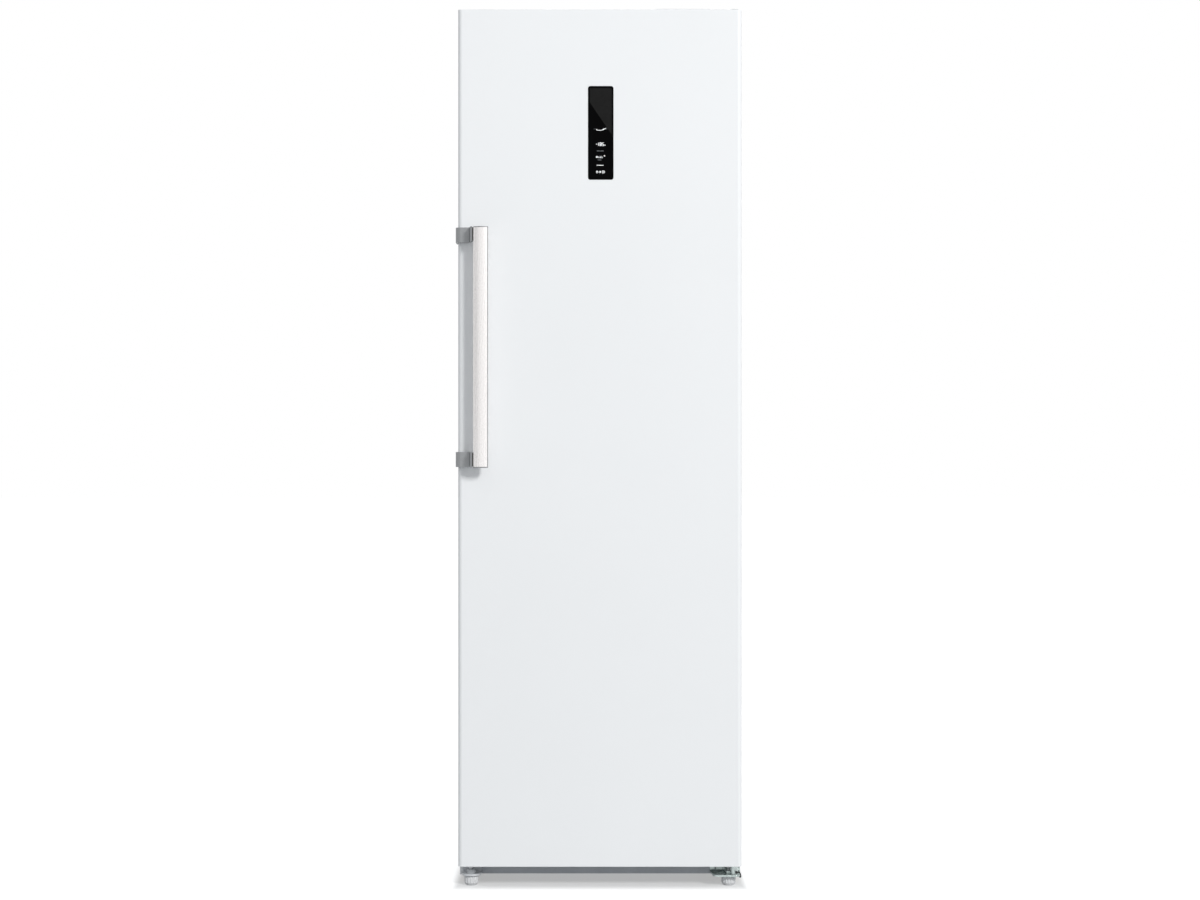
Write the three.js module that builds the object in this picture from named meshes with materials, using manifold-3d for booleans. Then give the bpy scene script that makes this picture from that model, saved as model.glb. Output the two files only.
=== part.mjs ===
// Upright freezer, 595 mm wide, 1850 mm high. Millimetres, +Z up, front faces -Y, door hinged on +X.
// Origin: on the floor, under the middle of the whole object.
import * as THREE from 'three';
import { mergeVertices } from 'three/addons/utils/BufferGeometryUtils.js';
import { LoftGeometry } from 'three/addons/geometries/LoftGeometry.js';
import Module from 'manifold-3d';

const wasm = await Module();
wasm.setup();

// ---------------------------------------------------------------- overall sizes
const WIDTH = 595; // cabinet and door
const CABINET_DEPTH = 579; // front flange to rear face
const CABINET_TOP = 1838; // height of the cabinet's top sheet above the floor
const CABINET_BASE = 16; // lower edge of the side sheets
const EDGE_RADIUS = 9; // rounded corners of door and cabinet sheet
const SHEET = 1; // painted steel sheet
const LINER = 2; // moulded lining
const FIT = 0.3; // gap between pieces that seat on each other

// ---------------------------------------------------------------- door
const DOOR_THICKNESS = 62;
const DOOR_GAP = 11; // room for the gasket between door and cabinet
const DOOR_BOTTOM = 45;
const DOOR_RISE = 3; // door's top edge above the cabinet's
const DOOR_LIP = 12; // folded lip of the skin behind the lining's rim
const CAP_HEIGHT = 26; // end caps of the door
const PLUG_INSET = 72; // door edge to the raised inner panel
const PLUG_DEPTH = 30; // how far the inner panel stands behind the door
const PLUG_TAPER = 10;
const PANEL_BORDER = 34; // raised rim around the sunk middle of the inner panel
const PANEL_SINK = 14;
const PANEL_RIB = 5; // height of the stiffening ribs in the sunk middle
const PANEL_RIBS = 5;
const HINGE_INSET = 15; // hinge axis to the door's side
const HINGE_FORWARD = 35; // hinge axis to the door's inner face

// ---------------------------------------------------------------- gasket
const GASKET_INSET = 16;
const GASKET_WIDTH = 22;
const GASKET_BASE = 3; // foot that lies on the lining
const GASKET_NECK = 9; // width of the bellows
const GASKET_BEAD = 15; // width of the magnet strip
const GASKET_BEAD_DEPTH = 4.5;

// ---------------------------------------------------------------- display
const DISPLAY_WIDTH = 52.8;
const DISPLAY_HEIGHT = 195.7;
const DISPLAY_RADIUS = 4.5;
const DISPLAY_X = 1.5;
const DISPLAY_DROP = 258.7; // door's top edge to its centre
const DISPLAY_THICKNESS = 3;
const DISPLAY_PROUD = 0.8;
const DISPLAY_LEDGE = 5; // flange of the housing behind the skin
const DISPLAY_POCKET = 16; // depth of the housing

// ---------------------------------------------------------------- handle
const HANDLE_PROUD = 45; // front of the bar to the door's face
const HANDLE_LENGTH = 502;
const HANDLE_DROP = 709; // door's top edge to the bar's centre
const HANDLE_INSET = 49.2; // door's side to the bar's centre
const BAR_WIDTH = 30.8;
const BAR_DEPTH = 18;
const BAR_RADIUS = 5.5;
const BRACKET_HEIGHT = 32.5;
const BRACKET_WALL = 4.2; // leg along the door's side
const BRACKET_LEG = 38; // how far the leg reaches back along the side
const BRACKET_ARM = 13; // thickness of the forward arm
const BRACKET_RADIUS = 11;
const BRACKET_GROOVE = 2.3; // groove between bracket and bar
const BRACKET_TENON = 18; // height of the tenon that carries the bar

// ---------------------------------------------------------------- cabinet walls and room
const FLANGE = 28; // front flange of the cabinet sheet
const SIDE_WALL = 60;
const TOP_WALL = 63;
const BACK_WALL = 62;
const LEG_WALL = 30; // side walls beside the compressor bay
const ROOM_FLOOR = 106;
const ROOM_RADIUS = 16;
const RAIL_TOP = 78; // top edge of the front rail
const RAIL_BOTTOM = 18;
const RAIL_LIP = 26;
const UNDERSIDE = 44; // base pan under the floor insulation
const BAY_DEPTH = 200; // compressor bay
const BAY_TOP = 262;
const STEP_WALL = 50; // insulation between bay and room
const LEDGE_WIDTH = 9; // shelf ledges moulded in the lining
const LEDGE_HEIGHT = 12;

// ---------------------------------------------------------------- shelves, drawers and flaps
const SHELF_THICKNESS = 4;
const SHELF_TRIM = 11; // height of the shelf's front trim
const TRIM_DEPTH = 9;
const SHELF_SETBACK = 46; // cabinet front to the shelf's front edge
const SHELF_SIDE_GAP = 1.2;
const TOP_ROOM = 30.4; // how much higher the uppermost compartment is than the others
const SHELF_COUNT = 7;
const DRAWER_COUNT = 5;
const DRAWER_WALL = 2.2;
const DRAWER_TAPER = 8; // the tub narrows towards its floor
const DRAWER_RADIUS = 22;
const DRAWER_HEADROOM = 12; // under the shelf above
const DRAWER_SIDE_GAP = 4; // tub rim to the ledges of the next level
const FASCIA = 5; // thickness of a drawer's front
const FASCIA_SETBACK = 40; // cabinet front to the drawer front
const FASCIA_SIDE_GAP = 3;
const GRIP_DEPTH = 15;
const GRIP_HEIGHT = 26;
const FLAP_THICKNESS = 4;
const FLAP_PIN = 4; // radius of a flap's pivot
const FLAP_PIVOT_DROP = 18; // pivot below the flap's top edge
const FLAP_GAP = 6; // flap edges to shelf and ceiling

// ---------------------------------------------------------------- air duct and evaporator
const DUCT_DEPTH = 74; // duct cover to the room's back wall
const DUCT_WALL = 2.5;
const DUCT_SIDE_GAP = 3;
const SLOT_WIDTH = 52;
const SLOT_HEIGHT = 7;
const SLOT_PITCH = 13;
const SLOT_ROWS = 2;
const SLOT_OFFSET = 108; // slot groups to the middle
const FAN_RISE = 140; // evaporator's top to the fan's centre
const FAN_RADIUS = 50;
const FAN_HUB = 16;
const FAN_BLADES = 7;
const FAN_DEPTH = 22;
const FAN_TIP_GAP = 4;
const FAN_SHAFT = 3;
const SHROUD_WIDTH = 210;
const SHROUD_HEIGHT = 132;
const SHROUD_WALL = 3;
const COIL_SIDE_GAP = 52.5; // room's side to the outermost fin
const COIL_HEIGHT = 250;
const COIL_DEPTH = 54;
const COIL_RISE = 158; // step of the room's floor to the evaporator
const COIL_FINS = 9;
const COIL_FIN = 1.6;
const COIL_TUBE = 4.5; // radius
const COIL_PASSES = 4;
const HEATER_RADIUS = 4.5;

// ---------------------------------------------------------------- hinges and base
const PIN_RADIUS = 5;
const PIN_RUNNING = 0.06; // between a pin and its bush
const BUSH_WALL = 3.5;
const BUSH_HEIGHT = 14;
const HINGE_PLATE = 4;
const HINGE_PLATE_Z = 21; // underside of the lower plate
const HINGE_WIDTH = 60;
const HINGE_UPRIGHT = 36; // leg screwed to the front rail
const TOP_PLATE = 3;
const TOP_PLATE_WIDTH = 64;
const COVER_HEIGHT = 12; // above the cabinet
const COVER_WIDTH = 172;
const COVER_DEPTH = 96;
const COVER_WALL = 2;
const COVER_FRONT = 41; // behind the door's face
const HINGE_POCKET = 2; // depth of the pocket pressed into the top sheet for the upper hinge
const POCKET_MARGIN = 1.5; // pocket's edge around the cover
const COVER_LOW = 2.8; // how far its hinge end is lower
const COVER_PLATEAU = 114; // width of the raised part

// ---------------------------------------------------------------- feet and rollers
const FOOT_RADIUS = 15;
const FOOT_HEIGHT = 20.7;
const FOOT_RIBS = 12;
const FOOT_RIB = 1.1; // depth of the grip flutes
const FOOT_INSET = 26; // foot axis to the cabinet's side
const FOOT_Y_INSET = 41.5; // foot axis behind the door's face
const STEM_RADIUS = 5;
const STEM_LENGTH = 17;
const STEM_RUNNING = 0.15;
const FOOT_BRACKET_WIDTH = 40;
const ROLLER_RADIUS = 16;
const ROLLER_WIDTH = 22;
const ROLLER_SIDE_INSET = 72.5; // middle of a roller to the cabinet's side
const ROLLER_INSET = 46; // roller axle to the cabinet's rear face
const AXLE_RADIUS = 3;
const AXLE_RUNNING = 0.12;
const BRACKET_SHEET = 2;
const FORK_GAP = 1; // roller to each cheek
const FORK_DEPTH = 30;

// ---------------------------------------------------------------- compressor bay
const PLATE_Z = 38; // underside of the mounting plate
const PLATE_SHEET = 2;
const POT_RADIUS = 62;
const POT_STRETCH = 1.24; // the pot is longer than wide
const POT_HEIGHT = 148;
const POT_INSET = 207.5; // bay's right wall to the pot's centre
const GROMMET_RADIUS = 11;
const GROMMET_HEIGHT = 13;
const TRAY_WIDTH = 190;
const TRAY_DEPTH = 118;
const TRAY_HEIGHT = 30;
const TRAY_WALL = 2;
const TUBE_RADIUS = 3.5; // copper pipes
const DRIER_RADIUS = 9.5;
const DRIER_LENGTH = 96;
const DRIER_GAP = 54; // control box to the drier's axis
const BOX_WIDTH = 104;
const BOX_DEPTH = 62;
const BOX_HEIGHT = 92;
const BOX_INSET = 69.5; // bay's left wall to the control box's centre
const INLET_WIDTH = 50;
const INLET_HEIGHT = 28;
const INLET_DEPTH = 20;
const INLET_RECESS = 16;
const RELAY_WIDTH = 58;
const RELAY_HEIGHT = 62;
const RELAY_DEPTH = 30;

// ---------------------------------------------------------------- lamp
const LAMP_WIDTH = 150;
const LAMP_DEPTH = 26;
const LAMP_HEIGHT = 9;
const LAMP_SETBACK = 62; // cabinet front to the lamp

// ---------------------------------------------------------------- planes worked out from the sizes
const OVERALL_DEPTH = HANDLE_PROUD + DOOR_THICKNESS + DOOR_GAP + CABINET_DEPTH;
const HANDLE_FRONT = -OVERALL_DEPTH / 2;
const DOOR_FRONT = HANDLE_FRONT + HANDLE_PROUD;
const DOOR_BACK = DOOR_FRONT + DOOR_THICKNESS;
const CABINET_FRONT = DOOR_BACK + DOOR_GAP;
const CABINET_BACK = CABINET_FRONT + CABINET_DEPTH;
const SIDE = WIDTH / 2;
const ROOM_SIDE = SIDE - SIDE_WALL;
const ROOM_TOP = CABINET_TOP - TOP_WALL;
const ROOM_BACK = CABINET_BACK - BACK_WALL;
const BAY_FRONT = CABINET_BACK - BAY_DEPTH;
const BAY_SIDE = SIDE - LEG_WALL;
const STEP_TOP = BAY_TOP + STEP_WALL;
const STEP_FRONT = BAY_FRONT - STEP_WALL;
const SHELF_FRONT = CABINET_FRONT + SHELF_SETBACK;
const LEDGE_FRONT = SHELF_FRONT + TRIM_DEPTH + 2;
const FIRST_SHELF = STEP_TOP + SHELF_THICKNESS + 2 * FIT; // top face of the lowest shelf
const DUCT_FRONT = ROOM_BACK - DUCT_DEPTH;
const HINGE_X = SIDE - HINGE_INSET;
const HINGE_Y = DOOR_BACK - HINGE_FORWARD;
const FOOT_Y = DOOR_FRONT + FOOT_Y_INSET;
const PLATE_TOP = PLATE_Z + PLATE_SHEET;
const BAY_MIDDLE = (BAY_FRONT + CABINET_BACK) / 2;
const LINER_RIM_FRONT = DOOR_BACK - LINER; // front of the door lining's rim
const DOOR_TOP = CABINET_TOP + DOOR_RISE;
const COVER_TOP = CABINET_TOP + COVER_HEIGHT;
const COVER_RIGHT = SIDE - EDGE_RADIUS;
const COVER_LEFT = COVER_RIGHT - COVER_WIDTH;
const COVER_BACK = DOOR_FRONT + COVER_FRONT + COVER_DEPTH;
const POCKET_FLOOR = CABINET_TOP - HINGE_POCKET;
const DISPLAY_Z = DOOR_TOP - DISPLAY_DROP;
const HANDLE_Z = DOOR_TOP - HANDLE_DROP;
const HANDLE_X = -SIDE + HANDLE_INSET;
const SHELF_PITCH = (ROOM_TOP - FIRST_SHELF - TOP_ROOM) / SHELF_COUNT;
const COIL_WIDTH = 2 * (ROOM_SIDE - COIL_SIDE_GAP);
const COIL_BOTTOM = STEP_TOP + COIL_RISE;
const FAN_Z = COIL_BOTTOM + COIL_HEIGHT + FAN_RISE;
const FOOT_X = SIDE - FOOT_INSET;
const ROLLER_X = SIDE - ROLLER_SIDE_INSET;
const POT_X = BAY_SIDE - POT_INSET;
const BOX_X = -BAY_SIDE + BOX_INSET;
const DRIER_X = BOX_X + BOX_WIDTH / 2 + DRIER_GAP;

// ---------------------------------------------------------------- finishes
const finish = (name, color, roughness, metalness) => {
  const material = new THREE.MeshStandardMaterial({ color, roughness, metalness });
  material.name = name;
  return material;
};
const WHITE_PAINT = finish('white_paint', 0xf1f3f5, 0.32, 0.1);
const INNER_WHITE = finish('inner_white', 0xf4f5f6, 0.45, 0);
const CAP_WHITE = finish('cap_white', 0xe9ebee, 0.5, 0);
const GREY_PLASTIC = finish('grey_plastic', 0x8c9196, 0.55, 0);
const DARK_RAIL = finish('dark_rail', 0x6c7276, 0.5, 0.4);
const FOAM = finish('foam', 0xe8ddb8, 0.95, 0);
const SEAL = finish('seal', 0xdfe2e4, 0.7, 0);
const BRUSHED = finish('brushed_aluminium', 0xc9c8c6, 0.3, 1);
const CAST_GREY = finish('handle_bracket', 0x8d8f92, 0.42, 0.6);
const BLACK_GLASS = finish('black_glass', 0x0b0b0c, 0.06, 0);
const BLACK_PLASTIC = finish('black_plastic', 0x1a1b1c, 0.6, 0);
const ZINC = finish('zinc', 0xaab5b2, 0.35, 0.9);
const FOOT_GREY = finish('foot_grey', 0xd9dadb, 0.55, 0);
const GLASS = finish('glass', 0xcfe6e2, 0.05, 0);
const CLEAR_PLASTIC = finish('clear_drawer', 0xdcebf2, 0.18, 0);
const COPPER = finish('copper', 0xb56a3c, 0.35, 1);
const POT_BLACK = finish('compressor_black', 0x161718, 0.38, 0.5);
const ALUMINIUM = finish('aluminium', 0xc4c8ca, 0.4, 1);
const GALVANISED = finish('galvanised', 0xb4babd, 0.45, 0.8);
const LENS = finish('lamp_lens', 0xf7f8f6, 0.3, 0);

// ---------------------------------------------------------------- making and joining shapes
const ROUND_STEPS = 20; // sides of a round pin, boss or hole
const CORNER_STEPS = 2; // half the steps in a rounded corner, because an arc is drawn with twice as many
const THROUGH = 5; // how far a cutter runs past what it cuts

/** A closed mesh as a solid that can be joined and cut. */
function solid(geometry) {
  const bare = new THREE.BufferGeometry();
  bare.setAttribute('position', geometry.attributes.position.clone());
  bare.setIndex(geometry.index ? geometry.index.clone() : null);
  const merged = mergeVertices(bare, 1e-4);
  const corner = (index) => new THREE.Vector3().fromBufferAttribute(merged.attributes.position, index);
  const faces = [];
  let volume = 0;
  for (let at = 0; at < merged.index.count; at += 3) {
    const [a, b, c] = [0, 1, 2].map((step) => merged.index.getX(at + step));
    if (a !== b && b !== c && c !== a) {
      faces.push(a, b, c);
      volume += corner(a).dot(corner(b).cross(corner(c)));
    }
  }
  return new wasm.Manifold(new wasm.Mesh({
    numProp: 3,
    vertProperties: new Float32Array(merged.attributes.position.array),
    triVerts: new Uint32Array(volume < 0 ? faces.reverse() : faces),
  }));
}

/** A solid back as a three.js geometry. */
function geometryOf(body) {
  const mesh = body.getMesh();
  const geometry = new THREE.BufferGeometry();
  geometry.setAttribute('position', new THREE.BufferAttribute(new Float32Array(mesh.vertProperties), 3));
  geometry.setIndex(new THREE.BufferAttribute(new Uint32Array(mesh.triVerts), 1));
  geometry.computeVertexNormals();
  return geometry;
}

const join = (...bodies) => bodies.reduce((whole, body) => whole.add(body));
const cut = (body, ...tools) => tools.reduce((rest, tool) => rest.subtract(tool), body);

/** A block between two corners. */
function block(x0, x1, y0, y1, z0, z1) {
  const box = new THREE.BoxGeometry(x1 - x0, y1 - y0, z1 - z0);
  return solid(box.translate((x0 + x1) / 2, (y0 + y1) / 2, (z0 + z1) / 2));
}

/** A rectangle with rounded corners; radii run bottom right, top right, top left, bottom left. */
function roundedRectangle(x0, x1, y0, y1, radius) {
  const radii = Array.isArray(radius) ? radius : [radius, radius, radius, radius];
  const [bottomRight, topRight, topLeft, bottomLeft] = radii;
  const shape = new THREE.Shape();
  const corner = (x, y, r, start) => {
    if (r > 0) shape.absarc(x, y, r, start, start + Math.PI / 2, false);
    else shape.lineTo(x, y);
  };
  shape.moveTo(x0 + bottomLeft, y0);
  corner(x1 - bottomRight, y0 + bottomRight, bottomRight, -Math.PI / 2);
  corner(x1 - topRight, y1 - topRight, topRight, 0);
  corner(x0 + topLeft, y1 - topLeft, topLeft, Math.PI / 2);
  corner(x0 + bottomLeft, y0 + bottomLeft, bottomLeft, Math.PI);
  return shape;
}

/** An outline through the given points. */
const outline = (points) => new THREE.Shape(points.map(([x, y]) => new THREE.Vector2(x, y)));

/** A shape extruded without a bevel, upwards from its own plane. */
const extruded = (shape, depth, steps) => new THREE.ExtrudeGeometry(
  shape, { depth, bevelEnabled: false, curveSegments: steps });

/** A shape drawn in X and Y, raised from z0 to z1. */
function raiseZ(shape, z0, z1, steps = CORNER_STEPS) {
  return solid(extruded(shape, z1 - z0, steps).translate(0, 0, z0));
}

/** A shape drawn in Y and Z, run from x0 to x1. */
function runX(shape, x0, x1, steps = CORNER_STEPS) {
  const made = extruded(shape, x1 - x0, steps);
  const axes = new THREE.Matrix4().makeBasis(
    new THREE.Vector3(0, 1, 0), new THREE.Vector3(0, 0, 1), new THREE.Vector3(1, 0, 0));
  return solid(made.applyMatrix4(axes).translate(x0, 0, 0));
}

/** A shape drawn in X and Z, run from y0 to y1. */
function runY(shape, y0, y1, steps = CORNER_STEPS) {
  return solid(extruded(shape, y1 - y0, steps).rotateX(Math.PI / 2).translate(0, y1, 0));
}

/** A round bar along Z at (x, y). */
function roundZ(x, y, radius, z0, z1, steps = ROUND_STEPS) {
  const bar = new THREE.CylinderGeometry(radius, radius, z1 - z0, steps).rotateX(Math.PI / 2);
  return solid(bar.translate(x, y, (z0 + z1) / 2));
}

/** A round bar along X at (y, z). */
function roundX(y, z, radius, x0, x1, steps = ROUND_STEPS) {
  const bar = new THREE.CylinderGeometry(radius, radius, x1 - x0, steps).rotateZ(Math.PI / 2);
  return solid(bar.translate((x0 + x1) / 2, y, z));
}

/** A round bar along Y at (x, z). */
function roundY(x, z, radius, y0, y1, steps = ROUND_STEPS) {
  const bar = new THREE.CylinderGeometry(radius, radius, y1 - y0, steps);
  return solid(bar.translate(x, (y0 + y1) / 2, z));
}

/** The corner radius of a many-sided hole whose flats clear a round bar by a gap. */
const holeRadius = (bar, gap, steps = ROUND_STEPS) => (bar + gap) / Math.cos(Math.PI / steps);

/** A tube of round section along a smooth path. */
function pipe(points, radius, steps, sides = 8) {
  const path = new THREE.CatmullRomCurve3(points.map((p) => new THREE.Vector3(...p)), false, 'centripetal');
  const ring = new THREE.Shape();
  ring.absarc(0, 0, radius, 0, 2 * Math.PI, false);
  return solid(new THREE.ExtrudeGeometry(ring, { extrudePath: path, steps, curveSegments: sides / 2 }));
}

/** A closed body skinned over rings of points, turned to run anticlockwise along the way they go. */
function skinned(rings) {
  const middle = (ring) => ring.reduce((sum, p) => sum.add(p), new THREE.Vector3()).divideScalar(ring.length);
  const centre = middle(rings[0]);
  const along = middle(rings[1]).sub(centre);
  const turn = rings[0].reduce((sum, p, index) => {
    const next = rings[0][(index + 1) % rings[0].length];
    return sum.add(p.clone().sub(centre).cross(next.clone().sub(centre)));
  }, new THREE.Vector3());
  const sections = turn.dot(along) > 0 ? rings : rings.map((ring) => ring.slice().reverse());
  return solid(new LoftGeometry(sections, { closed: true, capStart: true, capEnd: true }));
}

/** Rounded rectangles stacked into a tapering body; each level is [x0, x1, u0, u1, radius, height]. */
function taperedBody(levels, place) {
  const sections = levels.map(([x0, x1, u0, u1, radius, height]) => {
    const ring = roundedRectangle(x0, x1, u0, u1, radius).getPoints(CORNER_STEPS);
    if (ring[0].distanceTo(ring[ring.length - 1]) < 1e-6) ring.pop();
    return ring.map((p) => place(p.x, p.y, height));
  });
  return skinned(sections);
}

// ---------------------------------------------------------------- the assembly
const freezer = new THREE.Group();
const cabinet = new THREE.Group();
const door = new THREE.Group();
freezer.add(cabinet, door);

/** Adds a finished piece to a group under its name. */
function place(group, name, body, material, position = [0, 0, 0]) {
  const mesh = new THREE.Mesh(geometryOf(body), material.clone());
  mesh.name = name;
  mesh.position.set(...position);
  group.add(mesh);
  return mesh;
}

// ---------------------------------------------------------------- cabinet sheet, insulation and lining
/** The cabinet's outline from the front, drawn in by an inset. */
const cabinetOutline = (inset, bottom) => roundedRectangle(
  -SIDE + inset, SIDE - inset, bottom, CABINET_TOP - inset,
  [0, EDGE_RADIUS - inset, EDGE_RADIUS - inset, 0]);

/** The pocket pressed into the top sheet for the upper hinge, open to the front, grown by a wall. */
const hingePocket = (grow) => block(
  COVER_LEFT - POCKET_MARGIN - grow, COVER_RIGHT + 1 + grow,
  CABINET_FRONT - THROUGH, COVER_BACK + POCKET_MARGIN + grow,
  POCKET_FLOOR - grow, CABINET_TOP + THROUGH);

/** One folded sheet: top with the hinge pocket, both sides and the front flange. */
function outerWrap() {
  const body = runY(cabinetOutline(0, CABINET_BASE), CABINET_FRONT, CABINET_BACK);
  const behindFlange = runY(cabinetOutline(SHEET, CABINET_BASE - THROUGH),
    CABINET_FRONT + SHEET, CABINET_BACK + THROUGH);
  const inside = cut(behindFlange, hingePocket(SHEET));
  const mouth = block(-SIDE + FLANGE, SIDE - FLANGE, CABINET_FRONT - THROUGH, CABINET_FRONT + SHEET + THROUGH,
    CABINET_BASE - THROUGH, CABINET_TOP - FLANGE);
  return cut(body, inside, mouth, hingePocket(0));
}

/** The room's stepped side outline, grown outwards by a wall. */
function roomProfile(grow) {
  return outline([
    [CABINET_FRONT - THROUGH, ROOM_FLOOR - grow],
    [STEP_FRONT - ROOM_RADIUS + grow, ROOM_FLOOR - grow],
    [STEP_FRONT + grow, ROOM_FLOOR + ROOM_RADIUS - grow],
    [STEP_FRONT + grow, STEP_TOP - ROOM_RADIUS - grow],
    [STEP_FRONT + ROOM_RADIUS + grow, STEP_TOP - grow],
    [ROOM_BACK + grow, STEP_TOP - grow],
    [ROOM_BACK + grow, ROOM_TOP + grow],
    [CABINET_FRONT - THROUGH, ROOM_TOP + grow],
  ]);
}

/** The room as a solid: its stepped side outline met by a front outline with rounded corners. */
function room(grow) {
  const side = runX(roomProfile(grow), -ROOM_SIDE - grow, ROOM_SIDE + grow);
  const front = runY(roundedRectangle(-ROOM_SIDE - grow, ROOM_SIDE + grow, ROOM_FLOOR - grow, ROOM_TOP + grow,
    ROOM_RADIUS + grow), CABINET_FRONT - 2 * THROUGH, ROOM_BACK + grow + THROUGH);
  return side.intersect(front);
}

const shelfTop = (index) => FIRST_SHELF + index * SHELF_PITCH;

const FLAP_LEVELS = [SHELF_COUNT - 2, SHELF_COUNT - 1];
const FLAP_PIVOT_Y = CABINET_FRONT + FASCIA_SETBACK + FLAP_THICKNESS;
const flapFoot = (level) => shelfTop(level) + FLAP_GAP;
const flapHeight = (level) => (level === SHELF_COUNT - 1
  ? ROOM_TOP - FLAP_GAP - flapFoot(level)
  : shelfTop(level + 1) - SHELF_TRIM - FLAP_GAP - flapFoot(level));

/** The moulded lining: front rim, side ledges under every shelf and sockets for the flaps' pivots. */
function innerLiner() {
  const rim = runY(roundedRectangle(-SIDE + FLANGE + FIT, SIDE - FLANGE - FIT, RAIL_TOP + FIT,
    CABINET_TOP - FLANGE - FIT, 0), CABINET_FRONT, CABINET_FRONT + LINER);
  const behindFront = block(-SIDE, SIDE, CABINET_FRONT, CABINET_BACK, 0, CABINET_TOP);
  let body = cut(join(room(LINER).intersect(behindFront), rim), room(0));
  for (let index = 0; index < SHELF_COUNT; index += 1) {
    const top = shelfTop(index) - SHELF_THICKNESS - FIT;
    const end = index === 0 ? STEP_FRONT + 1 : DUCT_FRONT - DUCT_SIDE_GAP;
    for (const side of [-1, 1]) {
      const wall = side * (ROOM_SIDE + LINER / 2);
      const edge = side * (ROOM_SIDE - LEDGE_WIDTH);
      const ledge = outline([
        [wall, top], [edge, top], [edge, top - LEDGE_HEIGHT / 3], [wall, top - LEDGE_HEIGHT],
      ]);
      body = join(body, runY(ledge, LEDGE_FRONT, end));
    }
  }
  for (const level of FLAP_LEVELS) {
    const reach = ROOM_SIDE + LINER / 2 + FIT;
    const z = flapFoot(level) + flapHeight(level) - FLAP_PIVOT_DROP;
    body = cut(body, roundX(FLAP_PIVOT_Y, z, holeRadius(FLAP_PIN, FIT, 16), -reach, reach, 16));
  }
  return body;
}

/** Foam between sheet and lining, open at the front for the room and at the rear for the compressor bay. */
function insulation() {
  const inset = SHEET + FIT;
  const body = runY(cabinetOutline(inset, CABINET_BASE + FIT), CABINET_FRONT + LINER + FIT,
    CABINET_BACK - SHEET - FIT);
  const under = block(-BAY_SIDE, BAY_SIDE, CABINET_FRONT - THROUGH, CABINET_BACK + THROUGH,
    0, UNDERSIDE + SHEET + FIT);
  const bay = block(-BAY_SIDE, BAY_SIDE, BAY_FRONT - SHEET - FIT, CABINET_BACK + THROUGH, 0, BAY_TOP + FIT);
  return cut(body, room(LINER + FIT), under, bay, hingePocket(SHEET + FIT));
}

/** The rear sheet over the foam, above the compressor bay. */
function backPanel() {
  const inset = SHEET + FIT;
  return runY(roundedRectangle(-SIDE + inset, SIDE - inset, BAY_TOP + SHEET, CABINET_TOP - inset,
    [0, EDGE_RADIUS - SHEET, EDGE_RADIUS - SHEET, 0]), CABINET_BACK - SHEET, CABINET_BACK);
}

/** Floor sheet folded up the front of the compressor bay and back over its top, with side cheeks. */
function basePan() {
  const low = CABINET_FRONT + RAIL_LIP + SHEET;
  const end = BAY_SIDE - FIT;
  const strip = runX(outline([
    [low, UNDERSIDE], [BAY_FRONT, UNDERSIDE], [BAY_FRONT, BAY_TOP - SHEET],
    [CABINET_BACK - SHEET - FIT, BAY_TOP - SHEET], [CABINET_BACK - SHEET - FIT, BAY_TOP],
    [BAY_FRONT - SHEET, BAY_TOP], [BAY_FRONT - SHEET, UNDERSIDE + SHEET], [low, UNDERSIDE + SHEET],
  ]), -end, end);
  const cheek = (x) => block(x, x + SHEET, BAY_FRONT - SHEET, CABINET_BACK - SHEET - FIT,
    RAIL_BOTTOM, BAY_TOP);
  return join(strip, cheek(-end), cheek(end - SHEET));
}

/** Front crossmember under the door: an upright web with a lip folded back at its foot. */
function frontRail() {
  const web = outline([
    [CABINET_FRONT, RAIL_BOTTOM], [CABINET_FRONT + RAIL_LIP, RAIL_BOTTOM],
    [CABINET_FRONT + RAIL_LIP, RAIL_BOTTOM + 8 * SHEET],
    [CABINET_FRONT + RAIL_LIP - SHEET, RAIL_BOTTOM + 8 * SHEET],
    [CABINET_FRONT + RAIL_LIP - SHEET, RAIL_BOTTOM + SHEET],
    [CABINET_FRONT + SHEET, RAIL_BOTTOM + SHEET], [CABINET_FRONT + SHEET, RAIL_TOP],
    [CABINET_FRONT, RAIL_TOP],
  ]);
  const end = SIDE - FLANGE - FIT;
  const lipCut = (side) => block(side > 0 ? BAY_SIDE - FIT : -SIDE, side > 0 ? SIDE : -BAY_SIDE + FIT,
    CABINET_FRONT + SHEET, CABINET_FRONT + RAIL_LIP + THROUGH, RAIL_BOTTOM - THROUGH, RAIL_TOP + THROUGH);
  return cut(runX(web, -end, end), lipCut(1), lipCut(-1));
}

place(cabinet, 'outer_wrap', outerWrap(), WHITE_PAINT);
place(cabinet, 'insulation_foam', insulation(), FOAM);
place(cabinet, 'inner_liner', innerLiner(), INNER_WHITE);
place(cabinet, 'back_panel', backPanel(), GALVANISED);
place(cabinet, 'base_pan', basePan(), GALVANISED);
place(cabinet, 'front_rail', frontRail(), DARK_RAIL);

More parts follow.
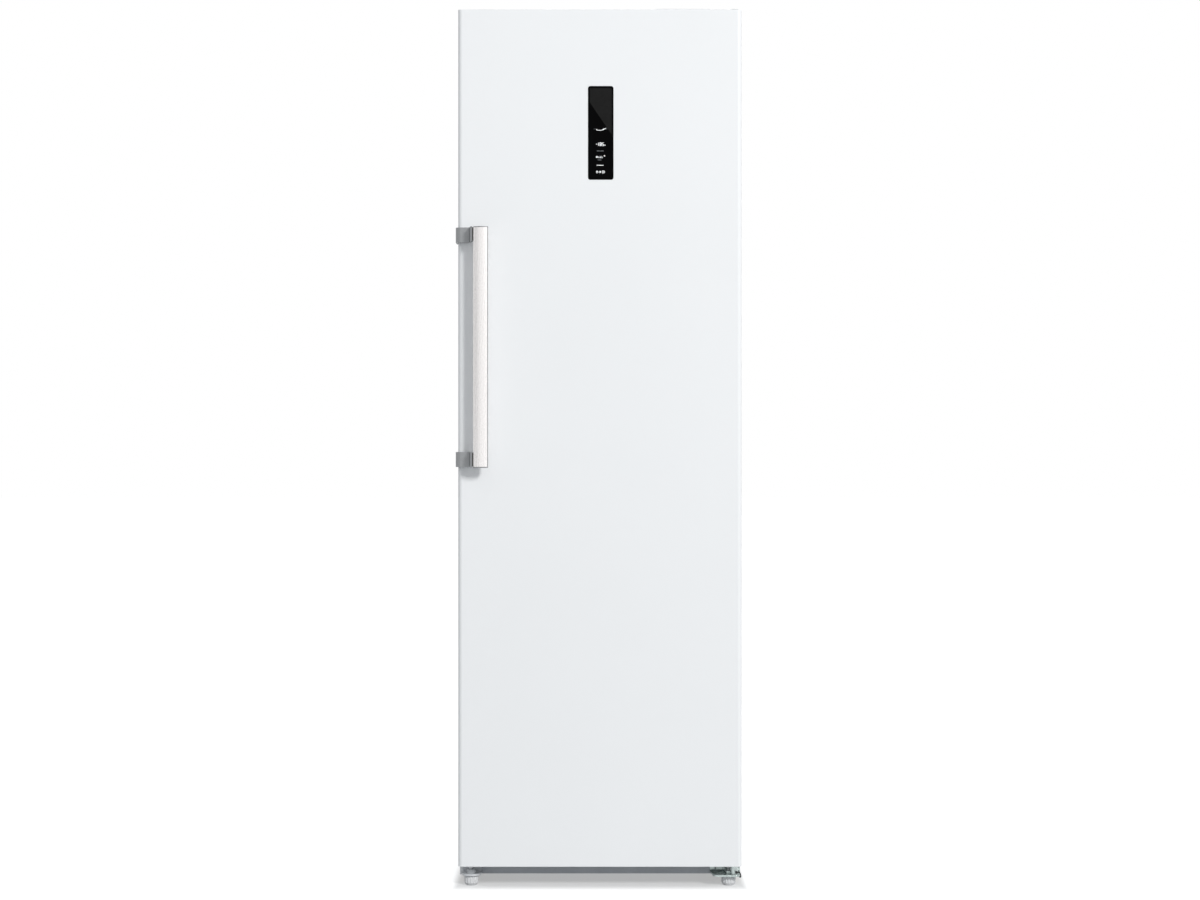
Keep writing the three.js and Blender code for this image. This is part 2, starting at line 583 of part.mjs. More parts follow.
// ---------------------------------------------------------------- hinges
/** Upper hinge: a joggled plate in the cabinet top's pocket with a pin that drops into the door. */
function topHinge() {
  const low = POCKET_FLOOR;
  const high = DOOR_TOP + FIT;
  const rear = COVER_BACK - COVER_WALL - 1;
  const fold = CABINET_FRONT + 8;
  const side = outline([
    [HINGE_Y - TOP_PLATE_WIDTH / 2, high], [fold, high], [fold + 4, low], [rear, low],
    [rear, low + TOP_PLATE], [fold + 4 + TOP_PLATE / 2, low + TOP_PLATE], [fold + TOP_PLATE / 2, high + TOP_PLATE],
    [HINGE_Y - TOP_PLATE_WIDTH / 2, high + TOP_PLATE],
  ]);
  const plan = new THREE.Shape();
  const nose = HINGE_INSET - 2;
  const inCover = SIDE - EDGE_RADIUS - COVER_WALL - 1;
  plan.moveTo(inCover, rear);
  plan.lineTo(HINGE_X - TOP_PLATE_WIDTH, rear);
  plan.lineTo(HINGE_X - TOP_PLATE_WIDTH, fold + 10);
  plan.lineTo(HINGE_X - nose, HINGE_Y);
  plan.absarc(HINGE_X, HINGE_Y, nose, Math.PI, 2 * Math.PI, false);
  plan.lineTo(HINGE_X + nose, CABINET_FRONT - 14);
  plan.lineTo(inCover, CABINET_FRONT - 2);
  plan.lineTo(inCover, rear);
  const plate = runX(side, HINGE_X - TOP_PLATE_WIDTH - THROUGH, SIDE).intersect(
    raiseZ(plan, low - THROUGH, high + 2 * TOP_PLATE));
  return join(plate, roundZ(HINGE_X, HINGE_Y, PIN_RADIUS, DOOR_TOP - BUSH_HEIGHT, high + 1));
}

/** Plastic cover over the upper hinge, high over the wiring and lower at the hinge end. */
function topHingeCover() {
  const right = COVER_RIGHT;
  const left = COVER_LEFT;
  const front = DOOR_FRONT + COVER_FRONT;
  const lowTop = COVER_TOP - COVER_LOW;
  const face = (inset, bottom) => outline([
    [left + inset, bottom], [right - inset, bottom], [right - inset, lowTop - inset],
    [left + COVER_PLATEAU + 8, lowTop - inset], [left + COVER_PLATEAU, COVER_TOP - inset],
    [left + 6 + inset, COVER_TOP - inset], [left + inset, COVER_TOP - 5],
  ]);
  const body = runY(face(0, POCKET_FLOOR), front, COVER_BACK);
  const inside = runY(face(COVER_WALL, POCKET_FLOOR - THROUGH), front + COVER_WALL, COVER_BACK - COVER_WALL);
  const overDoor = block(left - THROUGH, right + THROUGH, front - THROUGH, CABINET_FRONT + FIT,
    POCKET_FLOOR - THROUGH, DOOR_TOP + TOP_PLATE + 3 * FIT);
  return cut(body, inside, overDoor);
}

/** Lower hinge: zinc angle on the front rail; its plate carries the pin and the right foot. */
function lowerHinge() {
  const top = HINGE_PLATE_Z + HINGE_PLATE;
  const left = SIDE - HINGE_WIDTH;
  const right = SIDE - 0.5;
  const front = HINGE_Y - 13;
  const plan = new THREE.Shape();
  plan.moveTo(left - 4, CABINET_FRONT - FIT);
  plan.lineTo(left, front + 12);
  plan.absarc(left + 12, front + 12, 12, Math.PI, 1.5 * Math.PI, false);
  plan.lineTo(right - 12, front);
  plan.absarc(right - 12, front + 12, 12, -Math.PI / 2, 0, false);
  plan.lineTo(right, CABINET_FRONT - FIT);
  plan.closePath();
  const upright = block(left - 4, right, CABINET_FRONT - FIT - HINGE_PLATE, CABINET_FRONT - FIT,
    HINGE_PLATE_Z, HINGE_PLATE_Z + HINGE_UPRIGHT);
  const gusset = runX(outline([
    [CABINET_FRONT - HINGE_PLATE - 14, top - 1], [CABINET_FRONT - FIT - 1, top - 1],
    [CABINET_FRONT - FIT - 1, top + 14],
  ]), left + 6, left + 9);
  const stemHole = roundZ(FOOT_X, FOOT_Y, holeRadius(STEM_RADIUS, STEM_RUNNING),
    HINGE_PLATE_Z - THROUGH, top + THROUGH);
  const pin = roundZ(HINGE_X, HINGE_Y, PIN_RADIUS, top - 1, DOOR_BOTTOM + BUSH_HEIGHT);
  const collar = roundZ(HINGE_X, HINGE_Y, PIN_RADIUS + 3, top - 1, DOOR_BOTTOM - 2.5);
  return cut(join(raiseZ(plan, HINGE_PLATE_Z, top), upright, gusset, pin, collar), stemHole);
}

/** Left foot bracket: a smaller angle with the nut boss for the foot. */
function leftFootBracket() {
  const top = HINGE_PLATE_Z + HINGE_PLATE;
  const half = FOOT_BRACKET_WIDTH / 2;
  const x = -FOOT_X;
  const plan = new THREE.Shape();
  plan.moveTo(x - half, CABINET_FRONT - FIT);
  plan.lineTo(x - half, FOOT_Y);
  plan.absarc(x, FOOT_Y, half, Math.PI, 2 * Math.PI, false);
  plan.lineTo(x + half, CABINET_FRONT - FIT);
  plan.closePath();
  const upright = block(x - half, x + half, CABINET_FRONT - FIT - 3, CABINET_FRONT - FIT,
    HINGE_PLATE_Z, HINGE_PLATE_Z + HINGE_UPRIGHT);
  const boss = roundZ(x, FOOT_Y, STEM_RADIUS + 4, top - 1, top + 8);
  const hole = roundZ(x, FOOT_Y, holeRadius(STEM_RADIUS, STEM_RUNNING),
    HINGE_PLATE_Z - THROUGH, top + 3 * THROUGH);
  return cut(join(raiseZ(plan, HINGE_PLATE_Z, top), upright, boss), hole);
}

place(cabinet, 'top_hinge_bracket', topHinge(), ZINC, [0, 0, FIT]);
place(cabinet, 'top_hinge_cover', topHingeCover(), CAP_WHITE);
place(cabinet, 'lower_hinge_bracket', lowerHinge(), ZINC);
place(cabinet, 'left_foot_bracket', leftFootBracket(), ZINC);

// ---------------------------------------------------------------- feet and rollers
/** A foot: fluted grip with a chamfered sole and a stem that screws into its bracket. */
function frontFoot() {
  const grip = new THREE.Shape();
  const steps = FOOT_RIBS * 4;
  for (let index = 0; index < steps; index += 1) {
    const angle = (index / steps) * 2 * Math.PI;
    const radius = index % 4 < 2 ? FOOT_RADIUS : FOOT_RADIUS - FOOT_RIB;
    const point = [radius * Math.cos(angle), radius * Math.sin(angle)];
    if (index === 0) grip.moveTo(...point);
    else grip.lineTo(...point);
  }
  grip.closePath();
  const envelope = solid(new THREE.LatheGeometry([
    [0, 0], [FOOT_RADIUS - 4, 0], [FOOT_RADIUS + 1, 6], [FOOT_RADIUS + 1, FOOT_HEIGHT - 3],
    [FOOT_RADIUS - 1.5, FOOT_HEIGHT], [0, FOOT_HEIGHT],
  ].map(([r, z]) => new THREE.Vector2(r, z)), 16).rotateX(Math.PI / 2));
  const sole = raiseZ(grip, -THROUGH, FOOT_HEIGHT + THROUGH).intersect(envelope);
  return join(sole, roundZ(0, 0, STEM_RADIUS, FOOT_HEIGHT - 1, FOOT_HEIGHT + STEM_LENGTH));
}

/** A grooved roller with its axle ends. */
function roller() {
  const half = ROLLER_WIDTH / 2;
  const wheel = new THREE.LatheGeometry([
    [0, -half], [ROLLER_RADIUS - 5, -half], [ROLLER_RADIUS - 4, -half + 2], [ROLLER_RADIUS - 1.5, -half + 2],
    [ROLLER_RADIUS, -half + 3.5], [ROLLER_RADIUS, half - 3.5], [ROLLER_RADIUS - 1.5, half - 2],
    [ROLLER_RADIUS - 4, half - 2], [ROLLER_RADIUS - 5, half], [0, half],
  ].map(([r, z]) => new THREE.Vector2(r, z)), 16).rotateZ(-Math.PI / 2);
  const reach = half + FORK_GAP + BRACKET_SHEET;
  return join(solid(wheel), roundX(0, 0, AXLE_RADIUS, -reach, reach));
}

/** The fork over a roller: a folded channel that hangs under the mounting plate. */
function rollerFork() {
  const inner = ROLLER_WIDTH / 2 + FORK_GAP;
  const outer = inner + BRACKET_SHEET;
  const top = PLATE_Z - FIT;
  const half = FORK_DEPTH / 2;
  const cheek = new THREE.Shape();
  cheek.moveTo(-half, top);
  cheek.lineTo(-half * 0.4, ROLLER_RADIUS - 8);
  cheek.lineTo(half * 0.4, ROLLER_RADIUS - 8);
  cheek.lineTo(half, top);
  cheek.closePath();
  const body = runX(cheek, -outer, outer);
  const gap = block(-inner, inner, -half - THROUGH, half + THROUGH, 0, top - BRACKET_SHEET);
  const axleHole = roundX(0, ROLLER_RADIUS, holeRadius(AXLE_RADIUS, AXLE_RUNNING),
    -outer - THROUGH, outer + THROUGH);
  return cut(body, gap, axleHole);
}

const ROLLER_Y = CABINET_BACK - ROLLER_INSET;
for (const [side, x] of [['left', -1], ['right', 1]]) {
  place(cabinet, `rear_${side}_roller_fork`, rollerFork(), GALVANISED, [x * ROLLER_X, ROLLER_Y, 0]);
  place(freezer, `rear_${side}_roller`, roller(), BLACK_PLASTIC, [x * ROLLER_X, ROLLER_Y, ROLLER_RADIUS]);
  place(freezer, `front_${side}_foot`, frontFoot(), FOOT_GREY, [x * FOOT_X, FOOT_Y, 0]);
}

// ---------------------------------------------------------------- compressor bay
const POT_BASE = PLATE_TOP + GROMMET_HEIGHT;
const POT_Y = BAY_MIDDLE;
const STUB_X = POT_X - POT_RADIUS * POT_STRETCH - 14; // where the pipe stubs end
const SUCTION = { y: POT_Y - 20, z: POT_BASE + 78 };
const DISCHARGE = { y: POT_Y + 20, z: POT_BASE + 54 };

/** The mounting plate across the bay, its front and rear edges folded down. */
function compressorPlate() {
  const front = BAY_FRONT + 2 * FIT;
  const back = CABINET_BACK - 8;
  const lip = PLATE_Z - 10;
  return runX(outline([
    [front, lip], [front + PLATE_SHEET, lip], [front + PLATE_SHEET, PLATE_Z], [back - PLATE_SHEET, PLATE_Z],
    [back - PLATE_SHEET, lip], [back, lip], [back, PLATE_TOP], [front, PLATE_TOP],
  ]), -BAY_SIDE + SHEET + 2 * FIT, BAY_SIDE - SHEET - 2 * FIT);
}

/** The welded pot, its two halves meeting in a rim; grown by a gap for what fits around it. */
function pot(grow) {
  const r = POT_RADIUS + grow;
  const h = POT_HEIGHT;
  const profile = [
    [0, 0], [r - 14, 0], [r - 3, 8], [r, 20], [r, 62], [r + 3, 64], [r + 3, 69], [r, 71],
    [r - 1, 92], [r - 8, 118], [r - 24, 137], [r - 44, h - 2], [0, h],
  ].map(([x, z]) => new THREE.Vector2(x, z));
  const turned = new THREE.LatheGeometry(profile, 18).rotateX(Math.PI / 2);
  return solid(turned.scale(POT_STRETCH, 1, 1).translate(POT_X, POT_Y, POT_BASE));
}

/** The compressor: pot, foot plate, four rubber mounts and the pipe stubs. */
function compressor() {
  const reachX = POT_RADIUS * POT_STRETCH + 8;
  const reachY = POT_RADIUS - 6;
  const footPlate = raiseZ(roundedRectangle(POT_X - reachX - 12, POT_X + reachX + 12,
    POT_Y - reachY, POT_Y + reachY, 14), POT_BASE, POT_BASE + 3);
  let body = join(pot(0), footPlate);
  for (const x of [-reachX, reachX]) {
    for (const y of [-reachY + 14, reachY - 14]) {
      const mount = [
        [0, 0], [GROMMET_RADIUS, 0], [GROMMET_RADIUS - 3, 5], [GROMMET_RADIUS - 3, GROMMET_HEIGHT - 1],
        [GROMMET_RADIUS - 1, GROMMET_HEIGHT + 4], [GROMMET_RADIUS - 4, GROMMET_HEIGHT + 7],
        [0, GROMMET_HEIGHT + 7],
      ].map(([r, z]) => new THREE.Vector2(r, z));
      const rubber = new THREE.LatheGeometry(mount, 8).rotateX(Math.PI / 2);
      body = join(body, solid(rubber.translate(POT_X + x, POT_Y + y, PLATE_TOP + FIT)));
    }
  }
  const stub = ({ y, z }) => roundX(y, z, TUBE_RADIUS + 1.2, STUB_X, POT_X, 12);
  return join(body, stub(SUCTION), stub(DISCHARGE));
}

/** Cover over the start relay, shaped to the pot's side. */
function relayCover() {
  const inner = POT_X + POT_RADIUS * POT_STRETCH - 8;
  const outer = inner + RELAY_DEPTH;
  const z0 = POT_BASE + 16;
  const box = raiseZ(roundedRectangle(inner, outer, POT_Y - RELAY_WIDTH / 2, POT_Y + RELAY_WIDTH / 2,
    [6, 6, 0, 0]), z0, z0 + RELAY_HEIGHT);
  const clip = block(outer - 1, outer + 1.5, POT_Y - 8, POT_Y + 8, z0 + 12, z0 + RELAY_HEIGHT - 12);
  return cut(join(box, clip), pot(FIT));
}

/** Open dish on the compressor's warm top. */
function evaporationTray() {
  const base = POT_BASE + POT_HEIGHT + FIT;
  const dish = (inset, bottom, top) => {
    const x = TRAY_WIDTH / 2 - inset;
    const y = TRAY_DEPTH / 2 - inset;
    const up = (a, b, h) => new THREE.Vector3(POT_X + a, POT_Y + b, h);
    return taperedBody([[-x + 7, x - 7, -y + 7, y - 7, 12, bottom], [-x, x, -y, y, 16, top]], up);
  };
  const rim = raiseZ(roundedRectangle(POT_X - TRAY_WIDTH / 2 - 4, POT_X + TRAY_WIDTH / 2 + 4,
    POT_Y - TRAY_DEPTH / 2 - 4, POT_Y + TRAY_DEPTH / 2 + 4, 18), base + TRAY_HEIGHT - 2, base + TRAY_HEIGHT);
  return cut(join(dish(0, base, base + TRAY_HEIGHT), rim),
    dish(TRAY_WALL, base + TRAY_WALL, base + TRAY_HEIGHT + THROUGH));
}

/** Hot gas pipe from the compressor up to the condenser in the walls. */
function dischargePipe() {
  const { y, z } = DISCHARGE;
  const x = STUB_X - 26;
  const top = BAY_TOP - SHEET - 2 * FIT;
  return pipe([
    [STUB_X - FIT, y, z], [STUB_X - 14, y, z], [x, y, z + 12], [x, y, z + 60], [x, y, top - 12], [x, y, top],
  ], TUBE_RADIUS, 15);
}

/** Suction pipe from the evaporator, out of the bay's front wall to the compressor. */
function suctionPipe() {
  const { y, z } = SUCTION;
  const x = STUB_X - 18;
  const wall = BAY_FRONT + 2 * FIT;
  return pipe([
    [STUB_X - FIT, y, z], [STUB_X - 12, y, z], [x, y - 10, z + 6], [x, y - 22, z + 40],
    [x, y - 34, z + 66], [x, wall + 12, z + 74], [x, wall, z + 74],
  ], TUBE_RADIUS, 17);
}

/** Filter drier: a copper cartridge drawn in to a pipe at each end. */
function filterDrier() {
  const y = POT_Y + 36;
  const z = POT_BASE + 52;
  const r = DRIER_RADIUS;
  const profile = [
    [0, 0], [TUBE_RADIUS, 0], [r, 14], [r, DRIER_LENGTH - 14], [TUBE_RADIUS, DRIER_LENGTH], [0, DRIER_LENGTH],
  ].map(([x, up]) => new THREE.Vector2(x, up));
  const cartridge = solid(new THREE.LatheGeometry(profile, 16).rotateX(Math.PI / 2).translate(DRIER_X, y, z));
  const top = BAY_TOP - SHEET - 2 * FIT;
  const outlet = pipe([
    [DRIER_X, y, z + DRIER_LENGTH - 2], [DRIER_X, y, z + DRIER_LENGTH + 16], [DRIER_X, y, top],
  ], TUBE_RADIUS - 1, 3, 6);
  const inlet = pipe([
    [DRIER_X, y, z + 2], [DRIER_X, y, z - 12], [DRIER_X, y - 14, z - 26], [DRIER_X, y - 60, z - 26],
    [DRIER_X, BAY_FRONT + 14, z - 26], [DRIER_X, BAY_FRONT + 2 * FIT, z - 26],
  ], TUBE_RADIUS - 0.5, 12, 6);
  return join(cartridge, outlet, inlet);
}

const BOX_BACK = CABINET_BACK - 26;
const INLET_Z = PLATE_TOP + FIT + 30;

/** Control box on the mounting plate, with a lid step and a pocket for the mains inlet. */
function controlBox() {
  const x0 = BOX_X - BOX_WIDTH / 2;
  const x1 = BOX_X + BOX_WIDTH / 2;
  const y0 = BOX_BACK - BOX_DEPTH;
  const z0 = PLATE_TOP + FIT;
  const base = raiseZ(roundedRectangle(x0, x1, y0, BOX_BACK, 4), z0, z0 + BOX_HEIGHT * 0.7);
  const lid = raiseZ(roundedRectangle(x0 - 2, x1 + 2, y0 - 2, BOX_BACK + 2, 6),
    z0 + BOX_HEIGHT * 0.7 - 1, z0 + BOX_HEIGHT);
  const w = INLET_WIDTH / 2 - 5;
  const h = INLET_HEIGHT / 2 - 2;
  const pocket = runY(roundedRectangle(BOX_X - w, BOX_X + w, INLET_Z - h, INLET_Z + h, 3),
    BOX_BACK - INLET_DEPTH, BOX_BACK + THROUGH);
  return cut(join(base, lid), pocket);
}

/** Mains inlet: flanged socket with three blades in its recess. */
function powerInlet() {
  const w = INLET_WIDTH / 2;
  const h = INLET_HEIGHT / 2;
  const flange = runY(roundedRectangle(BOX_X - w, BOX_X + w, INLET_Z - h, INLET_Z + h, 4),
    BOX_BACK + FIT, BOX_BACK + FIT + 2);
  const body = runY(roundedRectangle(BOX_X - w + 5 + FIT, BOX_X + w - 5 - FIT, INLET_Z - h + 2 + FIT,
    INLET_Z + h - 2 - FIT, 3), BOX_BACK - INLET_DEPTH + FIT, BOX_BACK + FIT + 1);
  const recess = runY(roundedRectangle(BOX_X - w + 8, BOX_X + w - 8, INLET_Z - h + 4.5, INLET_Z + h - 4.5,
    [1, 5, 5, 1]), BOX_BACK + 2 - INLET_RECESS, BOX_BACK + THROUGH);
  const blade = (x, z) => block(BOX_X + x - 1, BOX_X + x + 1, BOX_BACK - INLET_RECESS, BOX_BACK - 2,
    INLET_Z + z - 2.5, INLET_Z + z + 2.5);
  return join(cut(join(flange, body), recess), blade(-7, -1.5), blade(0, 2.5), blade(7, -1.5));
}

place(cabinet, 'compressor_plate', compressorPlate(), GALVANISED);
place(cabinet, 'compressor', compressor(), POT_BLACK);
place(cabinet, 'start_relay_cover', relayCover(), BLACK_PLASTIC);
place(cabinet, 'evaporation_tray', evaporationTray(), BLACK_PLASTIC);
place(cabinet, 'discharge_pipe', dischargePipe(), COPPER);
place(cabinet, 'suction_pipe', suctionPipe(), COPPER);
place(cabinet, 'filter_drier', filterDrier(), COPPER);
place(cabinet, 'control_box', controlBox(), GREY_PLASTIC);
place(cabinet, 'power_inlet', powerInlet(), BLACK_PLASTIC);

// ---------------------------------------------------------------- air duct, evaporator and fan
const DUCT_BACK = DUCT_FRONT + DUCT_WALL;
const FAN_Y = (DUCT_FRONT + ROOM_BACK) / 2 - 8; // middle of the blades
const SHROUD_INNER = FAN_RADIUS + FAN_TIP_GAP;
const MOTOR_FRONT = FAN_Y + FAN_DEPTH / 2 + 5;
const MOTOR_BORE = 9;

/** Slot with slanted ends, drawn in X and Z. */
const slot = (x, z, width, height) => outline([
  [x - width / 2, z - height / 2], [x + width / 2 - height, z - height / 2],
  [x + width / 2, z + height / 2], [x - width / 2 + height, z + height / 2],
]);

/** Rear wall of the room: a shallow channel with outlet slots at every level and a fan grille. */
function ductCover() {
  const half = ROOM_SIDE - DUCT_SIDE_GAP;
  const plan = outline([
    [-half, ROOM_BACK], [-half, DUCT_FRONT + 14], [-half + 14, DUCT_FRONT], [half - 14, DUCT_FRONT],
    [half, DUCT_FRONT + 14], [half, ROOM_BACK], [half - DUCT_WALL, ROOM_BACK],
    [half - DUCT_WALL, DUCT_FRONT + 14 + DUCT_WALL / 2], [half - 14 - DUCT_WALL / 2, DUCT_BACK],
    [-half + 14 + DUCT_WALL / 2, DUCT_BACK], [-half + DUCT_WALL, DUCT_FRONT + 14 + DUCT_WALL / 2],
    [-half + DUCT_WALL, ROOM_BACK],
  ]);
  let body = raiseZ(plan, STEP_TOP - THROUGH, ROOM_TOP + THROUGH).intersect(room(-FIT));
  const openings = [];
  for (let level = 0; level < SHELF_COUNT; level += 1) {
    for (let row = 0; row < SLOT_ROWS; row += 1) {
      const z = shelfTop(level) + SHELF_PITCH * 0.68 + row * SLOT_PITCH;
      for (const side of [-1, 1]) openings.push(slot(side * SLOT_OFFSET, z, SLOT_WIDTH, SLOT_HEIGHT));
    }
  }
  for (let row = 0; row < SLOT_ROWS; row += 1) {
    openings.push(slot(0, STEP_TOP + 34 + row * SLOT_PITCH, 3 * SLOT_WIDTH, SLOT_HEIGHT));
  }
  const spokes = 10;
  for (let index = 0; index < spokes; index += 1) {
    const from = (index + 0.12) * (2 * Math.PI / spokes);
    const to = (index + 0.88) * (2 * Math.PI / spokes);
    const near = FAN_HUB + 2;
    const far = FAN_RADIUS;
    const at = (radius, angle) => [radius * Math.cos(angle), FAN_Z + radius * Math.sin(angle)];
    const middle = (from + to) / 2;
    openings.push(outline([at(near, from), at(far, from), at(far, middle), at(far, to), at(near, to)]));
  }
  for (const shape of openings) body = cut(body, runY(shape, DUCT_FRONT - THROUGH, DUCT_BACK + THROUGH));
  return body;
}

/** Evaporator: thin fins threaded on a serpentine tube; the two end plates reach the rear wall. */
function evaporatorCoil() {
  const back = ROOM_BACK - 10;
  const front = back - COIL_DEPTH;
  const pitch = COIL_WIDTH / (COIL_FINS - 1);
  const rise = COIL_HEIGHT / COIL_PASSES;
  const middle = (front + back) / 2;
  const reach = COIL_WIDTH / 2 + 14;
  const path = new THREE.CurvePath();
  for (let pass = 0; pass < COIL_PASSES; pass += 1) {
    const way = pass % 2 === 0 ? 1 : -1;
    const z = COIL_BOTTOM + rise * (pass + 0.5);
    const start = new THREE.Vector3(-way * (reach - rise / 2), middle, z);
    const end = new THREE.Vector3(way * (reach - rise / 2), middle, z);
    path.add(new THREE.LineCurve3(start, end));
    if (pass < COIL_PASSES - 1) {
      const beyond = (up) => end.clone().add(new THREE.Vector3(way * rise * 0.66, 0, up));
      const next = end.clone().add(new THREE.Vector3(0, 0, rise));
      path.add(new THREE.CubicBezierCurve3(end, beyond(0), beyond(rise), next));
    }
  }
  const points = [];
  for (const curve of path.curves) {
    const steps = curve.type === 'LineCurve3' ? 1 : 4;
    for (let step = 0; step < steps; step += 1) points.push(curve.getPoint(step / steps));
  }
  points.push(path.curves[path.curves.length - 1].getPoint(1));
  const ring = 6;
  const sections = points.map((point, index) => {
    const before = points[Math.max(index - 1, 0)];
    const after = points[Math.min(index + 1, points.length - 1)];
    const along = after.clone().sub(before).normalize();
    const side = new THREE.Vector3(0, 1, 0);
    const up = new THREE.Vector3().crossVectors(along, side);
    return Array.from({ length: ring }, (_, k) => {
      const angle = (k / ring) * 2 * Math.PI;
      return point.clone().addScaledVector(side, COIL_TUBE * Math.cos(angle))
        .addScaledVector(up, COIL_TUBE * Math.sin(angle));
    });
  });
  let body = skinned(sections);
  for (let fin = 0; fin < COIL_FINS; fin += 1) {
    const x = -COIL_WIDTH / 2 + fin * pitch;
    const end = fin === 0 || fin === COIL_FINS - 1;
    body = join(body, block(x - COIL_FIN / 2, x + COIL_FIN / 2, front, end ? ROOM_BACK - FIT : back,
      COIL_BOTTOM, COIL_BOTTOM + COIL_HEIGHT));
  }
  return body;
}

/** Defrost heater: a rod below the fins on two brackets from the rear wall. */
function defrostHeater() {
  const z = COIL_BOTTOM - 22;
  const y = ROOM_BACK - 10 - COIL_DEPTH / 2;
  const reach = COIL_WIDTH / 2 - 6;
  const rod = pipe([
    [-reach, y, z + 10], [-reach + 20, y, z], [-reach / 2, y, z], [0, y, z], [reach / 2, y, z],
    [reach - 20, y, z], [reach, y, z + 10],
  ], HEATER_RADIUS, 9, 6);
  const arm = (x) => block(x - 1.5, x + 1.5, y - 8, ROOM_BACK - FIT, z - 8, z + 8);
  return join(rod, arm(-reach * 0.7), arm(reach * 0.7));
}

/** Fan shroud: wall with a round throat and a spider that carries the motor. */
function fanShroud() {
  const plateBack = FAN_Y + 2;
  const wall = runY(roundedRectangle(-SHROUD_WIDTH / 2, SHROUD_WIDTH / 2, FAN_Z - SHROUD_HEIGHT / 2,
    FAN_Z + SHROUD_HEIGHT / 2, 12), plateBack - SHROUD_WALL, plateBack);
  const throat = roundY(0, FAN_Z, SHROUD_INNER + SHROUD_WALL, plateBack - SHROUD_WALL, MOTOR_FRONT + 4, 24);
  const hole = roundY(0, FAN_Z, SHROUD_INNER, plateBack - THROUGH - SHROUD_WALL,
    MOTOR_FRONT + THROUGH + 4, 24);
  const motor = roundY(0, FAN_Z, FAN_HUB + 5, MOTOR_FRONT, ROOM_BACK - FIT, 20);
  const bore = roundY(0, FAN_Z, holeRadius(FAN_SHAFT, 0.08), MOTOR_FRONT - THROUGH, MOTOR_FRONT + MOTOR_BORE);
  let body = cut(join(wall, throat), hole);
  for (let arm = 0; arm < 3; arm += 1) {
    const turn = (arm / 3) * 2 * Math.PI;
    const spoke = new THREE.BoxGeometry(SHROUD_INNER, 4, 7);
    spoke.translate(SHROUD_INNER / 2 + 2, MOTOR_FRONT + 2, 0).rotateY(turn).translate(0, 0, FAN_Z);
    body = join(body, solid(spoke));
  }
  return cut(join(body, motor), bore);
}

/** Axial fan: hub, shaft and twisted blades. */
function fan() {
  const hub = solid(new THREE.LatheGeometry([
    [0, -FAN_DEPTH / 2], [FAN_HUB - 6, -FAN_DEPTH / 2], [FAN_HUB - 1, -FAN_DEPTH / 2 + 4],
    [FAN_HUB, FAN_DEPTH / 2], [0, FAN_DEPTH / 2],
  ].map(([r, y]) => new THREE.Vector2(r, y)), 20));
  let body = join(hub, roundY(0, 0, FAN_SHAFT, 0, MOTOR_FRONT - FAN_Y + MOTOR_BORE - 1));
  const stations = [FAN_HUB - 3, (FAN_HUB + FAN_RADIUS) / 2, FAN_RADIUS];
  for (let index = 0; index < FAN_BLADES; index += 1) {
    const sections = stations.map((radius) => {
      const share = (radius - FAN_HUB) / (FAN_RADIUS - FAN_HUB);
      const pitch = THREE.MathUtils.lerp(0.85, 0.42, share); // the blade flattens towards its tip
      const chord = THREE.MathUtils.lerp(17, 27, share);
      const sweep = THREE.MathUtils.lerp(0, 6, share);
      const section = [[-0.5, 0], [-0.2, 1.5], [0.2, 1.2], [0.5, 0], [0.2, 0.1], [-0.2, 0.3]];
      return section.map(([along, lift]) => new THREE.Vector3(
        radius,
        along * chord * Math.sin(pitch) + lift * Math.cos(pitch),
        along * chord * Math.cos(pitch) - lift * Math.sin(pitch) + sweep,
      ));
    });
    const turn = (index / FAN_BLADES) * 2 * Math.PI;
    const axis = new THREE.Vector3(0, 1, 0);
    body = join(body, skinned(sections.map((ring) => ring.map((p) => p.applyAxisAngle(axis, turn)))));
  }
  return body;
}

/** Lamp lens on the ceiling. */
function lamp() {
  const y = CABINET_FRONT + LAMP_SETBACK;
  const half = LAMP_WIDTH / 2;
  const top = ROOM_TOP - FIT;
  return taperedBody([
    [-half + 5, half - 5, y + 5, y + LAMP_DEPTH - 5, 6, top - LAMP_HEIGHT],
    [-half, half, y, y + LAMP_DEPTH, 8, top - LAMP_HEIGHT / 2],
    [-half, half, y, y + LAMP_DEPTH, 8, top],
  ], (x, u, h) => new THREE.Vector3(x, u, h));
}

place(cabinet, 'duct_cover', ductCover(), INNER_WHITE);
place(cabinet, 'evaporator_coil', evaporatorCoil(), ALUMINIUM);
place(cabinet, 'defrost_heater', defrostHeater(), ALUMINIUM);
place(cabinet, 'fan_shroud', fanShroud(), GREY_PLASTIC);
place(cabinet, 'interior_lamp', lamp(), LENS);
place(freezer, 'evaporator_fan', fan(), BLACK_PLASTIC, [0, FAN_Y, FAN_Z]);

// ---------------------------------------------------------------- shelves, drawers and flaps
/** Glass shelf with a moulded trim along its front edge. */
function shelf() {
  const half = ROOM_SIDE - SHELF_SIDE_GAP;
  const back = DUCT_FRONT - 2;
  return runX(outline([
    [SHELF_FRONT, -SHELF_TRIM], [SHELF_FRONT + 3, -SHELF_TRIM], [SHELF_FRONT + TRIM_DEPTH, -SHELF_THICKNESS],
    [back, -SHELF_THICKNESS], [back, 0], [SHELF_FRONT + 1.5, 0], [SHELF_FRONT, -1.5],
  ]), -half, half);
}

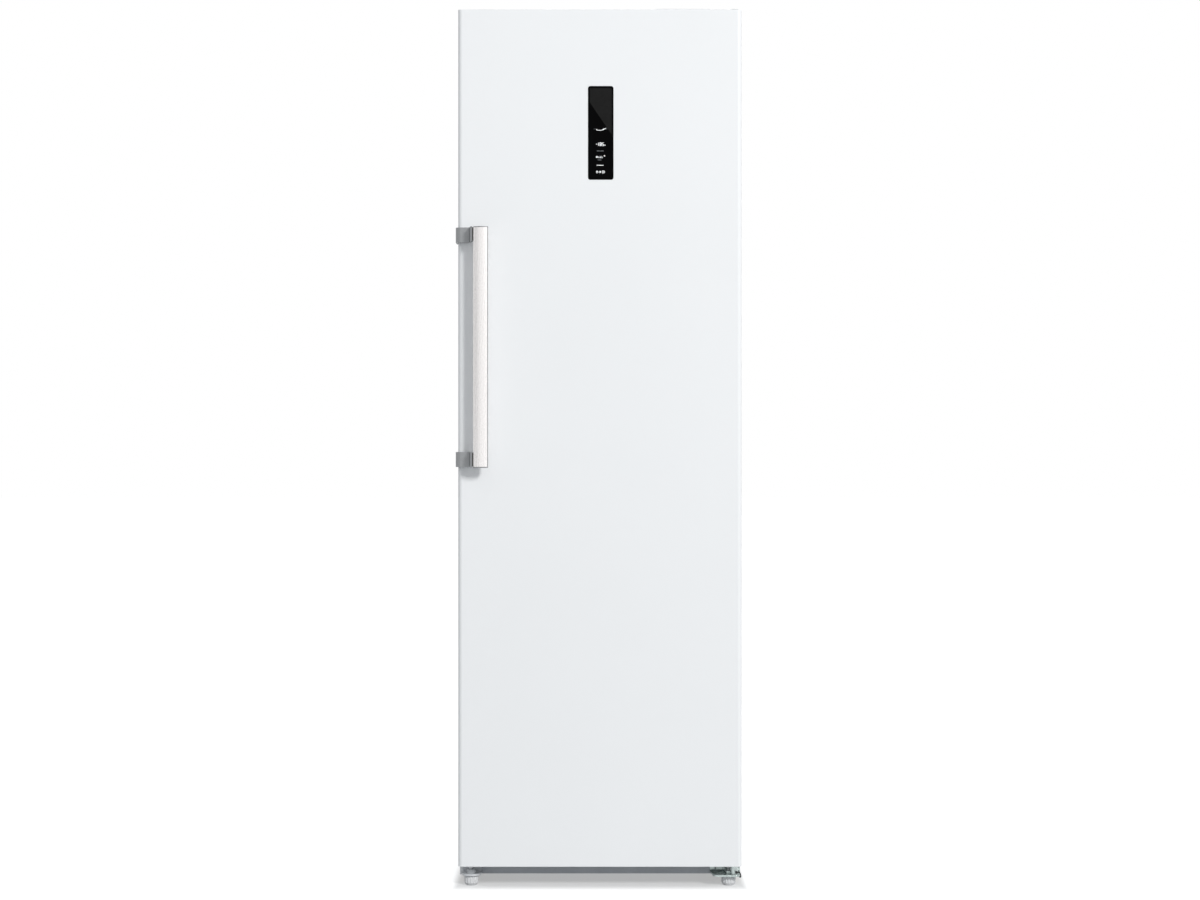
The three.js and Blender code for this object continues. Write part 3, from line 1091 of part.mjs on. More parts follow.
/** Drawer: tapered tub with ribbed floor, full-width front and a grip moulded along its top. */
function drawer(height, tubBack) {
  const top = ROOM_SIDE - LEDGE_WIDTH - DRAWER_SIDE_GAP;
  const fasciaFront = CABINET_FRONT + FASCIA_SETBACK;
  const fasciaBack = fasciaFront + FASCIA;
  const up = (x, y, h) => new THREE.Vector3(x, y, h);
  const tub = (inset, low, high) => {
    const level = (drawnIn, z) => [-top + drawnIn, top - drawnIn, fasciaFront + 2 + inset,
      tubBack - drawnIn, DRAWER_RADIUS - inset, z];
    return taperedBody([level(DRAWER_TAPER + inset, low), level(inset, high)], up);
  };
  const half = ROOM_SIDE - FASCIA_SIDE_GAP;
  const rim = raiseZ(roundedRectangle(-top, top, fasciaBack, tubBack, DRAWER_RADIUS), height - 8, height - 5);
  const fascia = runX(outline([
    [fasciaFront + 2, 3], [fasciaBack, 3], [fasciaBack, height - GRIP_HEIGHT], [fasciaBack + 4, height - 6],
    [fasciaBack + 4, height], [fasciaFront - GRIP_DEPTH + 3, height], [fasciaFront - GRIP_DEPTH, height - 4],
    [fasciaFront - GRIP_DEPTH, height - 10], [fasciaFront - GRIP_DEPTH + 3, height - 10],
    [fasciaFront - GRIP_DEPTH + 3, height - 4], [fasciaFront - 2, height - 4],
    [fasciaFront, height - GRIP_HEIGHT], [fasciaFront, 8],
  ]), -half, half);
  let body = cut(join(tub(0, 0, height - 5), rim), tub(DRAWER_WALL, DRAWER_WALL, height));
  for (let rib = -1; rib <= 1; rib += 1) {
    const x = rib * top / 2;
    const ribTop = DRAWER_WALL + 2;
    body = join(body, block(x - 1.5, x + 1.5, fasciaFront + 20, tubBack - 30, DRAWER_WALL - 1, ribTop));
  }
  const inside = tub(DRAWER_WALL, DRAWER_WALL + 2.5, height);
  return join(body, cut(fascia, inside.intersect(block(-top, top, fasciaBack, tubBack, 0, height - 8))));
}

/** Flap of an upper compartment: a curved panel on two pivots, with a grip along its foot. */
function flap(height, foot) {
  const front = CABINET_FRONT + FASCIA_SETBACK;
  const back = front + FLAP_THICKNESS;
  const half = ROOM_SIDE - FASCIA_SIDE_GAP;
  const panel = runX(outline([
    [front, 6], [front - 3, 3], [front - GRIP_DEPTH + 2, 3], [front - GRIP_DEPTH + 2, 0],
    [back - 1, 0], [back, 2],
    [back + 1.5, height * 0.35], [back + 1.5, height * 0.65], [back, height - 8], [back + 5, height - 4],
    [back + 5, height], [front + 1, height], [front, height - 3], [front + 1.5, height * 0.65],
    [front + 1.5, height * 0.35],
  ]), -half, half);
  const pivot = roundX(FLAP_PIVOT_Y, height - FLAP_PIVOT_DROP, FLAP_PIN,
    -ROOM_SIDE - LINER / 2, ROOM_SIDE + LINER / 2, 16);
  const between = roundX(FLAP_PIVOT_Y, height - FLAP_PIVOT_DROP, FLAP_PIN + THROUGH,
    -half + THROUGH, half - THROUGH, 16);
  return join(panel.intersect(room(-FIT).translate(0, 0, -foot)), cut(pivot, between));
}

for (let index = 0; index < SHELF_COUNT; index += 1) {
  place(cabinet, `glass_shelf_${index + 1}`, shelf(), GLASS, [0, 0, shelfTop(index)]);
}
const TUB_HEIGHT = SHELF_PITCH - SHELF_THICKNESS - DRAWER_HEADROOM;
const BOTTOM_HEIGHT = shelfTop(0) - ROOM_FLOOR - SHELF_THICKNESS - DRAWER_HEADROOM - 6;
const inRoom = room(-FIT).translate(0, 0, -ROOM_FLOOR - FIT);
place(cabinet, 'bottom_drawer', drawer(BOTTOM_HEIGHT, STEP_FRONT - 8).intersect(inRoom), CLEAR_PLASTIC,
  [0, 0, ROOM_FLOOR + FIT]);
for (let index = 0; index < DRAWER_COUNT; index += 1) {
  place(cabinet, `drawer_${index + 1}`, drawer(TUB_HEIGHT, DUCT_FRONT - 10), CLEAR_PLASTIC,
    [0, 0, shelfTop(index) + FIT]);
}
for (const level of FLAP_LEVELS) {
  const number = level - FLAP_LEVELS[0] + 1;
  const foot = flapFoot(level);
  place(cabinet, `compartment_flap_${number}`, flap(flapHeight(level), foot), CLEAR_PLASTIC, [0, 0, foot]);
}

// ---------------------------------------------------------------- door
/** Door skin: one folded sheet, rounded at its front corners, with lips behind the lining's rim. */
function doorSkin() {
  const back = LINER_RIM_FRONT - FIT;
  const outside = roundedRectangle(-SIDE, SIDE, DOOR_FRONT, back, [EDGE_RADIUS, 0, 0, EDGE_RADIUS]);
  const inner = EDGE_RADIUS - SHEET;
  const hollow = roundedRectangle(-SIDE + SHEET, SIDE - SHEET, DOOR_FRONT + SHEET, back - SHEET,
    [inner, 0, 0, inner]);
  const mouth = block(-SIDE + DOOR_LIP, SIDE - DOOR_LIP, DOOR_FRONT + 2 * SHEET, back + THROUGH,
    DOOR_BOTTOM - THROUGH, DOOR_TOP + THROUGH);
  const window = runY(displayOutline(FIT), DOOR_FRONT - THROUGH, DOOR_FRONT + THROUGH);
  const body = raiseZ(outside, DOOR_BOTTOM, DOOR_TOP, 6);
  return cut(body, raiseZ(hollow, DOOR_BOTTOM - THROUGH, DOOR_TOP + THROUGH, 6), mouth, window);
}

/** The display's outline in X and Z, grown by a gap. */
function displayOutline(grow) {
  const w = DISPLAY_WIDTH / 2 + grow;
  const h = DISPLAY_HEIGHT / 2 + grow;
  return roundedRectangle(DISPLAY_X - w, DISPLAY_X + w, DISPLAY_Z - h, DISPLAY_Z + h, DISPLAY_RADIUS + grow);
}

/** The raised inner panel of the door as a solid, drawn in by a wall. */
function doorPlug(wall, front) {
  const taper = PLUG_TAPER * (DOOR_BACK - front) / PLUG_DEPTH; // the sides keep their slope past the rim
  const level = (inset, y) => [
    -SIDE + inset, SIDE - inset, DOOR_BOTTOM + inset, DOOR_TOP - inset, 14, y,
  ];
  const along = (x, z, y) => new THREE.Vector3(x, y, z);
  const outer = PLUG_INSET + wall;
  const raised = taperedBody([
    level(outer - taper, front), level(outer, DOOR_BACK),
    level(outer + PLUG_TAPER, DOOR_BACK + PLUG_DEPTH - wall),
  ], along);
  const middle = outer + PLUG_TAPER + PANEL_BORDER - 2 * wall;
  const floor = DOOR_BACK + PLUG_DEPTH - PANEL_SINK - wall;
  const sunk = taperedBody([
    level(middle + 8, floor), level(middle, DOOR_BACK + PLUG_DEPTH - wall + 0.01),
    level(middle - 1, DOOR_BACK + PLUG_DEPTH + THROUGH),
  ], along);
  let body = cut(raised, sunk);
  const first = DOOR_BOTTOM + middle + 60;
  const pitch = (DOOR_TOP - DOOR_BOTTOM - 2 * middle - 120) / (PANEL_RIBS - 1);
  for (let rib = 0; rib < PANEL_RIBS; rib += 1) {
    const z = first + rib * pitch;
    const foot = 22 - wall;
    const crest = 14 - wall;
    const profile = outline([
      [floor - 1, z - foot], [floor - 1, z + foot], [floor, z + foot], [floor + PANEL_RIB, z + crest],
      [floor + PANEL_RIB, z - crest], [floor, z - foot],
    ]);
    body = join(body, runX(profile, -SIDE + middle + 30 + wall, SIDE - middle - 30 - wall));
  }
  return body;
}

/** Door lining: flat rim under the gasket and the raised inner panel, open to the foam behind it. */
function doorLiner() {
  const rim = runY(roundedRectangle(-SIDE, SIDE, DOOR_BOTTOM, DOOR_TOP, 0), LINER_RIM_FRONT, DOOR_BACK);
  return cut(join(rim, doorPlug(0, LINER_RIM_FRONT)), doorPlug(LINER, LINER_RIM_FRONT - THROUGH));
}

const CAP_BACK = LINER_RIM_FRONT - SHEET - 2 * FIT;
const CAP_FRONT = DOOR_FRONT + SHEET + FIT;
const capPlan = () => {
  const inset = SHEET + FIT;
  const radius = EDGE_RADIUS - inset;
  return roundedRectangle(-SIDE + inset, SIDE - inset, CAP_FRONT, CAP_BACK, [radius, 0, 0, radius]);
};
const BUSH_RADIUS = PIN_RADIUS + PIN_RUNNING + BUSH_WALL;

/** An end cap with the hinge bush's seat and a row of moulded relief pockets on its outer face. */
function endCap(low, outward) {
  const high = low + CAP_HEIGHT;
  let body = raiseZ(capPlan(), low, high);
  const face = outward > 0 ? high : low;
  const seatDepth = BUSH_HEIGHT + 2;
  const seat = outward > 0 ? [high - seatDepth, high + THROUGH] : [low - THROUGH, low + seatDepth];
  body = cut(body, roundZ(HINGE_X, HINGE_Y, holeRadius(BUSH_RADIUS, FIT), ...seat));
  const pockets = 5;
  const pitch = (WIDTH - 150) / pockets;
  for (let index = 0; index < pockets; index += 1) {
    const x = -SIDE + 40 + index * pitch;
    const depth = outward > 0 ? [face - 6, face + THROUGH] : [face - THROUGH, face + 6];
    body = cut(body, block(x, x + pitch - 8, CAP_FRONT + 10, CAP_BACK - 10, ...depth));
  }
  return body;
}

/** Door foam between the caps, filling the raised panel, with a pocket for the display housing. */
function doorFoam() {
  const core = raiseZ(capPlan(), DOOR_BOTTOM + CAP_HEIGHT + FIT, DOOR_TOP - CAP_HEIGHT - FIT);
  const panel = doorPlug(LINER + FIT, CAP_BACK - 1);
  const w = DISPLAY_WIDTH / 2 + DISPLAY_LEDGE + FIT;
  const h = DISPLAY_HEIGHT / 2 + DISPLAY_LEDGE + FIT;
  const pocket = block(DISPLAY_X - w, DISPLAY_X + w, CAP_FRONT - THROUGH, CAP_FRONT + DISPLAY_POCKET + FIT,
    DISPLAY_Z - h, DISPLAY_Z + h);
  return cut(join(core, panel), pocket);
}

/** One rectangular ring of the gasket, welded at a mitre in each corner. */
function gasketRing(inset, width, y0, y1) {
  const frame = (edge, front, back) => block(-SIDE + edge, SIDE - edge, front, back,
    DOOR_BOTTOM + edge, DOOR_TOP - edge);
  return cut(frame(inset, y0, y1), frame(inset + width, y0 - THROUGH, y1 + THROUGH));
}

/** Gasket: foot on the lining, narrow bellows and the magnet bead that meets the cabinet. */
function gasket() {
  const middle = GASKET_INSET + GASKET_WIDTH / 2;
  const seat = DOOR_BACK;
  const face = CABINET_FRONT - FIT;
  const foot = gasketRing(GASKET_INSET, GASKET_WIDTH, seat, seat + GASKET_BASE);
  const bellows = gasketRing(middle - GASKET_NECK / 2, GASKET_NECK, seat + 1, face - 1);
  const bead = gasketRing(middle - GASKET_BEAD / 2, GASKET_BEAD, face - GASKET_BEAD_DEPTH, face);
  return join(foot, bellows, bead);
}

/** Hinge bush: a plain bearing with a flange, bored for the pin. */
function bush(low) {
  const body = roundZ(HINGE_X, HINGE_Y, BUSH_RADIUS, low, low + BUSH_HEIGHT);
  return cut(body, roundZ(HINGE_X, HINGE_Y, holeRadius(PIN_RADIUS, PIN_RUNNING), low - THROUGH,
    low + BUSH_HEIGHT + THROUGH));
}

/** Display housing: a shallow tray behind the skin that carries the glass. */
function displayHousing() {
  const flangeFront = DOOR_FRONT + SHEET + FIT;
  const w = DISPLAY_WIDTH / 2 + DISPLAY_LEDGE;
  const h = DISPLAY_HEIGHT / 2 + DISPLAY_LEDGE;
  const tray = runY(roundedRectangle(DISPLAY_X - w, DISPLAY_X + w, DISPLAY_Z - h, DISPLAY_Z + h, 6),
    flangeFront, flangeFront + DISPLAY_POCKET);
  const glassSeat = runY(displayOutline(FIT), flangeFront - THROUGH,
    DOOR_FRONT - DISPLAY_PROUD + DISPLAY_THICKNESS + FIT);
  const hollow = runY(displayOutline(-4), flangeFront - THROUGH, flangeFront + DISPLAY_POCKET - 2);
  return cut(tray, glassSeat, hollow);
}

/** Display glass, a thin plate with a fine bevel around its face. */
function displayGlass() {
  const face = DOOR_FRONT - DISPLAY_PROUD;
  const bevel = 0.4;
  const step = (inset, y) => [
    DISPLAY_X - DISPLAY_WIDTH / 2 + inset, DISPLAY_X + DISPLAY_WIDTH / 2 - inset,
    DISPLAY_Z - DISPLAY_HEIGHT / 2 + inset, DISPLAY_Z + DISPLAY_HEIGHT / 2 - inset, DISPLAY_RADIUS - inset, y,
  ];
  return taperedBody([step(bevel, face), step(0, face + bevel), step(0, face + DISPLAY_THICKNESS)],
    (x, z, y) => new THREE.Vector3(x, y, z));
}

const BAR_BACK = HANDLE_FRONT + BAR_DEPTH;
const BAR_LEFT = HANDLE_X - BAR_WIDTH / 2;

/** Handle bar: an extruded metal section with softened ends. */
function handleBar() {
  const half = HANDLE_LENGTH / 2;
  const section = (inset, z) => [
    BAR_LEFT + inset, BAR_LEFT + BAR_WIDTH - inset, HANDLE_FRONT + inset, BAR_BACK - inset,
    BAR_RADIUS - inset / 2, HANDLE_Z + z,
  ];
  const soft = 1.6;
  return taperedBody([
    section(soft, -half), section(soft * 0.3, -half + soft * 0.45), section(0, -half + soft * 1.5),
    section(0, half - soft * 1.5), section(soft * 0.3, half - soft * 0.45), section(soft, half),
  ], (x, y, z) => new THREE.Vector3(x, y, z));
}

/** Handle bracket: leg along the door's side, rounded corner, forward arm and a tenon into the bar. */
function handleBracket(low) {
  const outer = -SIDE - FIT - BRACKET_WALL;
  const inner = -SIDE - FIT;
  const face = DOOR_FRONT - FIT;
  const front = face - BRACKET_ARM;
  const end = BAR_LEFT - BRACKET_GROOVE;
  const r = BRACKET_RADIUS;
  const plan = new THREE.Shape();
  plan.moveTo(inner, DOOR_FRONT + BRACKET_LEG);
  plan.lineTo(outer + 1, DOOR_FRONT + BRACKET_LEG);
  plan.lineTo(outer, DOOR_FRONT + BRACKET_LEG - 2);
  plan.lineTo(outer, front + r);
  plan.absarc(outer + r, front + r, r, Math.PI, 1.5 * Math.PI, false);
  plan.quadraticCurveTo(end - 12, front, end - 6, HANDLE_FRONT + 5);
  plan.lineTo(end, HANDLE_FRONT + 3);
  plan.lineTo(end, BAR_BACK);
  plan.quadraticCurveTo(end - 2, face, end - 14, face);
  plan.lineTo(-SIDE + EDGE_RADIUS, face);
  plan.absarc(-SIDE + EDGE_RADIUS, DOOR_FRONT + EDGE_RADIUS, EDGE_RADIUS + FIT, 1.5 * Math.PI, Math.PI, true);
  plan.closePath();
  const arm = raiseZ(plan, low, low + BRACKET_HEIGHT, 5);
  const middle = low + BRACKET_HEIGHT / 2;
  const tenon = block(end - 1, BAR_LEFT, HANDLE_FRONT + 5.5, BAR_BACK - 4, middle - BRACKET_TENON / 2,
    middle + BRACKET_TENON / 2);
  return join(arm, tenon);
}

place(door, 'door_skin', doorSkin(), WHITE_PAINT);
place(door, 'door_liner', doorLiner(), INNER_WHITE);
place(door, 'door_foam', doorFoam(), FOAM);
place(door, 'door_top_cap', endCap(DOOR_TOP - CAP_HEIGHT, 1), CAP_WHITE);
place(door, 'door_bottom_cap', endCap(DOOR_BOTTOM, -1), CAP_WHITE);
place(door, 'door_gasket', gasket(), SEAL);
place(door, 'upper_hinge_bush', bush(DOOR_TOP - BUSH_HEIGHT - FIT), GREY_PLASTIC);
place(door, 'lower_hinge_bush', bush(DOOR_BOTTOM + FIT), GREY_PLASTIC);
place(door, 'display_housing', displayHousing(), BLACK_PLASTIC);
place(door, 'display_glass', displayGlass(), BLACK_GLASS);
place(door, 'handle_bar', handleBar(), BRUSHED);
place(door, 'handle_upper_bracket', handleBracket(HANDLE_Z + HANDLE_LENGTH / 2 - BRACKET_HEIGHT), CAST_GREY);
place(door, 'handle_lower_bracket', handleBracket(HANDLE_Z - HANDLE_LENGTH / 2), CAST_GREY);

export default freezer;
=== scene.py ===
"""Upright freezer: the looks of every piece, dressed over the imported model. Metres, +Z up, front faces -Y."""

import logging
import math
from dataclasses import dataclass
from enum import Enum
from typing import Iterable, Sequence

import bmesh
import bpy
from mathutils import Matrix, Vector


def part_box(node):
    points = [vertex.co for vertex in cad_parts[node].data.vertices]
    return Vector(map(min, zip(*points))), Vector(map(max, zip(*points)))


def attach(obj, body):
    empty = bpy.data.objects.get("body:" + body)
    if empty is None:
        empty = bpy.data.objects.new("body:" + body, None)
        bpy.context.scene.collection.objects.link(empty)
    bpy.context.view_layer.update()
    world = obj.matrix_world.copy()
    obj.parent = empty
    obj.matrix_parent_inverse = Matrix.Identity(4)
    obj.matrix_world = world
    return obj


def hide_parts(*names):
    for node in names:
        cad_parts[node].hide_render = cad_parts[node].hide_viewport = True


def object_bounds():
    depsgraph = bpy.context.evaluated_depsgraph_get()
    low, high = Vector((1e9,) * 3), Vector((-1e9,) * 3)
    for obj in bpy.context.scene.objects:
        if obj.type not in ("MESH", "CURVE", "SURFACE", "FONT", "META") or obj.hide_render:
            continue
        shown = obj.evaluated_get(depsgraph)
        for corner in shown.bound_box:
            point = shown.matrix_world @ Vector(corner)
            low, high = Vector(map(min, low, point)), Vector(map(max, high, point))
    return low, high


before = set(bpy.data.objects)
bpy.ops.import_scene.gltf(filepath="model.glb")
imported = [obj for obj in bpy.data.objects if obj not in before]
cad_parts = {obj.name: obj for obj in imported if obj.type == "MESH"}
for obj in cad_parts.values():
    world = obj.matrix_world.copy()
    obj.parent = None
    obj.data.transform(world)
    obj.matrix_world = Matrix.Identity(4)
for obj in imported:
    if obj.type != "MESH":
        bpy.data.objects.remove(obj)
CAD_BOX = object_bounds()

LOG = logging.getLogger("freezer")
MM = 0.001
DOUBLE = 1e-6  # metres; points nearer than this are one
SHARP, BEVELLED = 34, 40  # degrees; steeper edges stay sharp, and steeper edges are bevelled
Flat = tuple[float, float]
Colour = Spot = tuple[float, float, float]
Piece, Socket = bpy.types.Object, bpy.types.NodeSocket


# ---- drawing
class Axis(Enum):
    """The direction in which an outline is run, with the two axes that it is drawn in."""

    X = (1, 2, 0)
    Y = (0, 2, 1)
    Z = (0, 1, 2)

    def at(self, outline: Iterable[Flat], level: float) -> list[Vector]:
        """Stand a flat outline in space.

        Args:
            outline: Points in the two axes that the outline is drawn in.
            level: Where the outline stands along the third axis.

        Returns:
            The points in space.
        """
        first, second, along = self.value
        made = []
        for u, v in outline:
            point = Vector((0, 0, 0))
            point[first], point[second], point[along] = u, v, level
            made.append(point)
        return made


class Caps(Enum):
    """Which ends of a skin are closed with a face: the first and the last."""

    BOTH = (True, True)
    FIRST = (True, False)
    LAST = (False, True)
    NONE = (False, False)


def arc(cx: float, cy: float, radius: float, start: float, end: float, steps: int) -> list[Flat]:
    """Points on an arc.

    Args:
        cx: Centre, first axis.
        cy: Centre, second axis.
        radius: Radius.
        start: First angle in degrees.
        end: Last angle in degrees.
        steps: Steps between them.

    Returns:
        The points, both ends included.
    """
    made = []
    for step in range(steps + 1):
        angle = math.radians(start + (end - start) * step / steps)
        made.append((cx + radius * math.cos(angle), cy + radius * math.sin(angle)))
    return made


def rounded(x0: float, x1: float, y0: float, y1: float, radius: float, steps: int = 6) -> list[Flat]:
    """A rectangle with rounded corners, drawn anticlockwise.

    Args:
        x0: Lowest first coordinate.
        x1: Highest first coordinate.
        y0: Lowest second coordinate.
        y1: Highest second coordinate.
        radius: Corner radius; nought gives a plain rectangle.
        steps: Steps in each corner.

    Returns:
        The outline's points.
    """
    if radius <= 0:
        return [(x0, y0), (x1, y0), (x1, y1), (x0, y1)]
    corners = ((x1, y0, -90), (x1, y1, 0), (x0, y1, 90), (x0, y0, 180))
    made: list[Flat] = []
    for x, y, start in corners:
        cx = x - radius if x == x1 else x + radius
        cy = y - radius if y == y1 else y + radius
        made += arc(cx, cy, radius, start, start + 90, steps)
    return made


def ring(radius: float, sides: int, centre: Flat = (0.0, 0.0)) -> list[Flat]:
    """A circle's points.

    Args:
        radius: Radius.
        sides: How many points.
        centre: Centre of the circle.

    Returns:
        The points, the first not repeated.
    """
    return arc(*centre, radius, 0, 360, sides)[:-1]


def smooth_path(points: Sequence[Sequence[float]], steps: int) -> list[Vector]:
    """A Catmull-Rom curve through points.

    Args:
        points: The points in space.
        steps: Steps in each stretch.

    Returns:
        Points along the curve.
    """
    knots = [Vector(p) for p in points]
    ends = [2 * knots[0] - knots[1], *knots, 2 * knots[-1] - knots[-2]]
    made = []
    for a, b, c, d in zip(ends, ends[1:], ends[2:], ends[3:]):
        for step in range(steps):
            t = step / steps
            made.append(0.5 * (2 * b + (c - a) * t + (2 * a - 5 * b + 4 * c - d) * t * t
                               + (3 * b - a - 3 * c + d) * t ** 3))
    return [*made, knots[-1]]


class Draft:
    """Vertices and faces of a piece while it is drawn, in millimetres."""

    def __init__(self) -> None:
        """Start with nothing drawn."""
        self.points: list[Vector] = []
        self.faces: list[list[int]] = []
        self.tags: list[int] = []

    def _ring(self, section: Sequence[Vector]) -> list[int]:
        """Add a section's points and return their numbers."""
        self.points.extend(section)
        return list(range(len(self.points) - len(section), len(self.points)))

    def _face(self, corners: list[int], tag: int) -> None:
        """Add one face of a finish."""
        self.faces.append(corners)
        self.tags.append(tag)

    def skin(self, sections: Sequence[Sequence[Vector]], closed: bool = True,
             caps: Caps = Caps.BOTH, tag: int = 0) -> "Draft":
        """Skin a surface over sections with equally many points.

        Args:
            sections: The sections in order.
            closed: Whether each section is a closed ring.
            caps: Which ends are closed.
            tag: Which finish the faces take.

        Returns:
            The draft itself.
        """
        rings = [self._ring(section) for section in sections]
        for low, high in zip(rings, rings[1:]):
            count = len(low)
            for i in range(count if closed else count - 1):
                j = (i + 1) % count
                self._face([low[i], low[j], high[j], high[i]], tag)
        first, last = caps.value
        if first:
            self._face(rings[0][::-1], tag)
        if last:
            self._face(rings[-1], tag)
        return self

    def run(self, axis: Axis, outline: Sequence[Flat], low: float, high: float, tag: int = 0) -> "Draft":
        """Run an outline straight along an axis from one level to another."""
        return self.skin([axis.at(outline, low), axis.at(outline, high)], tag=tag)

    def stack(self, axis: Axis, levels: Sequence[tuple[Sequence[Flat], float]], tag: int = 0,
              caps: Caps = Caps.BOTH) -> "Draft":
        """Skin over outlines that stand at their own levels along an axis."""
        return self.skin([axis.at(outline, level) for outline, level in levels], caps=caps, tag=tag)

    def slabs(self, axis: Axis, edges: Sequence[float], levels: Iterable[Sequence[float]], steps: int = 6,
              caps: Caps = Caps.BOTH) -> "Draft":
        """Skin over rounded rectangles that are drawn in from the same edges.

        Args:
            axis: The axis that they are stacked along.
            edges: Lowest and highest first coordinate, then lowest and highest second one.
            levels: Inset, corner radius and level of each.
            steps: Steps in each corner.
            caps: Which ends are closed.

        Returns:
            The draft itself.
        """
        x0, x1, y0, y1 = edges
        return self.stack(axis, [(rounded(x0 + inset, x1 - inset, y0 + inset, y1 - inset, radius, steps), level)
                                 for inset, radius, level in levels], caps=caps)

    def turn(self, axis: Axis, centre: Sequence[float], profile: Sequence[Flat], sides: int = 48,
             tag: int = 0, stretch: Flat = (1.0, 1.0)) -> "Draft":
        """Turn a profile of radius and height about an axis through a centre.

        Args:
            axis: The axis to turn about.
            centre: A point on the axis; heights are counted from it.
            profile: Radius and height pairs; a first or last radius of nought closes in a pole.
            sides: Sides of the turned body.
            tag: Which finish the faces take.
            stretch: Factors on the two axes across.

        Returns:
            The draft itself.
        """
        first, second, along = axis.value
        middle = Vector(centre)
        rings = []
        for radius, height in profile:
            if radius <= 0:
                pole = middle.copy()
                pole[along] += height
                rings.append(self._ring([pole]))
                continue
            outline = [(middle[first] + u * stretch[0], middle[second] + v * stretch[1])
                       for u, v in ring(radius, sides)]
            rings.append(self._ring(axis.at(outline, middle[along] + height)))
        for low, high in zip(rings, rings[1:]):
            for i in range(sides):
                j = (i + 1) % sides
                if len(low) == 1:
                    self._face([low[0], high[j], high[i]], tag)
                elif len(high) == 1:
                    self._face([low[i], low[j], high[0]], tag)
                else:
                    self._face([low[i], low[j], high[j], high[i]], tag)
        return self

    def tube(self, path: Sequence[Vector], radius: float | Sequence[float], sides: int = 16,
             tag: int = 0) -> "Draft":
        """Sweep a circle along a path without twisting it.

        Args:
            path: The points of the centre line.
            radius: One radius, or one for each point.
            sides: Sides of the section.
            tag: Which finish the faces take.

        Returns:
            The draft itself.
        """
        radii = [radius] * len(path) if isinstance(radius, (int, float)) else list(radius)
        side = None
        sections = []
        for index, point in enumerate(path):
            before, after = path[max(index - 1, 0)], path[min(index + 1, len(path) - 1)]
            along = (after - before).normalized()
            if side is None:
                side = along.orthogonal().normalized()
            side = (side - along * side.dot(along)).normalized()
            up = along.cross(side)
            sections.append([point + side * u + up * v for u, v in ring(radii[index], sides)])
        return self.skin(sections, tag=tag)

    def box(self, low: Sequence[float], high: Sequence[float], tag: int = 0) -> "Draft":
        """Add a block between two corners, to be softened by the piece's bevel."""
        return self.run(Axis.Z, rounded(low[0], high[0], low[1], high[1], 0), low[2], high[2], tag)

    def mesh(self, name: str, scale: float = MM) -> bpy.types.Mesh:
        """What is drawn, as a mesh with each face's finish.

        Args:
            name: Name of the mesh.
            scale: The draft's unit in metres.

        Returns:
            The mesh.
        """
        made = bpy.data.meshes.new(name)
        made.from_pydata([tuple(point * scale) for point in self.points], [], self.faces)
        made.polygons.foreach_set("material_index", self.tags)
        return made

    def piece(self, name: str, *finishes: "Finish", bevel: float = 0.0, segments: int = 2,
              sharp: float = SHARP) -> Piece:
        """Make the finished object: doubles merged, faces outwards.

        Args:
            name: Name of the piece.
            *finishes: The finishes, in the order of the faces' tags.
            bevel: Width of the bevel along its sharp edges, in millimetres.
            segments: Segments of that bevel.
            sharp: Edges steeper than this many degrees stay sharp.

        Returns:
            The object, linked into the scene.
        """
        mesh = self.mesh(name)
        draft = bmesh.new()
        draft.from_mesh(mesh)
        bmesh.ops.remove_doubles(draft, verts=draft.verts, dist=DOUBLE)
        bmesh.ops.recalc_face_normals(draft, faces=draft.faces)
        draft.to_mesh(mesh)
        draft.free()
        return finished(name, mesh, finishes, bevel * MM, segments, sharp)

    def show(self, name: str, node: str, *finishes: "Finish", body: str = "cabinet", **edges: float) -> Piece:
        """Make the finished object and let it stand for its node, if any."""
        return present(self.piece(name, *finishes, **edges), body, finishes[0], node)


def linked(name: str, data: bpy.types.ID) -> Piece:
    """Make an object and link it into the scene.

    Args:
        name: Name of the object.
        data: Its mesh, camera or lamp.

    Returns:
        The object.
    """
    made = bpy.data.objects.new(name, data)
    bpy.context.scene.collection.objects.link(made)
    return made


def finished(name: str, mesh: bpy.types.Mesh, finishes: Sequence["Finish"], bevel: float, segments: int,
             sharp: float) -> Piece:
    """Put a mesh in the scene with its finishes, smooth shading and a bevel along its sharp edges.

    Args:
        name: Name of the piece.
        mesh: Its mesh, in metres.
        finishes: Its finishes, in the order of the faces' numbers.
        bevel: Width of the bevel in metres; nought leaves it out.
        segments: Segments of the bevel.
        sharp: Edges steeper than this many degrees stay sharp.

    Returns:
        The piece.
    """
    for finish in finishes:
        mesh.materials.append(finish.material())
    mesh.shade_smooth()
    mesh.set_sharp_from_angle(angle=math.radians(sharp))
    made = linked(name, mesh)
    if bevel > 0:
        edge = made.modifiers.new("softened_edges", "BEVEL")
        edge.width = bevel
        edge.segments = segments
        edge.limit_method = "ANGLE"
        edge.angle_limit = math.radians(BEVELLED)
    even = made.modifiers.new("even_shading", "WEIGHTED_NORMAL")
    even.keep_sharp = True
    return made


def present(piece: Piece, body: str, finish: "Finish", node: str = "") -> Piece:
    """Let a finished piece ride on its body and stand for its node, and report it.

    Args:
        piece: The piece.
        body: The body that it rides on.
        finish: Not used.
        node: The node that it stands for; empty where there is none.

    Returns:
        The piece.
    """
    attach(piece, body)
    if node:
        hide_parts(node)
    LOG.info("%s rides on %s, %d faces", piece.name, body, len(piece.data.polygons))
    return piece


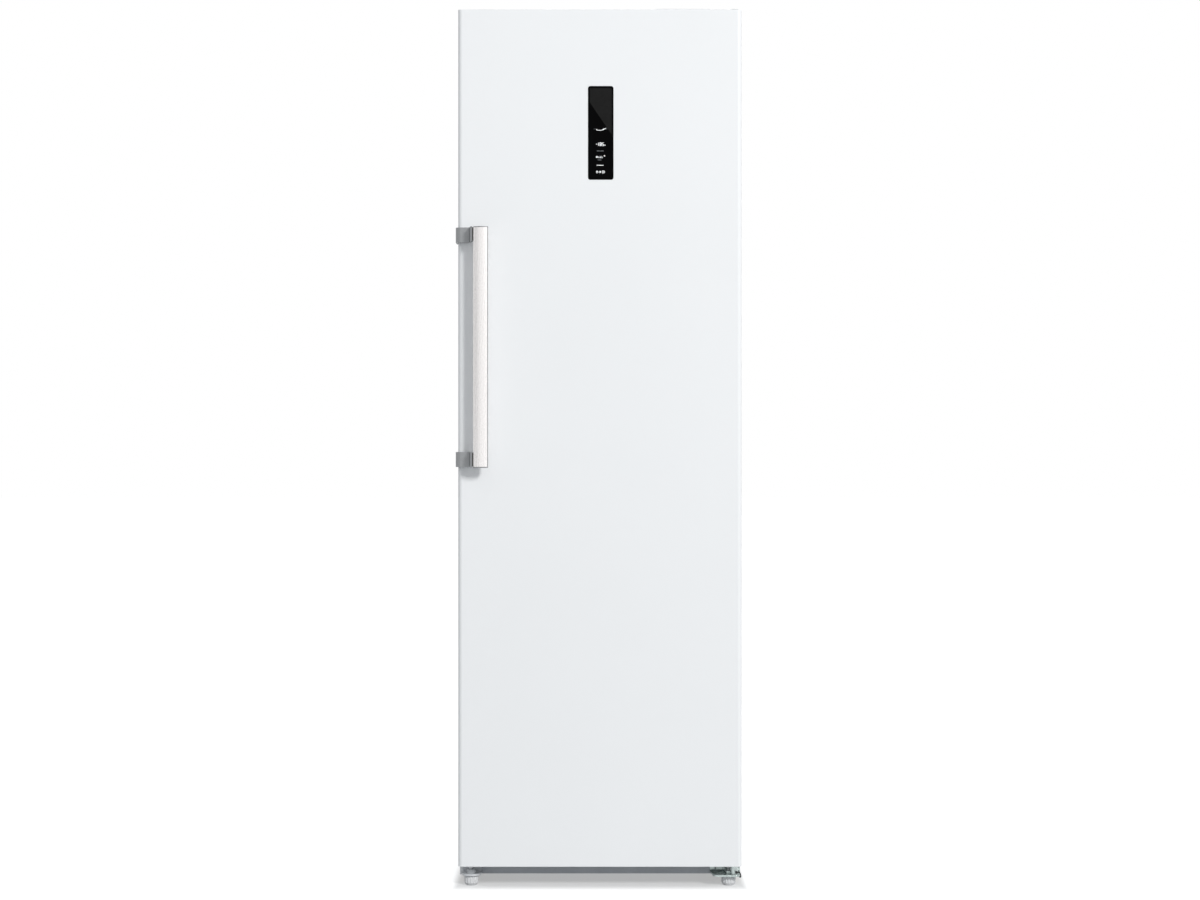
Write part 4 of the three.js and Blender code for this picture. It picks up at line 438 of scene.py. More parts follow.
def refined(node: str, finish: "Finish", bevel: float, body: str = "cabinet") -> Piece:
    """Make a softened copy of a node that stands for it: seams dissolved, edges bevelled, curves smooth.

    Args:
        node: The node to copy.
        finish: Its finish.
        bevel: Width of the bevel along its edges, in millimetres.
        body: The body that it rides on.

    Returns:
        The piece.
    """
    name = f"{node}_dressed"
    draft = bmesh.new()
    draft.from_mesh(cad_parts[node].data)
    bmesh.ops.remove_doubles(draft, verts=draft.verts, dist=DOUBLE)
    bmesh.ops.dissolve_limit(draft, angle_limit=math.radians(1), verts=draft.verts, edges=draft.edges)
    for layer in list(draft.loops.layers.uv):
        draft.loops.layers.uv.remove(layer)
    fresh = bpy.data.meshes.new(name)
    draft.to_mesh(fresh)
    draft.free()
    if "custom_normal" in fresh.attributes:
        fresh.attributes.remove(fresh.attributes["custom_normal"])
    fresh.polygons.foreach_set("material_index", [0] * len(fresh.polygons))
    return present(finished(name, fresh, [finish], bevel * MM, 2, SHARP), body, finish, node)


# ---- finishes
def linear(red: int, green: int, blue: int) -> Colour:
    """A display colour of 0 to 255 as the linear colour that a shader takes."""
    shares = (red / 255, green / 255, blue / 255)
    return tuple(share / 12.92 if share <= 0.04045 else ((share + 0.055) / 1.055) ** 2.4 for share in shares)


class Tree:
    """A node tree while it is written."""

    def __init__(self, tree: bpy.types.NodeTree) -> None:
        """Take the tree to write in."""
        self.tree = tree

    def add(self, kind: str, inputs: dict | None = None, **settings: object) -> bpy.types.Node:
        """Add a node.

        Args:
            kind: The node's type.
            inputs: Values or sockets for its inputs, by name or number.
            **settings: The node's own settings.

        Returns:
            The node.
        """
        node = self.tree.nodes.new(kind)
        for key, value in settings.items():
            setattr(node, key, value)
        self.feed(node, inputs or {})
        return node

    def feed(self, node: bpy.types.Node, inputs: dict) -> None:
        """Set some of a node's inputs.

        Args:
            node: The node.
            inputs: Values or sockets for its inputs, by name or number.
        """
        for key, value in inputs.items():
            if isinstance(value, Socket):
                self.tree.links.new(value, node.inputs[key])
            else:
                node.inputs[key].default_value = value

    def step(self, kind: str, inputs: dict, **settings: object) -> Socket:
        """Add a node as add() does and return its first output."""
        return self.add(kind, inputs, **settings).outputs[0]

    def maths(self, kind: str, first: Socket | float, second: Socket | float) -> Socket:
        """One step of arithmetic."""
        return self.step("ShaderNodeMath", {0: first, 1: second}, operation=kind)


class Recipe(Tree):
    """A finish's node tree while it is written. Its patterns read the object's own coordinates."""

    def __init__(self, name: str, finish: "Finish") -> None:
        """Start a material in the finish's plain colour and roughness.

        Args:
            name: Name of the material.
            finish: The finish.
        """
        self.material = bpy.data.materials.new(name)
        self.material.use_nodes = True
        super().__init__(self.material.node_tree)
        self.finish, self.shader = finish, self.tree.nodes["Principled BSDF"]
        self.place = self.add("ShaderNodeTexCoord").outputs["Object"]
        self.surface(Base_Color=finish.colour, Roughness=finish.roughness)

    def surface(self, **values: object) -> None:
        """Set the shader's sockets.

        Args:
            **values: Values or sockets, by the socket's name with underscores for spaces.
        """
        for key, value in values.items():
            colour = isinstance(value, tuple) and len(value) == 3
            self.feed(self.shader, {key.replace("_", " "): (*value, 1) if colour else value})

    def noise(self, scale: float, detail: float = 3.0, stretch: Sequence[float] = (1, 1, 1),
              roughness: float = 0.5) -> Socket:
        """Noise from 0 to 1.

        Args:
            scale: Its scale per metre.
            detail: Its octaves.
            stretch: Factors on the axes; it is drawn out where they are small.
            roughness: How strongly the finer octaves show.

        Returns:
            The noise.
        """
        spread = self.step("ShaderNodeMapping", {"Vector": self.place, "Scale": stretch})
        return self.step("ShaderNodeTexNoise", {"Vector": spread, "Scale": scale, "Detail": detail,
                                                "Roughness": roughness})

    def cells(self, scale: float) -> bpy.types.Node:
        """Voronoi cells at a scale per metre."""
        return self.add("ShaderNodeTexVoronoi", {"Vector": self.place, "Scale": scale})

    def tint(self, share: Socket, dark: float, bright: float = 1.0, start: float = 0.3, end: float = 0.7) -> None:
        """Let the colour go from a dark to a bright shade of the finish's own.

        Args:
            share: What the colour follows, from 0 to 1.
            dark: Factor of the dark shade.
            bright: Factor of the bright shade.
            start: Share where the blend starts.
            end: Share where it ends.
        """
        ramp = self.add("ShaderNodeValToRGB", {0: share})
        first, last = ramp.color_ramp.elements
        first.position, last.position = start, end
        first.color, last.color = (*self.finish.shade(dark), 1), (*self.finish.shade(bright), 1)
        self.surface(Base_Color=ramp.outputs[0])

    def rub(self, share: Socket, less: float, more: float, start: float = 0.3, end: float = 0.7) -> None:
        """Let the roughness go from less to more than the finish's own as the share goes from start to end."""
        low, high = self.finish.roughness - less, self.finish.roughness + more
        self.surface(Roughness=self.step("ShaderNodeMapRange", {0: share, 1: start, 2: end, 3: low, 4: high}))

    def relief(self, height: Socket, depth: float) -> None:
        """Raise the surface by a height from 0 to 1, times a depth in metres."""
        self.surface(Normal=self.step("ShaderNodeBump", {"Height": height, "Distance": depth, "Strength": 1}))


@dataclass(frozen=True)
class Finish:
    """A finish: its name, the record's slot, its colour and how rough it is."""

    name: str
    slot: str
    colour: Colour
    roughness: float

    def material(self) -> bpy.types.Material:
        """Write the finish's material the first time it is asked for.

        Returns:
            The material.
        """
        title = f"{self.name}_finish"
        found = bpy.data.materials.get(title)
        if found is None:
            recipe = Recipe(title, self)
            self.dress(recipe)
            found = recipe.material
        return found

    def shade(self, factor: float) -> Colour:
        """The finish's colour, darker or lighter by a factor."""
        return tuple(min(1, channel * factor) for channel in self.colour)

    def dress(self, recipe: Recipe) -> None:
        """Write what is particular to the finish."""


@dataclass(frozen=True)
class PaintedSheet(Finish):
    """Baked paint on steel: a fine orange peel, hardly uneven colour and a clear gloss."""

    peel: float = 0.000003
    gloss: float = 0.0

    def dress(self, recipe: Recipe) -> None:
        """Add peel, a faint unevenness and the gloss.

        Args:
            recipe: The material's recipe.
        """
        recipe.tint(recipe.noise(2.2, 2), 0.985)
        recipe.rub(recipe.noise(7, 1), 0.006, 0.006, 0, 1)
        recipe.relief(recipe.noise(380, 2), self.peel)
        recipe.surface(Coat_Weight=self.gloss, Coat_Roughness=0.1, Specular_IOR_Level=0.35)


@dataclass(frozen=True)
class Moulding(Finish):
    """Moulded plastic with a fine spark-eroded grain and a slightly uneven gloss."""

    grain: float = 1800.0
    depth: float = 0.00002
    sheen: float = 0.4

    def dress(self, recipe: Recipe) -> None:
        """Add the grain and uneven colour.

        Args:
            recipe: The material's recipe.
        """
        recipe.tint(recipe.noise(9, 3), 0.96)
        recipe.rub(recipe.noise(35, 3), 0.05, 0.06)
        recipe.relief(recipe.noise(self.grain, 2), self.depth)
        recipe.surface(Specular_IOR_Level=self.sheen)


@dataclass(frozen=True)
class BrushedMetal(Finish):
    """Brushed and lacquered metal with its strokes along one axis."""

    along: Axis = Axis.Z
    stroke: float = 0.012
    depth: float = 0.000006
    metal: float = 1.0
    contrast: float = 0.1

    def dress(self, recipe: Recipe) -> None:
        """Add strokes to colour, roughness and relief.

        Args:
            recipe: The material's recipe.
        """
        stretch = [1, 1, 1]
        stretch[self.along.value[2]] = self.stroke
        strokes = recipe.noise(2600, 3, stretch, 0.65)
        recipe.tint(strokes, 1 - self.contrast)
        recipe.rub(strokes, 0.6 * self.contrast, 0.8 * self.contrast)
        recipe.relief(strokes, self.depth)
        recipe.surface(Metallic=self.metal, Anisotropic=0.35)


@dataclass(frozen=True)
class SatinMetal(Finish):
    """Cast or rolled metal under a satin coat: a fine speckle and a soft shine."""

    metal: float = 0.5
    speckle: float = 1400.0

    def dress(self, recipe: Recipe) -> None:
        """Add the speckle.

        Args:
            recipe: The material's recipe.
        """
        recipe.tint(recipe.noise(self.speckle, 2), 0.88, 1.06)
        recipe.rub(recipe.noise(45, 3), 0.05, 0.08)
        recipe.relief(recipe.noise(self.speckle, 2), 0.000014)
        recipe.surface(Metallic=self.metal)


@dataclass(frozen=True)
class ZincCoat(Finish):
    """Zinc-coated steel: crystal patches of slightly different grey and shine."""

    crystal: float = 90.0
    contrast: float = 0.14

    def dress(self, recipe: Recipe) -> None:
        """Add the crystals to colour and roughness.

        Args:
            recipe: The material's recipe.
        """
        crystals = recipe.cells(self.crystal).outputs["Color"]
        tone = recipe.step("ShaderNodeSeparateColor", {0: crystals})
        recipe.tint(tone, 1 - self.contrast, 1.08, 0.15, 0.85)
        recipe.rub(tone, 0.07, 0.09, 0, 1)
        recipe.relief(recipe.noise(700, 3), 0.000008)
        recipe.surface(Metallic=0.9)


@dataclass(frozen=True)
class Rubber(Finish):
    """Soft seal or rubber, matt with a faint bloom."""

    def dress(self, recipe: Recipe) -> None:
        """Add the bloom and a soft skin.

        Args:
            recipe: The material's recipe.
        """
        recipe.tint(recipe.noise(28, 3), 0.93)
        recipe.rub(recipe.noise(70, 2), 0.05, 0.08)
        recipe.relief(recipe.noise(900, 2), 0.000012)
        recipe.surface(Sheen_Weight=0.12, Sheen_Roughness=0.5)


@dataclass(frozen=True)
class ClearMoulding(Finish):
    """Clear or frosted plastic or glass that light passes through, partly straight and partly refracted."""

    clearness: float = 0.85
    index: float = 1.49
    ripple: float = 0.00001
    cover: float = 0.4

    def dress(self, recipe: Recipe) -> None:
        """Add transmission and the moulding's faint ripple.

        Args:
            recipe: The material's recipe.
        """
        recipe.rub(recipe.noise(55, 2), 0, 0.05)
        recipe.relief(recipe.noise(160, 2), self.ripple)
        recipe.surface(Transmission_Weight=self.clearness, IOR=self.index, Alpha=self.cover)


@dataclass(frozen=True)
class GlossBlack(Finish):
    """Smoked panel glass over a black print, with faint smears in its gloss; made lighter, it carries a painted
    reflection.
    """

    gloss: float = 0.1

    def dress(self, recipe: Recipe) -> None:
        """Add the smears and a hardly uneven print.

        Args:
            recipe: The material's recipe.
        """
        recipe.tint(recipe.noise(150, 2), 0.85)
        recipe.rub(recipe.noise(90, 3), 0, 0.08)
        recipe.relief(recipe.noise(40, 1), 0.000004)
        recipe.surface(Specular_IOR_Level=self.gloss)


@dataclass(frozen=True)
class Foam(Finish):
    """Rigid foam: matt, pitted by its cells and darker in patches."""

    def dress(self, recipe: Recipe) -> None:
        """Add the cells' pits and the darker patches.

        Args:
            recipe: The material's recipe.
        """
        recipe.tint(recipe.noise(12, 4), 0.8)
        recipe.relief(recipe.cells(420).outputs["Distance"], 0.0005)
        recipe.surface(Specular_IOR_Level=0.15)


@dataclass(frozen=True)
class CopperPipe(Finish):
    """Drawn copper, with browned and brighter patches."""

    def dress(self, recipe: Recipe) -> None:
        """Add the patches and a fine roughness.

        Args:
            recipe: The material's recipe.
        """
        patches = recipe.noise(38, 4)
        recipe.tint(patches, 0.5, 1, 0.35, 0.6)
        recipe.rub(patches, -0.18, -0.05)
        recipe.relief(recipe.noise(900, 2), 0.00001)
        recipe.surface(Metallic=1)


@dataclass(frozen=True)
class Ink(Finish):
    """Bright printed or lit marks behind the display glass."""

    glow: float = 0.6

    def dress(self, recipe: Recipe) -> None:
        """Let the marks glow a little."""
        recipe.tint(recipe.noise(800, 1), 0.94)
        recipe.surface(Emission_Color=self.colour, Emission_Strength=self.glow)


WHITE_PAINT = PaintedSheet("white_paint", "white_paint", linear(243, 245, 247), 0.3)
INNER_WHITE = Moulding("inner_white", "inner_white", linear(244, 246, 247), 0.36, 900, 0.000012)
CAP_WHITE = Moulding("cap_white", "cap_white", linear(233, 235, 238), 0.45)
GREY_PLASTIC = Moulding("grey_plastic", "grey_plastic", linear(140, 145, 150), 0.5)
RAIL_GREY = SatinMetal("dark_rail", "dark_rail", linear(180, 185, 191), 0.45, 0.1)
RIGID_FOAM = Foam("rigid_foam", "foam", linear(230, 218, 178), 0.9)
SEAL_GREY = Rubber("seal_grey", "seal", linear(223, 226, 228), 0.6)
BAR_METAL = BrushedMetal("bar_metal", "handle_aluminium", linear(240, 237, 236), 0.27, depth=0.0000012, metal=0.55,
                         contrast=0.03)
# Darker grey on the bar's ends and crisp right edge is painted shade.
BAR_EDGE_PAINTED_SHADE = BrushedMetal("bar_edge_painted_shade", "handle_aluminium", linear(132, 133, 135), 0.4, metal=0.3)
BRACKET_GREY = SatinMetal("bracket_grey", "handle_bracket_grey", linear(148, 150, 152), 0.4, 0.55)
# Dark grey on the tenon is painted shade: it stands in for the shadow in the groove between bracket and bar.
TENON_PAINTED_SHADE = SatinMetal("tenon_painted_shade", "handle_bracket_grey", linear(86, 86, 84), 0.5, 0.2)
BLACK_PLASTIC = Moulding("black_plastic", "black_plastic", linear(26, 27, 28), 0.5, 1500)
ZINC = ZincCoat("zinc", "zinc", linear(184, 194, 192), 0.32, 260, 0.1)
PALE_BRACKET = PaintedSheet("pale_bracket", "zinc", linear(214, 217, 220), 0.4)
GALVANISED = ZincCoat("galvanised", "galvanised", linear(184, 189, 193), 0.4, 85, 0.12)
FOOT_GREY = Moulding("foot_grey", "foot_grey", linear(228, 229, 231), 0.5)
SHELF_GLASS = ClearMoulding("shelf_glass", "shelf_glass", linear(228, 244, 240), 0.02, 0.95, 1.5, 0.000004)
CLEAR_DRAWER = ClearMoulding("clear_drawer", "clear_drawer", linear(240, 246, 251), 0.09, 0.6, cover=0.34)
COPPER = CopperPipe("copper", "copper", linear(196, 120, 76), 0.3)
POT_BLACK = PaintedSheet("pot_black", "compressor_black", linear(24, 25, 26), 0.36, 0.00003, 0.4)
ALUMINIUM = BrushedMetal("fin_aluminium", "bare_aluminium", linear(200, 203, 205), 0.42, Axis.Z, 0.05)
LAMP_LENS = ClearMoulding("lamp_lens", "lamp_lens", linear(246, 247, 245), 0.35, 0.5, cover=0.9)
RUBBER_BLACK = Rubber("rubber_black", "black_plastic", linear(34, 34, 35), 0.75)
STEEL = SatinMetal("bright_steel", "zinc", linear(196, 198, 200), 0.28, 1, 900)
PRINT_WHITE = Ink("print_white", "black_glass", linear(236, 238, 240), 0.4, 0.55)
PRINT_DIM = Ink("print_dim", "black_glass", linear(130, 134, 138), 0.4, 0.1)
PANEL_GLASS = GlossBlack("panel_glass", "black_glass", linear(5, 5, 6), 0.04, 0.025)
# Lighter grey field on the display glass is a painted reflection.
DISPLAY_PAINTED_REFLECTION = GlossBlack("painted_reflection_field", "black_glass", linear(35, 35, 35), 0.05, 0.025)
BRAZING = SatinMetal("brazing", "copper", linear(206, 186, 120), 0.4, 0.9, 700)


# ---- repeats
class Pattern(Tree):
    """A Geometry Nodes group that repeats a master mesh, makes the copies real and gives them their finish."""

    def __init__(self, name: str, sockets: dict[str, str]) -> None:
        """Start the group.

        Args:
            name: Name of the group.
            sockets: Names and kinds of its inputs besides geometry and finish.
        """
        super().__init__(bpy.data.node_groups.new(name, "GeometryNodeTree"))
        outside = self.tree.interface
        outside.new_socket("Geometry", in_out="INPUT", socket_type="NodeSocketGeometry")
        for label, kind in {**sockets, "Finish": "Material"}.items():
            outside.new_socket(label, in_out="INPUT", socket_type=f"NodeSocket{kind}")
        outside.new_socket("Geometry", in_out="OUTPUT", socket_type="NodeSocketGeometry")
        self.given = self.add("NodeGroupInput").outputs

    def close(self, instances: Socket) -> "Pattern":
        """Make the copies real, give them the finish and end the group.

        Args:
            instances: The copies.

        Returns:
            The pattern itself.
        """
        real = self.step("GeometryNodeRealizeInstances", {"Geometry": instances})
        coated = self.step("GeometryNodeSetMaterial", {"Geometry": real, "Material": self.given["Finish"]})
        self.add("NodeGroupOutput", {0: coated})
        return self

    def spread(self, name: str, body: str, carrier: Piece, finish: Finish, **values: object) -> Piece:
        """Run the group on a carrier and make the copies one piece.

        Args:
            name: Name of the piece.
            body: The body that it rides on.
            carrier: The object whose mesh goes into the group; it is used up.
            finish: The copies' finish.
            **values: Values of the group's inputs, by name.

        Returns:
            The piece.
        """
        modifier = carrier.modifiers.new("pattern", "NODES")
        modifier.node_group = self.tree
        values["Finish"] = finish.material()
        for socket in self.tree.interface.items_tree:
            if socket.in_out == "INPUT" and socket.name in values:
                modifier[socket.identifier] = values[socket.name]
        bpy.context.view_layer.update()
        mesh = bpy.data.meshes.new_from_object(carrier.evaluated_get(bpy.context.evaluated_depsgraph_get()))
        bpy.data.objects.remove(carrier)
        mesh.name = name
        return present(linked(name, mesh), body, finish)


def row_pattern() -> Pattern:
    """Write the group of a straight row: Count copies of the incoming mesh, each a Step further.

    Returns:
        The pattern.
    """
    made = Pattern("row", {"Count": "Int", "Step": "Vector"})
    line = made.step("GeometryNodeMeshLine", {"Count": made.given["Count"], "Offset": made.given["Step"]},
                     mode="OFFSET", count_mode="TOTAL")
    return made.close(made.step("GeometryNodeInstanceOnPoints", {"Points": line, "Instance": made.given["Geometry"]}))


def marked_pattern() -> Pattern:
    """Write the group of marked points: a master turned the way each point faces and scaled by its size.

    Returns:
        The pattern.
    """
    made = Pattern("marked", {"Master": "Object"})
    read = {kind: made.step("GeometryNodeInputNamedAttribute", {"Name": name}, data_type=kind)
            for kind, name in (("FLOAT_VECTOR", "facing"), ("FLOAT", "size"))}
    turned = made.step("FunctionNodeAlignRotationToVector", {"Vector": read["FLOAT_VECTOR"]}, axis="Z")
    master = made.add("GeometryNodeObjectInfo", {"Object": made.given["Master"]}).outputs["Geometry"]
    return made.close(made.step("GeometryNodeInstanceOnPoints", {
        "Points": made.given["Geometry"], "Instance": master, "Rotation": turned, "Scale": read["FLOAT"]}))


@dataclass(frozen=True)
class Screw:
    """A screw's head with a cross recess: a pan head on its rim, or a flat sunk one."""

    radius: float = 4.4
    height: float = 2.2
    washer: float = 1.25
    recess: float = 1.5
    sides: int = 24
    sunk: bool = False

    def cross(self, arm: float, half: float) -> list[Flat]:
        """The cross recess.

        Args:
            arm: How far its arms reach.
            half: Half their width.

        Returns:
            Its outline, with as many points as the head has sides.
        """
        corners = [(arm, -half), (arm, half), (half, half)]
        made: list[Flat] = []
        for turn in range(4):
            c, s = ((1, 0), (0, 1), (-1, 0), (0, -1))[turn]
            made += [(x * c - y * s, x * s + y * c) for x, y in corners]
        doubled = []
        for a, b in zip(made, made[1:] + made[:1]):
            doubled += [a, ((a[0] + b[0]) / 2, (a[1] + b[1]) / 2)]
        return doubled

    def mesh(self) -> Piece:
        """Draw the master head, standing on the origin and facing +Z.

        Returns:
            The head.
        """
        r, h, rim = self.radius, self.height, self.radius * self.washer
        if self.sunk:
            levels = [(r, 0), (r, h * 0.7), (r * 0.93, h)]
            recess = [(self.cross(r * 0.62, r * 0.17), h), (self.cross(r * 0.5, r * 0.12), 0.02)]
        else:
            levels = [(rim, 0), (rim, 0.5), (r, 0.7), (r, h * 0.72), (r * 0.9, h * 0.93), (r * 0.62, h)]
            recess = [(self.cross(r * 0.5, r * 0.13), h), (self.cross(r * 0.36, r * 0.1), h - self.recess)]
        head = [(arc(0, 0, radius, -15, 345, self.sides)[:-1], z) for radius, z in levels]
        return Draft().stack(Axis.Z, head + recess, caps=Caps.LAST).piece("screw_master", STEEL)


class Fixings:
    """Screws of one body, gathered while its pieces are built and made in one go."""

    def __init__(self, body: str) -> None:
        """Start with no screws on a body."""
        self.body = body
        self.spots: list[tuple[Vector, Vector, float]] = []

    def add(self, place: Sequence[float], facing: Sequence[float], size: float = 1.0) -> None:
        """Mark a screw: where its head sits in millimetres, which way it faces and how large it is."""
        self.spots.append((Vector(place), Vector(facing), size))

    def build(self, pattern: Pattern, name: str, finish: Finish, screw: Screw = Screw()) -> None:
        """Set every screw that is marked.

        Args:
            pattern: The pattern of marked points.
            name: Name of the piece.
            finish: The screws' finish.
            screw: The screw's sizes.
        """
        mesh = bpy.data.meshes.new(name)
        mesh.from_pydata([tuple(place * MM) for place, _, _ in self.spots], [], [])
        mesh.attributes.new("facing", "FLOAT_VECTOR", "POINT")
        mesh.attributes.new("size", "FLOAT", "POINT")
        mesh.attributes["facing"].data.foreach_set("vector", [part for _, way, _ in self.spots for part in way])
        mesh.attributes["size"].data.foreach_set("value", [factor for _, _, factor in self.spots])
        master = screw.mesh()
        pattern.spread(name, self.body, linked(name, mesh), finish, Master=master)
        bpy.data.objects.remove(master)


# ---- plan of the freezer, in millimetres
SIDE = 297.5
HANDLE_FRONT, DOOR_FRONT, DOOR_BACK = -348.5, -303.5, -241.5
CABINET_FRONT, CABINET_BACK = -230.5, 348.5
DOOR_LOW, DOOR_TOP, CABINET_TOP = 45, 1841, 1838
HINGE_X, HINGE_Y = 282.5, -276.5
FRONTWARDS, BACKWARDS, UPWARDS = (0, -1, 0), (0, 1, 0), (0, 0, 1)


def frame_of(inset: float, radius: float = 0.0, steps: int = 6) -> list[Flat]:
    """The door's outline in X and Z, drawn in by an inset."""
    return rounded(-SIDE + inset, SIDE - inset, DOOR_LOW + inset, DOOR_TOP - inset, radius, steps)


def mitred(profile: Sequence[Flat]) -> Draft:
    """A closed profile of inset and depth, run round the door with mitred corners."""
    rings = [Axis.Y.at(frame_of(inset), depth) for inset, depth in profile]
    return Draft().skin([*rings, rings[0]], caps=Caps.NONE)


@dataclass
class Display:
    """The display in the door: glass, a lighter field that is a painted reflection, and generic lit marks."""

    left: float = -24.9
    right: float = 27.9
    low: float = 1484.45
    high: float = 1680.15
    radius: float = 4.5
    face: float = DOOR_FRONT - 0.8
    thickness: float = 3.0
    field_inset: float = 3.4
    slope: float = 1.47
    slant: float = 1614.7

    def glass(self) -> None:
        """Make the glass plate with its ground edge."""
        levels = [(inset, self.radius - inset, self.face + behind)
                  for inset, behind in ((0, self.thickness), (0, 0.5), (0.12, 0.2), (0.4, 0))]
        Draft().slabs(Axis.Y, (self.left, self.right, self.low, self.high), levels, 8).show(
            "display_plate", "display_glass", PANEL_GLASS, body="door")

    def field(self) -> None:
        """Make the lighter field above the slanting edge: a painted reflection on the glass."""
        x0, x1 = self.left + self.field_inset, self.right - self.field_inset
        top = self.high - self.field_inset - 0.6
        outline = [(x0, self.slant - self.slope * x0), (x1, self.slant - self.slope * x1), (x1, top), (x0, top)]
        Draft().skin([Axis.Y.at(outline, self.face - 0.01)], caps=Caps.FIRST).show(
            "display_field", "", DISPLAY_PAINTED_REFLECTION, body="door")

    def bar(self, draft: Draft, start: Flat, end: Flat, width: float, tag: int = 0) -> None:
        """Add a lit stroke between two points of the face.

        Args:
            draft: The draft that takes it.
            start: Its first point.
            end: Its last point.
            width: Its width.
            tag: Which finish it takes.
        """
        a, b = Vector(start), Vector(end)
        along = (b - a).normalized() * width * 0.5
        across = Vector((-along.y, along.x))
        tips = [a - along * 0.2 + across, a - along, a - along * 0.2 - across,
                b + along * 0.2 - across, b + along, b + along * 0.2 + across]
        draft.skin([Axis.Y.at([(p.x, p.y) for p in tips], self.face - 0.03)], caps=Caps.FIRST, tag=tag)

    def digit(self, draft: Draft, figure: int, corner: Flat, height: float, width: float) -> None:
        """Add a seven-segment digit.

        Args:
            draft: The draft that takes the strokes.
            figure: The digit.
            corner: Its lower left corner.
            height: Its height.
            width: Width of its strokes.
        """
        lit = ("abcdef", "bc", "abged", "abgcd", "fgbc", "afgcd", "afgedc", "abc", "abcdefg", "abcdfg")[figure]
        x, z = corner
        wide, half = height * 0.5, height / 2
        ends = {"a": ((0, height), (wide, height)), "b": ((wide, height), (wide, half)),
                "c": ((wide, half), (wide, 0)), "d": ((wide, 0), (0, 0)), "e": ((0, 0), (0, half)),
                "f": ((0, half), (0, height)), "g": ((0, half), (wide, half))}
        for name in lit:
            (ax, az), (bx, bz) = (Vector(p) for p in ends[name])
            away = Vector((bx - ax, bz - az)).normalized() * 0.28
            self.bar(draft, (x + ax + away.x, z + az + away.y), (x + bx - away.x, z + bz - away.y), width)

    def dot(self, draft: Draft, centre: Flat, radius: float, hole: float) -> None:
        """Add a lit ring with a hole."""
        rings = [Axis.Y.at(ring(reach, 20, centre), self.face - 0.03) for reach in (radius, hole)]
        draft.skin(rings, caps=Caps.NONE)

    def marks(self) -> None:
        """Make rows of digits, bars and plain icons where the display is lit."""
        draft = Draft()
        for x in range(-8, 11, 3):
            height = 1590.4 - 2.6 * math.sin(math.pi * (x + 9) / 20)
            self.bar(draft, (x, height), (x + 2, height + 0.25 * (x - 1)), 1)
        flat = [(-12.6, 1590.4, 1, 0.7, 1), (13, 1590.4, 1.4, 0.7, 1), (-8.2, 1558.6, 2, 1, 0)]
        flat += [(-6 + 2.9 * x, 1544.4, 1.4, 1.1, 1) for x in range(5)]
        flat += [(x, 1530, 1.5, 0.7, 0) for x in (-2.4, 0.8, 4)]
        flat += [(x, 1525.6, 1.5, 1, 1) for x in (-4.6, -1.8, 1)]
        flat += [(-6.4 + 2.4 * x, 1514.4, 1.2, 1.3, 0) for x in range(6)]
        for x, z, length, width, tag in flat:
            self.bar(draft, (x, z), (x + length, z), width, tag)
        for x, z, height, width in ((-2.4, 1530, 3, 0.9), (0.8, 1530, 3, 0.9), (4, 1530, 3, 0.9),
                                    (-6, 1500.4, 2.6, 0.8), (9.4, 1498.2, 4.4, 0.8)):
            self.bar(draft, (x, z), (x, z + height), width)
        self.bar(draft, (5, 1588.4), (9, 1591.6), 0.9)
        for turn in range(3):
            x, z = 2.5 * math.cos(math.radians(60 * turn)), 2.5 * math.sin(math.radians(60 * turn))
            self.bar(draft, (0.4 - x, 1500.4 - z), (0.4 + x, 1500.4 + z), 0.7)
        for figure, x, z, height, width in ((1, -6.4, 1555.4, 6.2, 1), (8, -0.2, 1555.4, 6.2, 1),
                                            (5, 4.8, 1555.4, 6.2, 0.9), (0, 5, 1498, 4.8, 0.8)):
            self.digit(draft, figure, (x, z), height, width)
        for x, z, radius, hole in ((10.2, 1556.6, 1.1, 0.5), (-6.4, 1531.8, 2, 0.9), (9.4, 1534, 1.3, 0.6),
                                   (-6, 1500.4, 2.3, 1.5)):
            self.dot(draft, (x, z), radius, hole)
        draft.show("display_marks", "", PRINT_WHITE, PRINT_DIM, body="door")

    def build(self) -> None:
        """Make the display's pieces."""
        self.glass()
        self.field()
        self.marks()
        refined("display_housing", BLACK_PLASTIC, 0.4, "door")


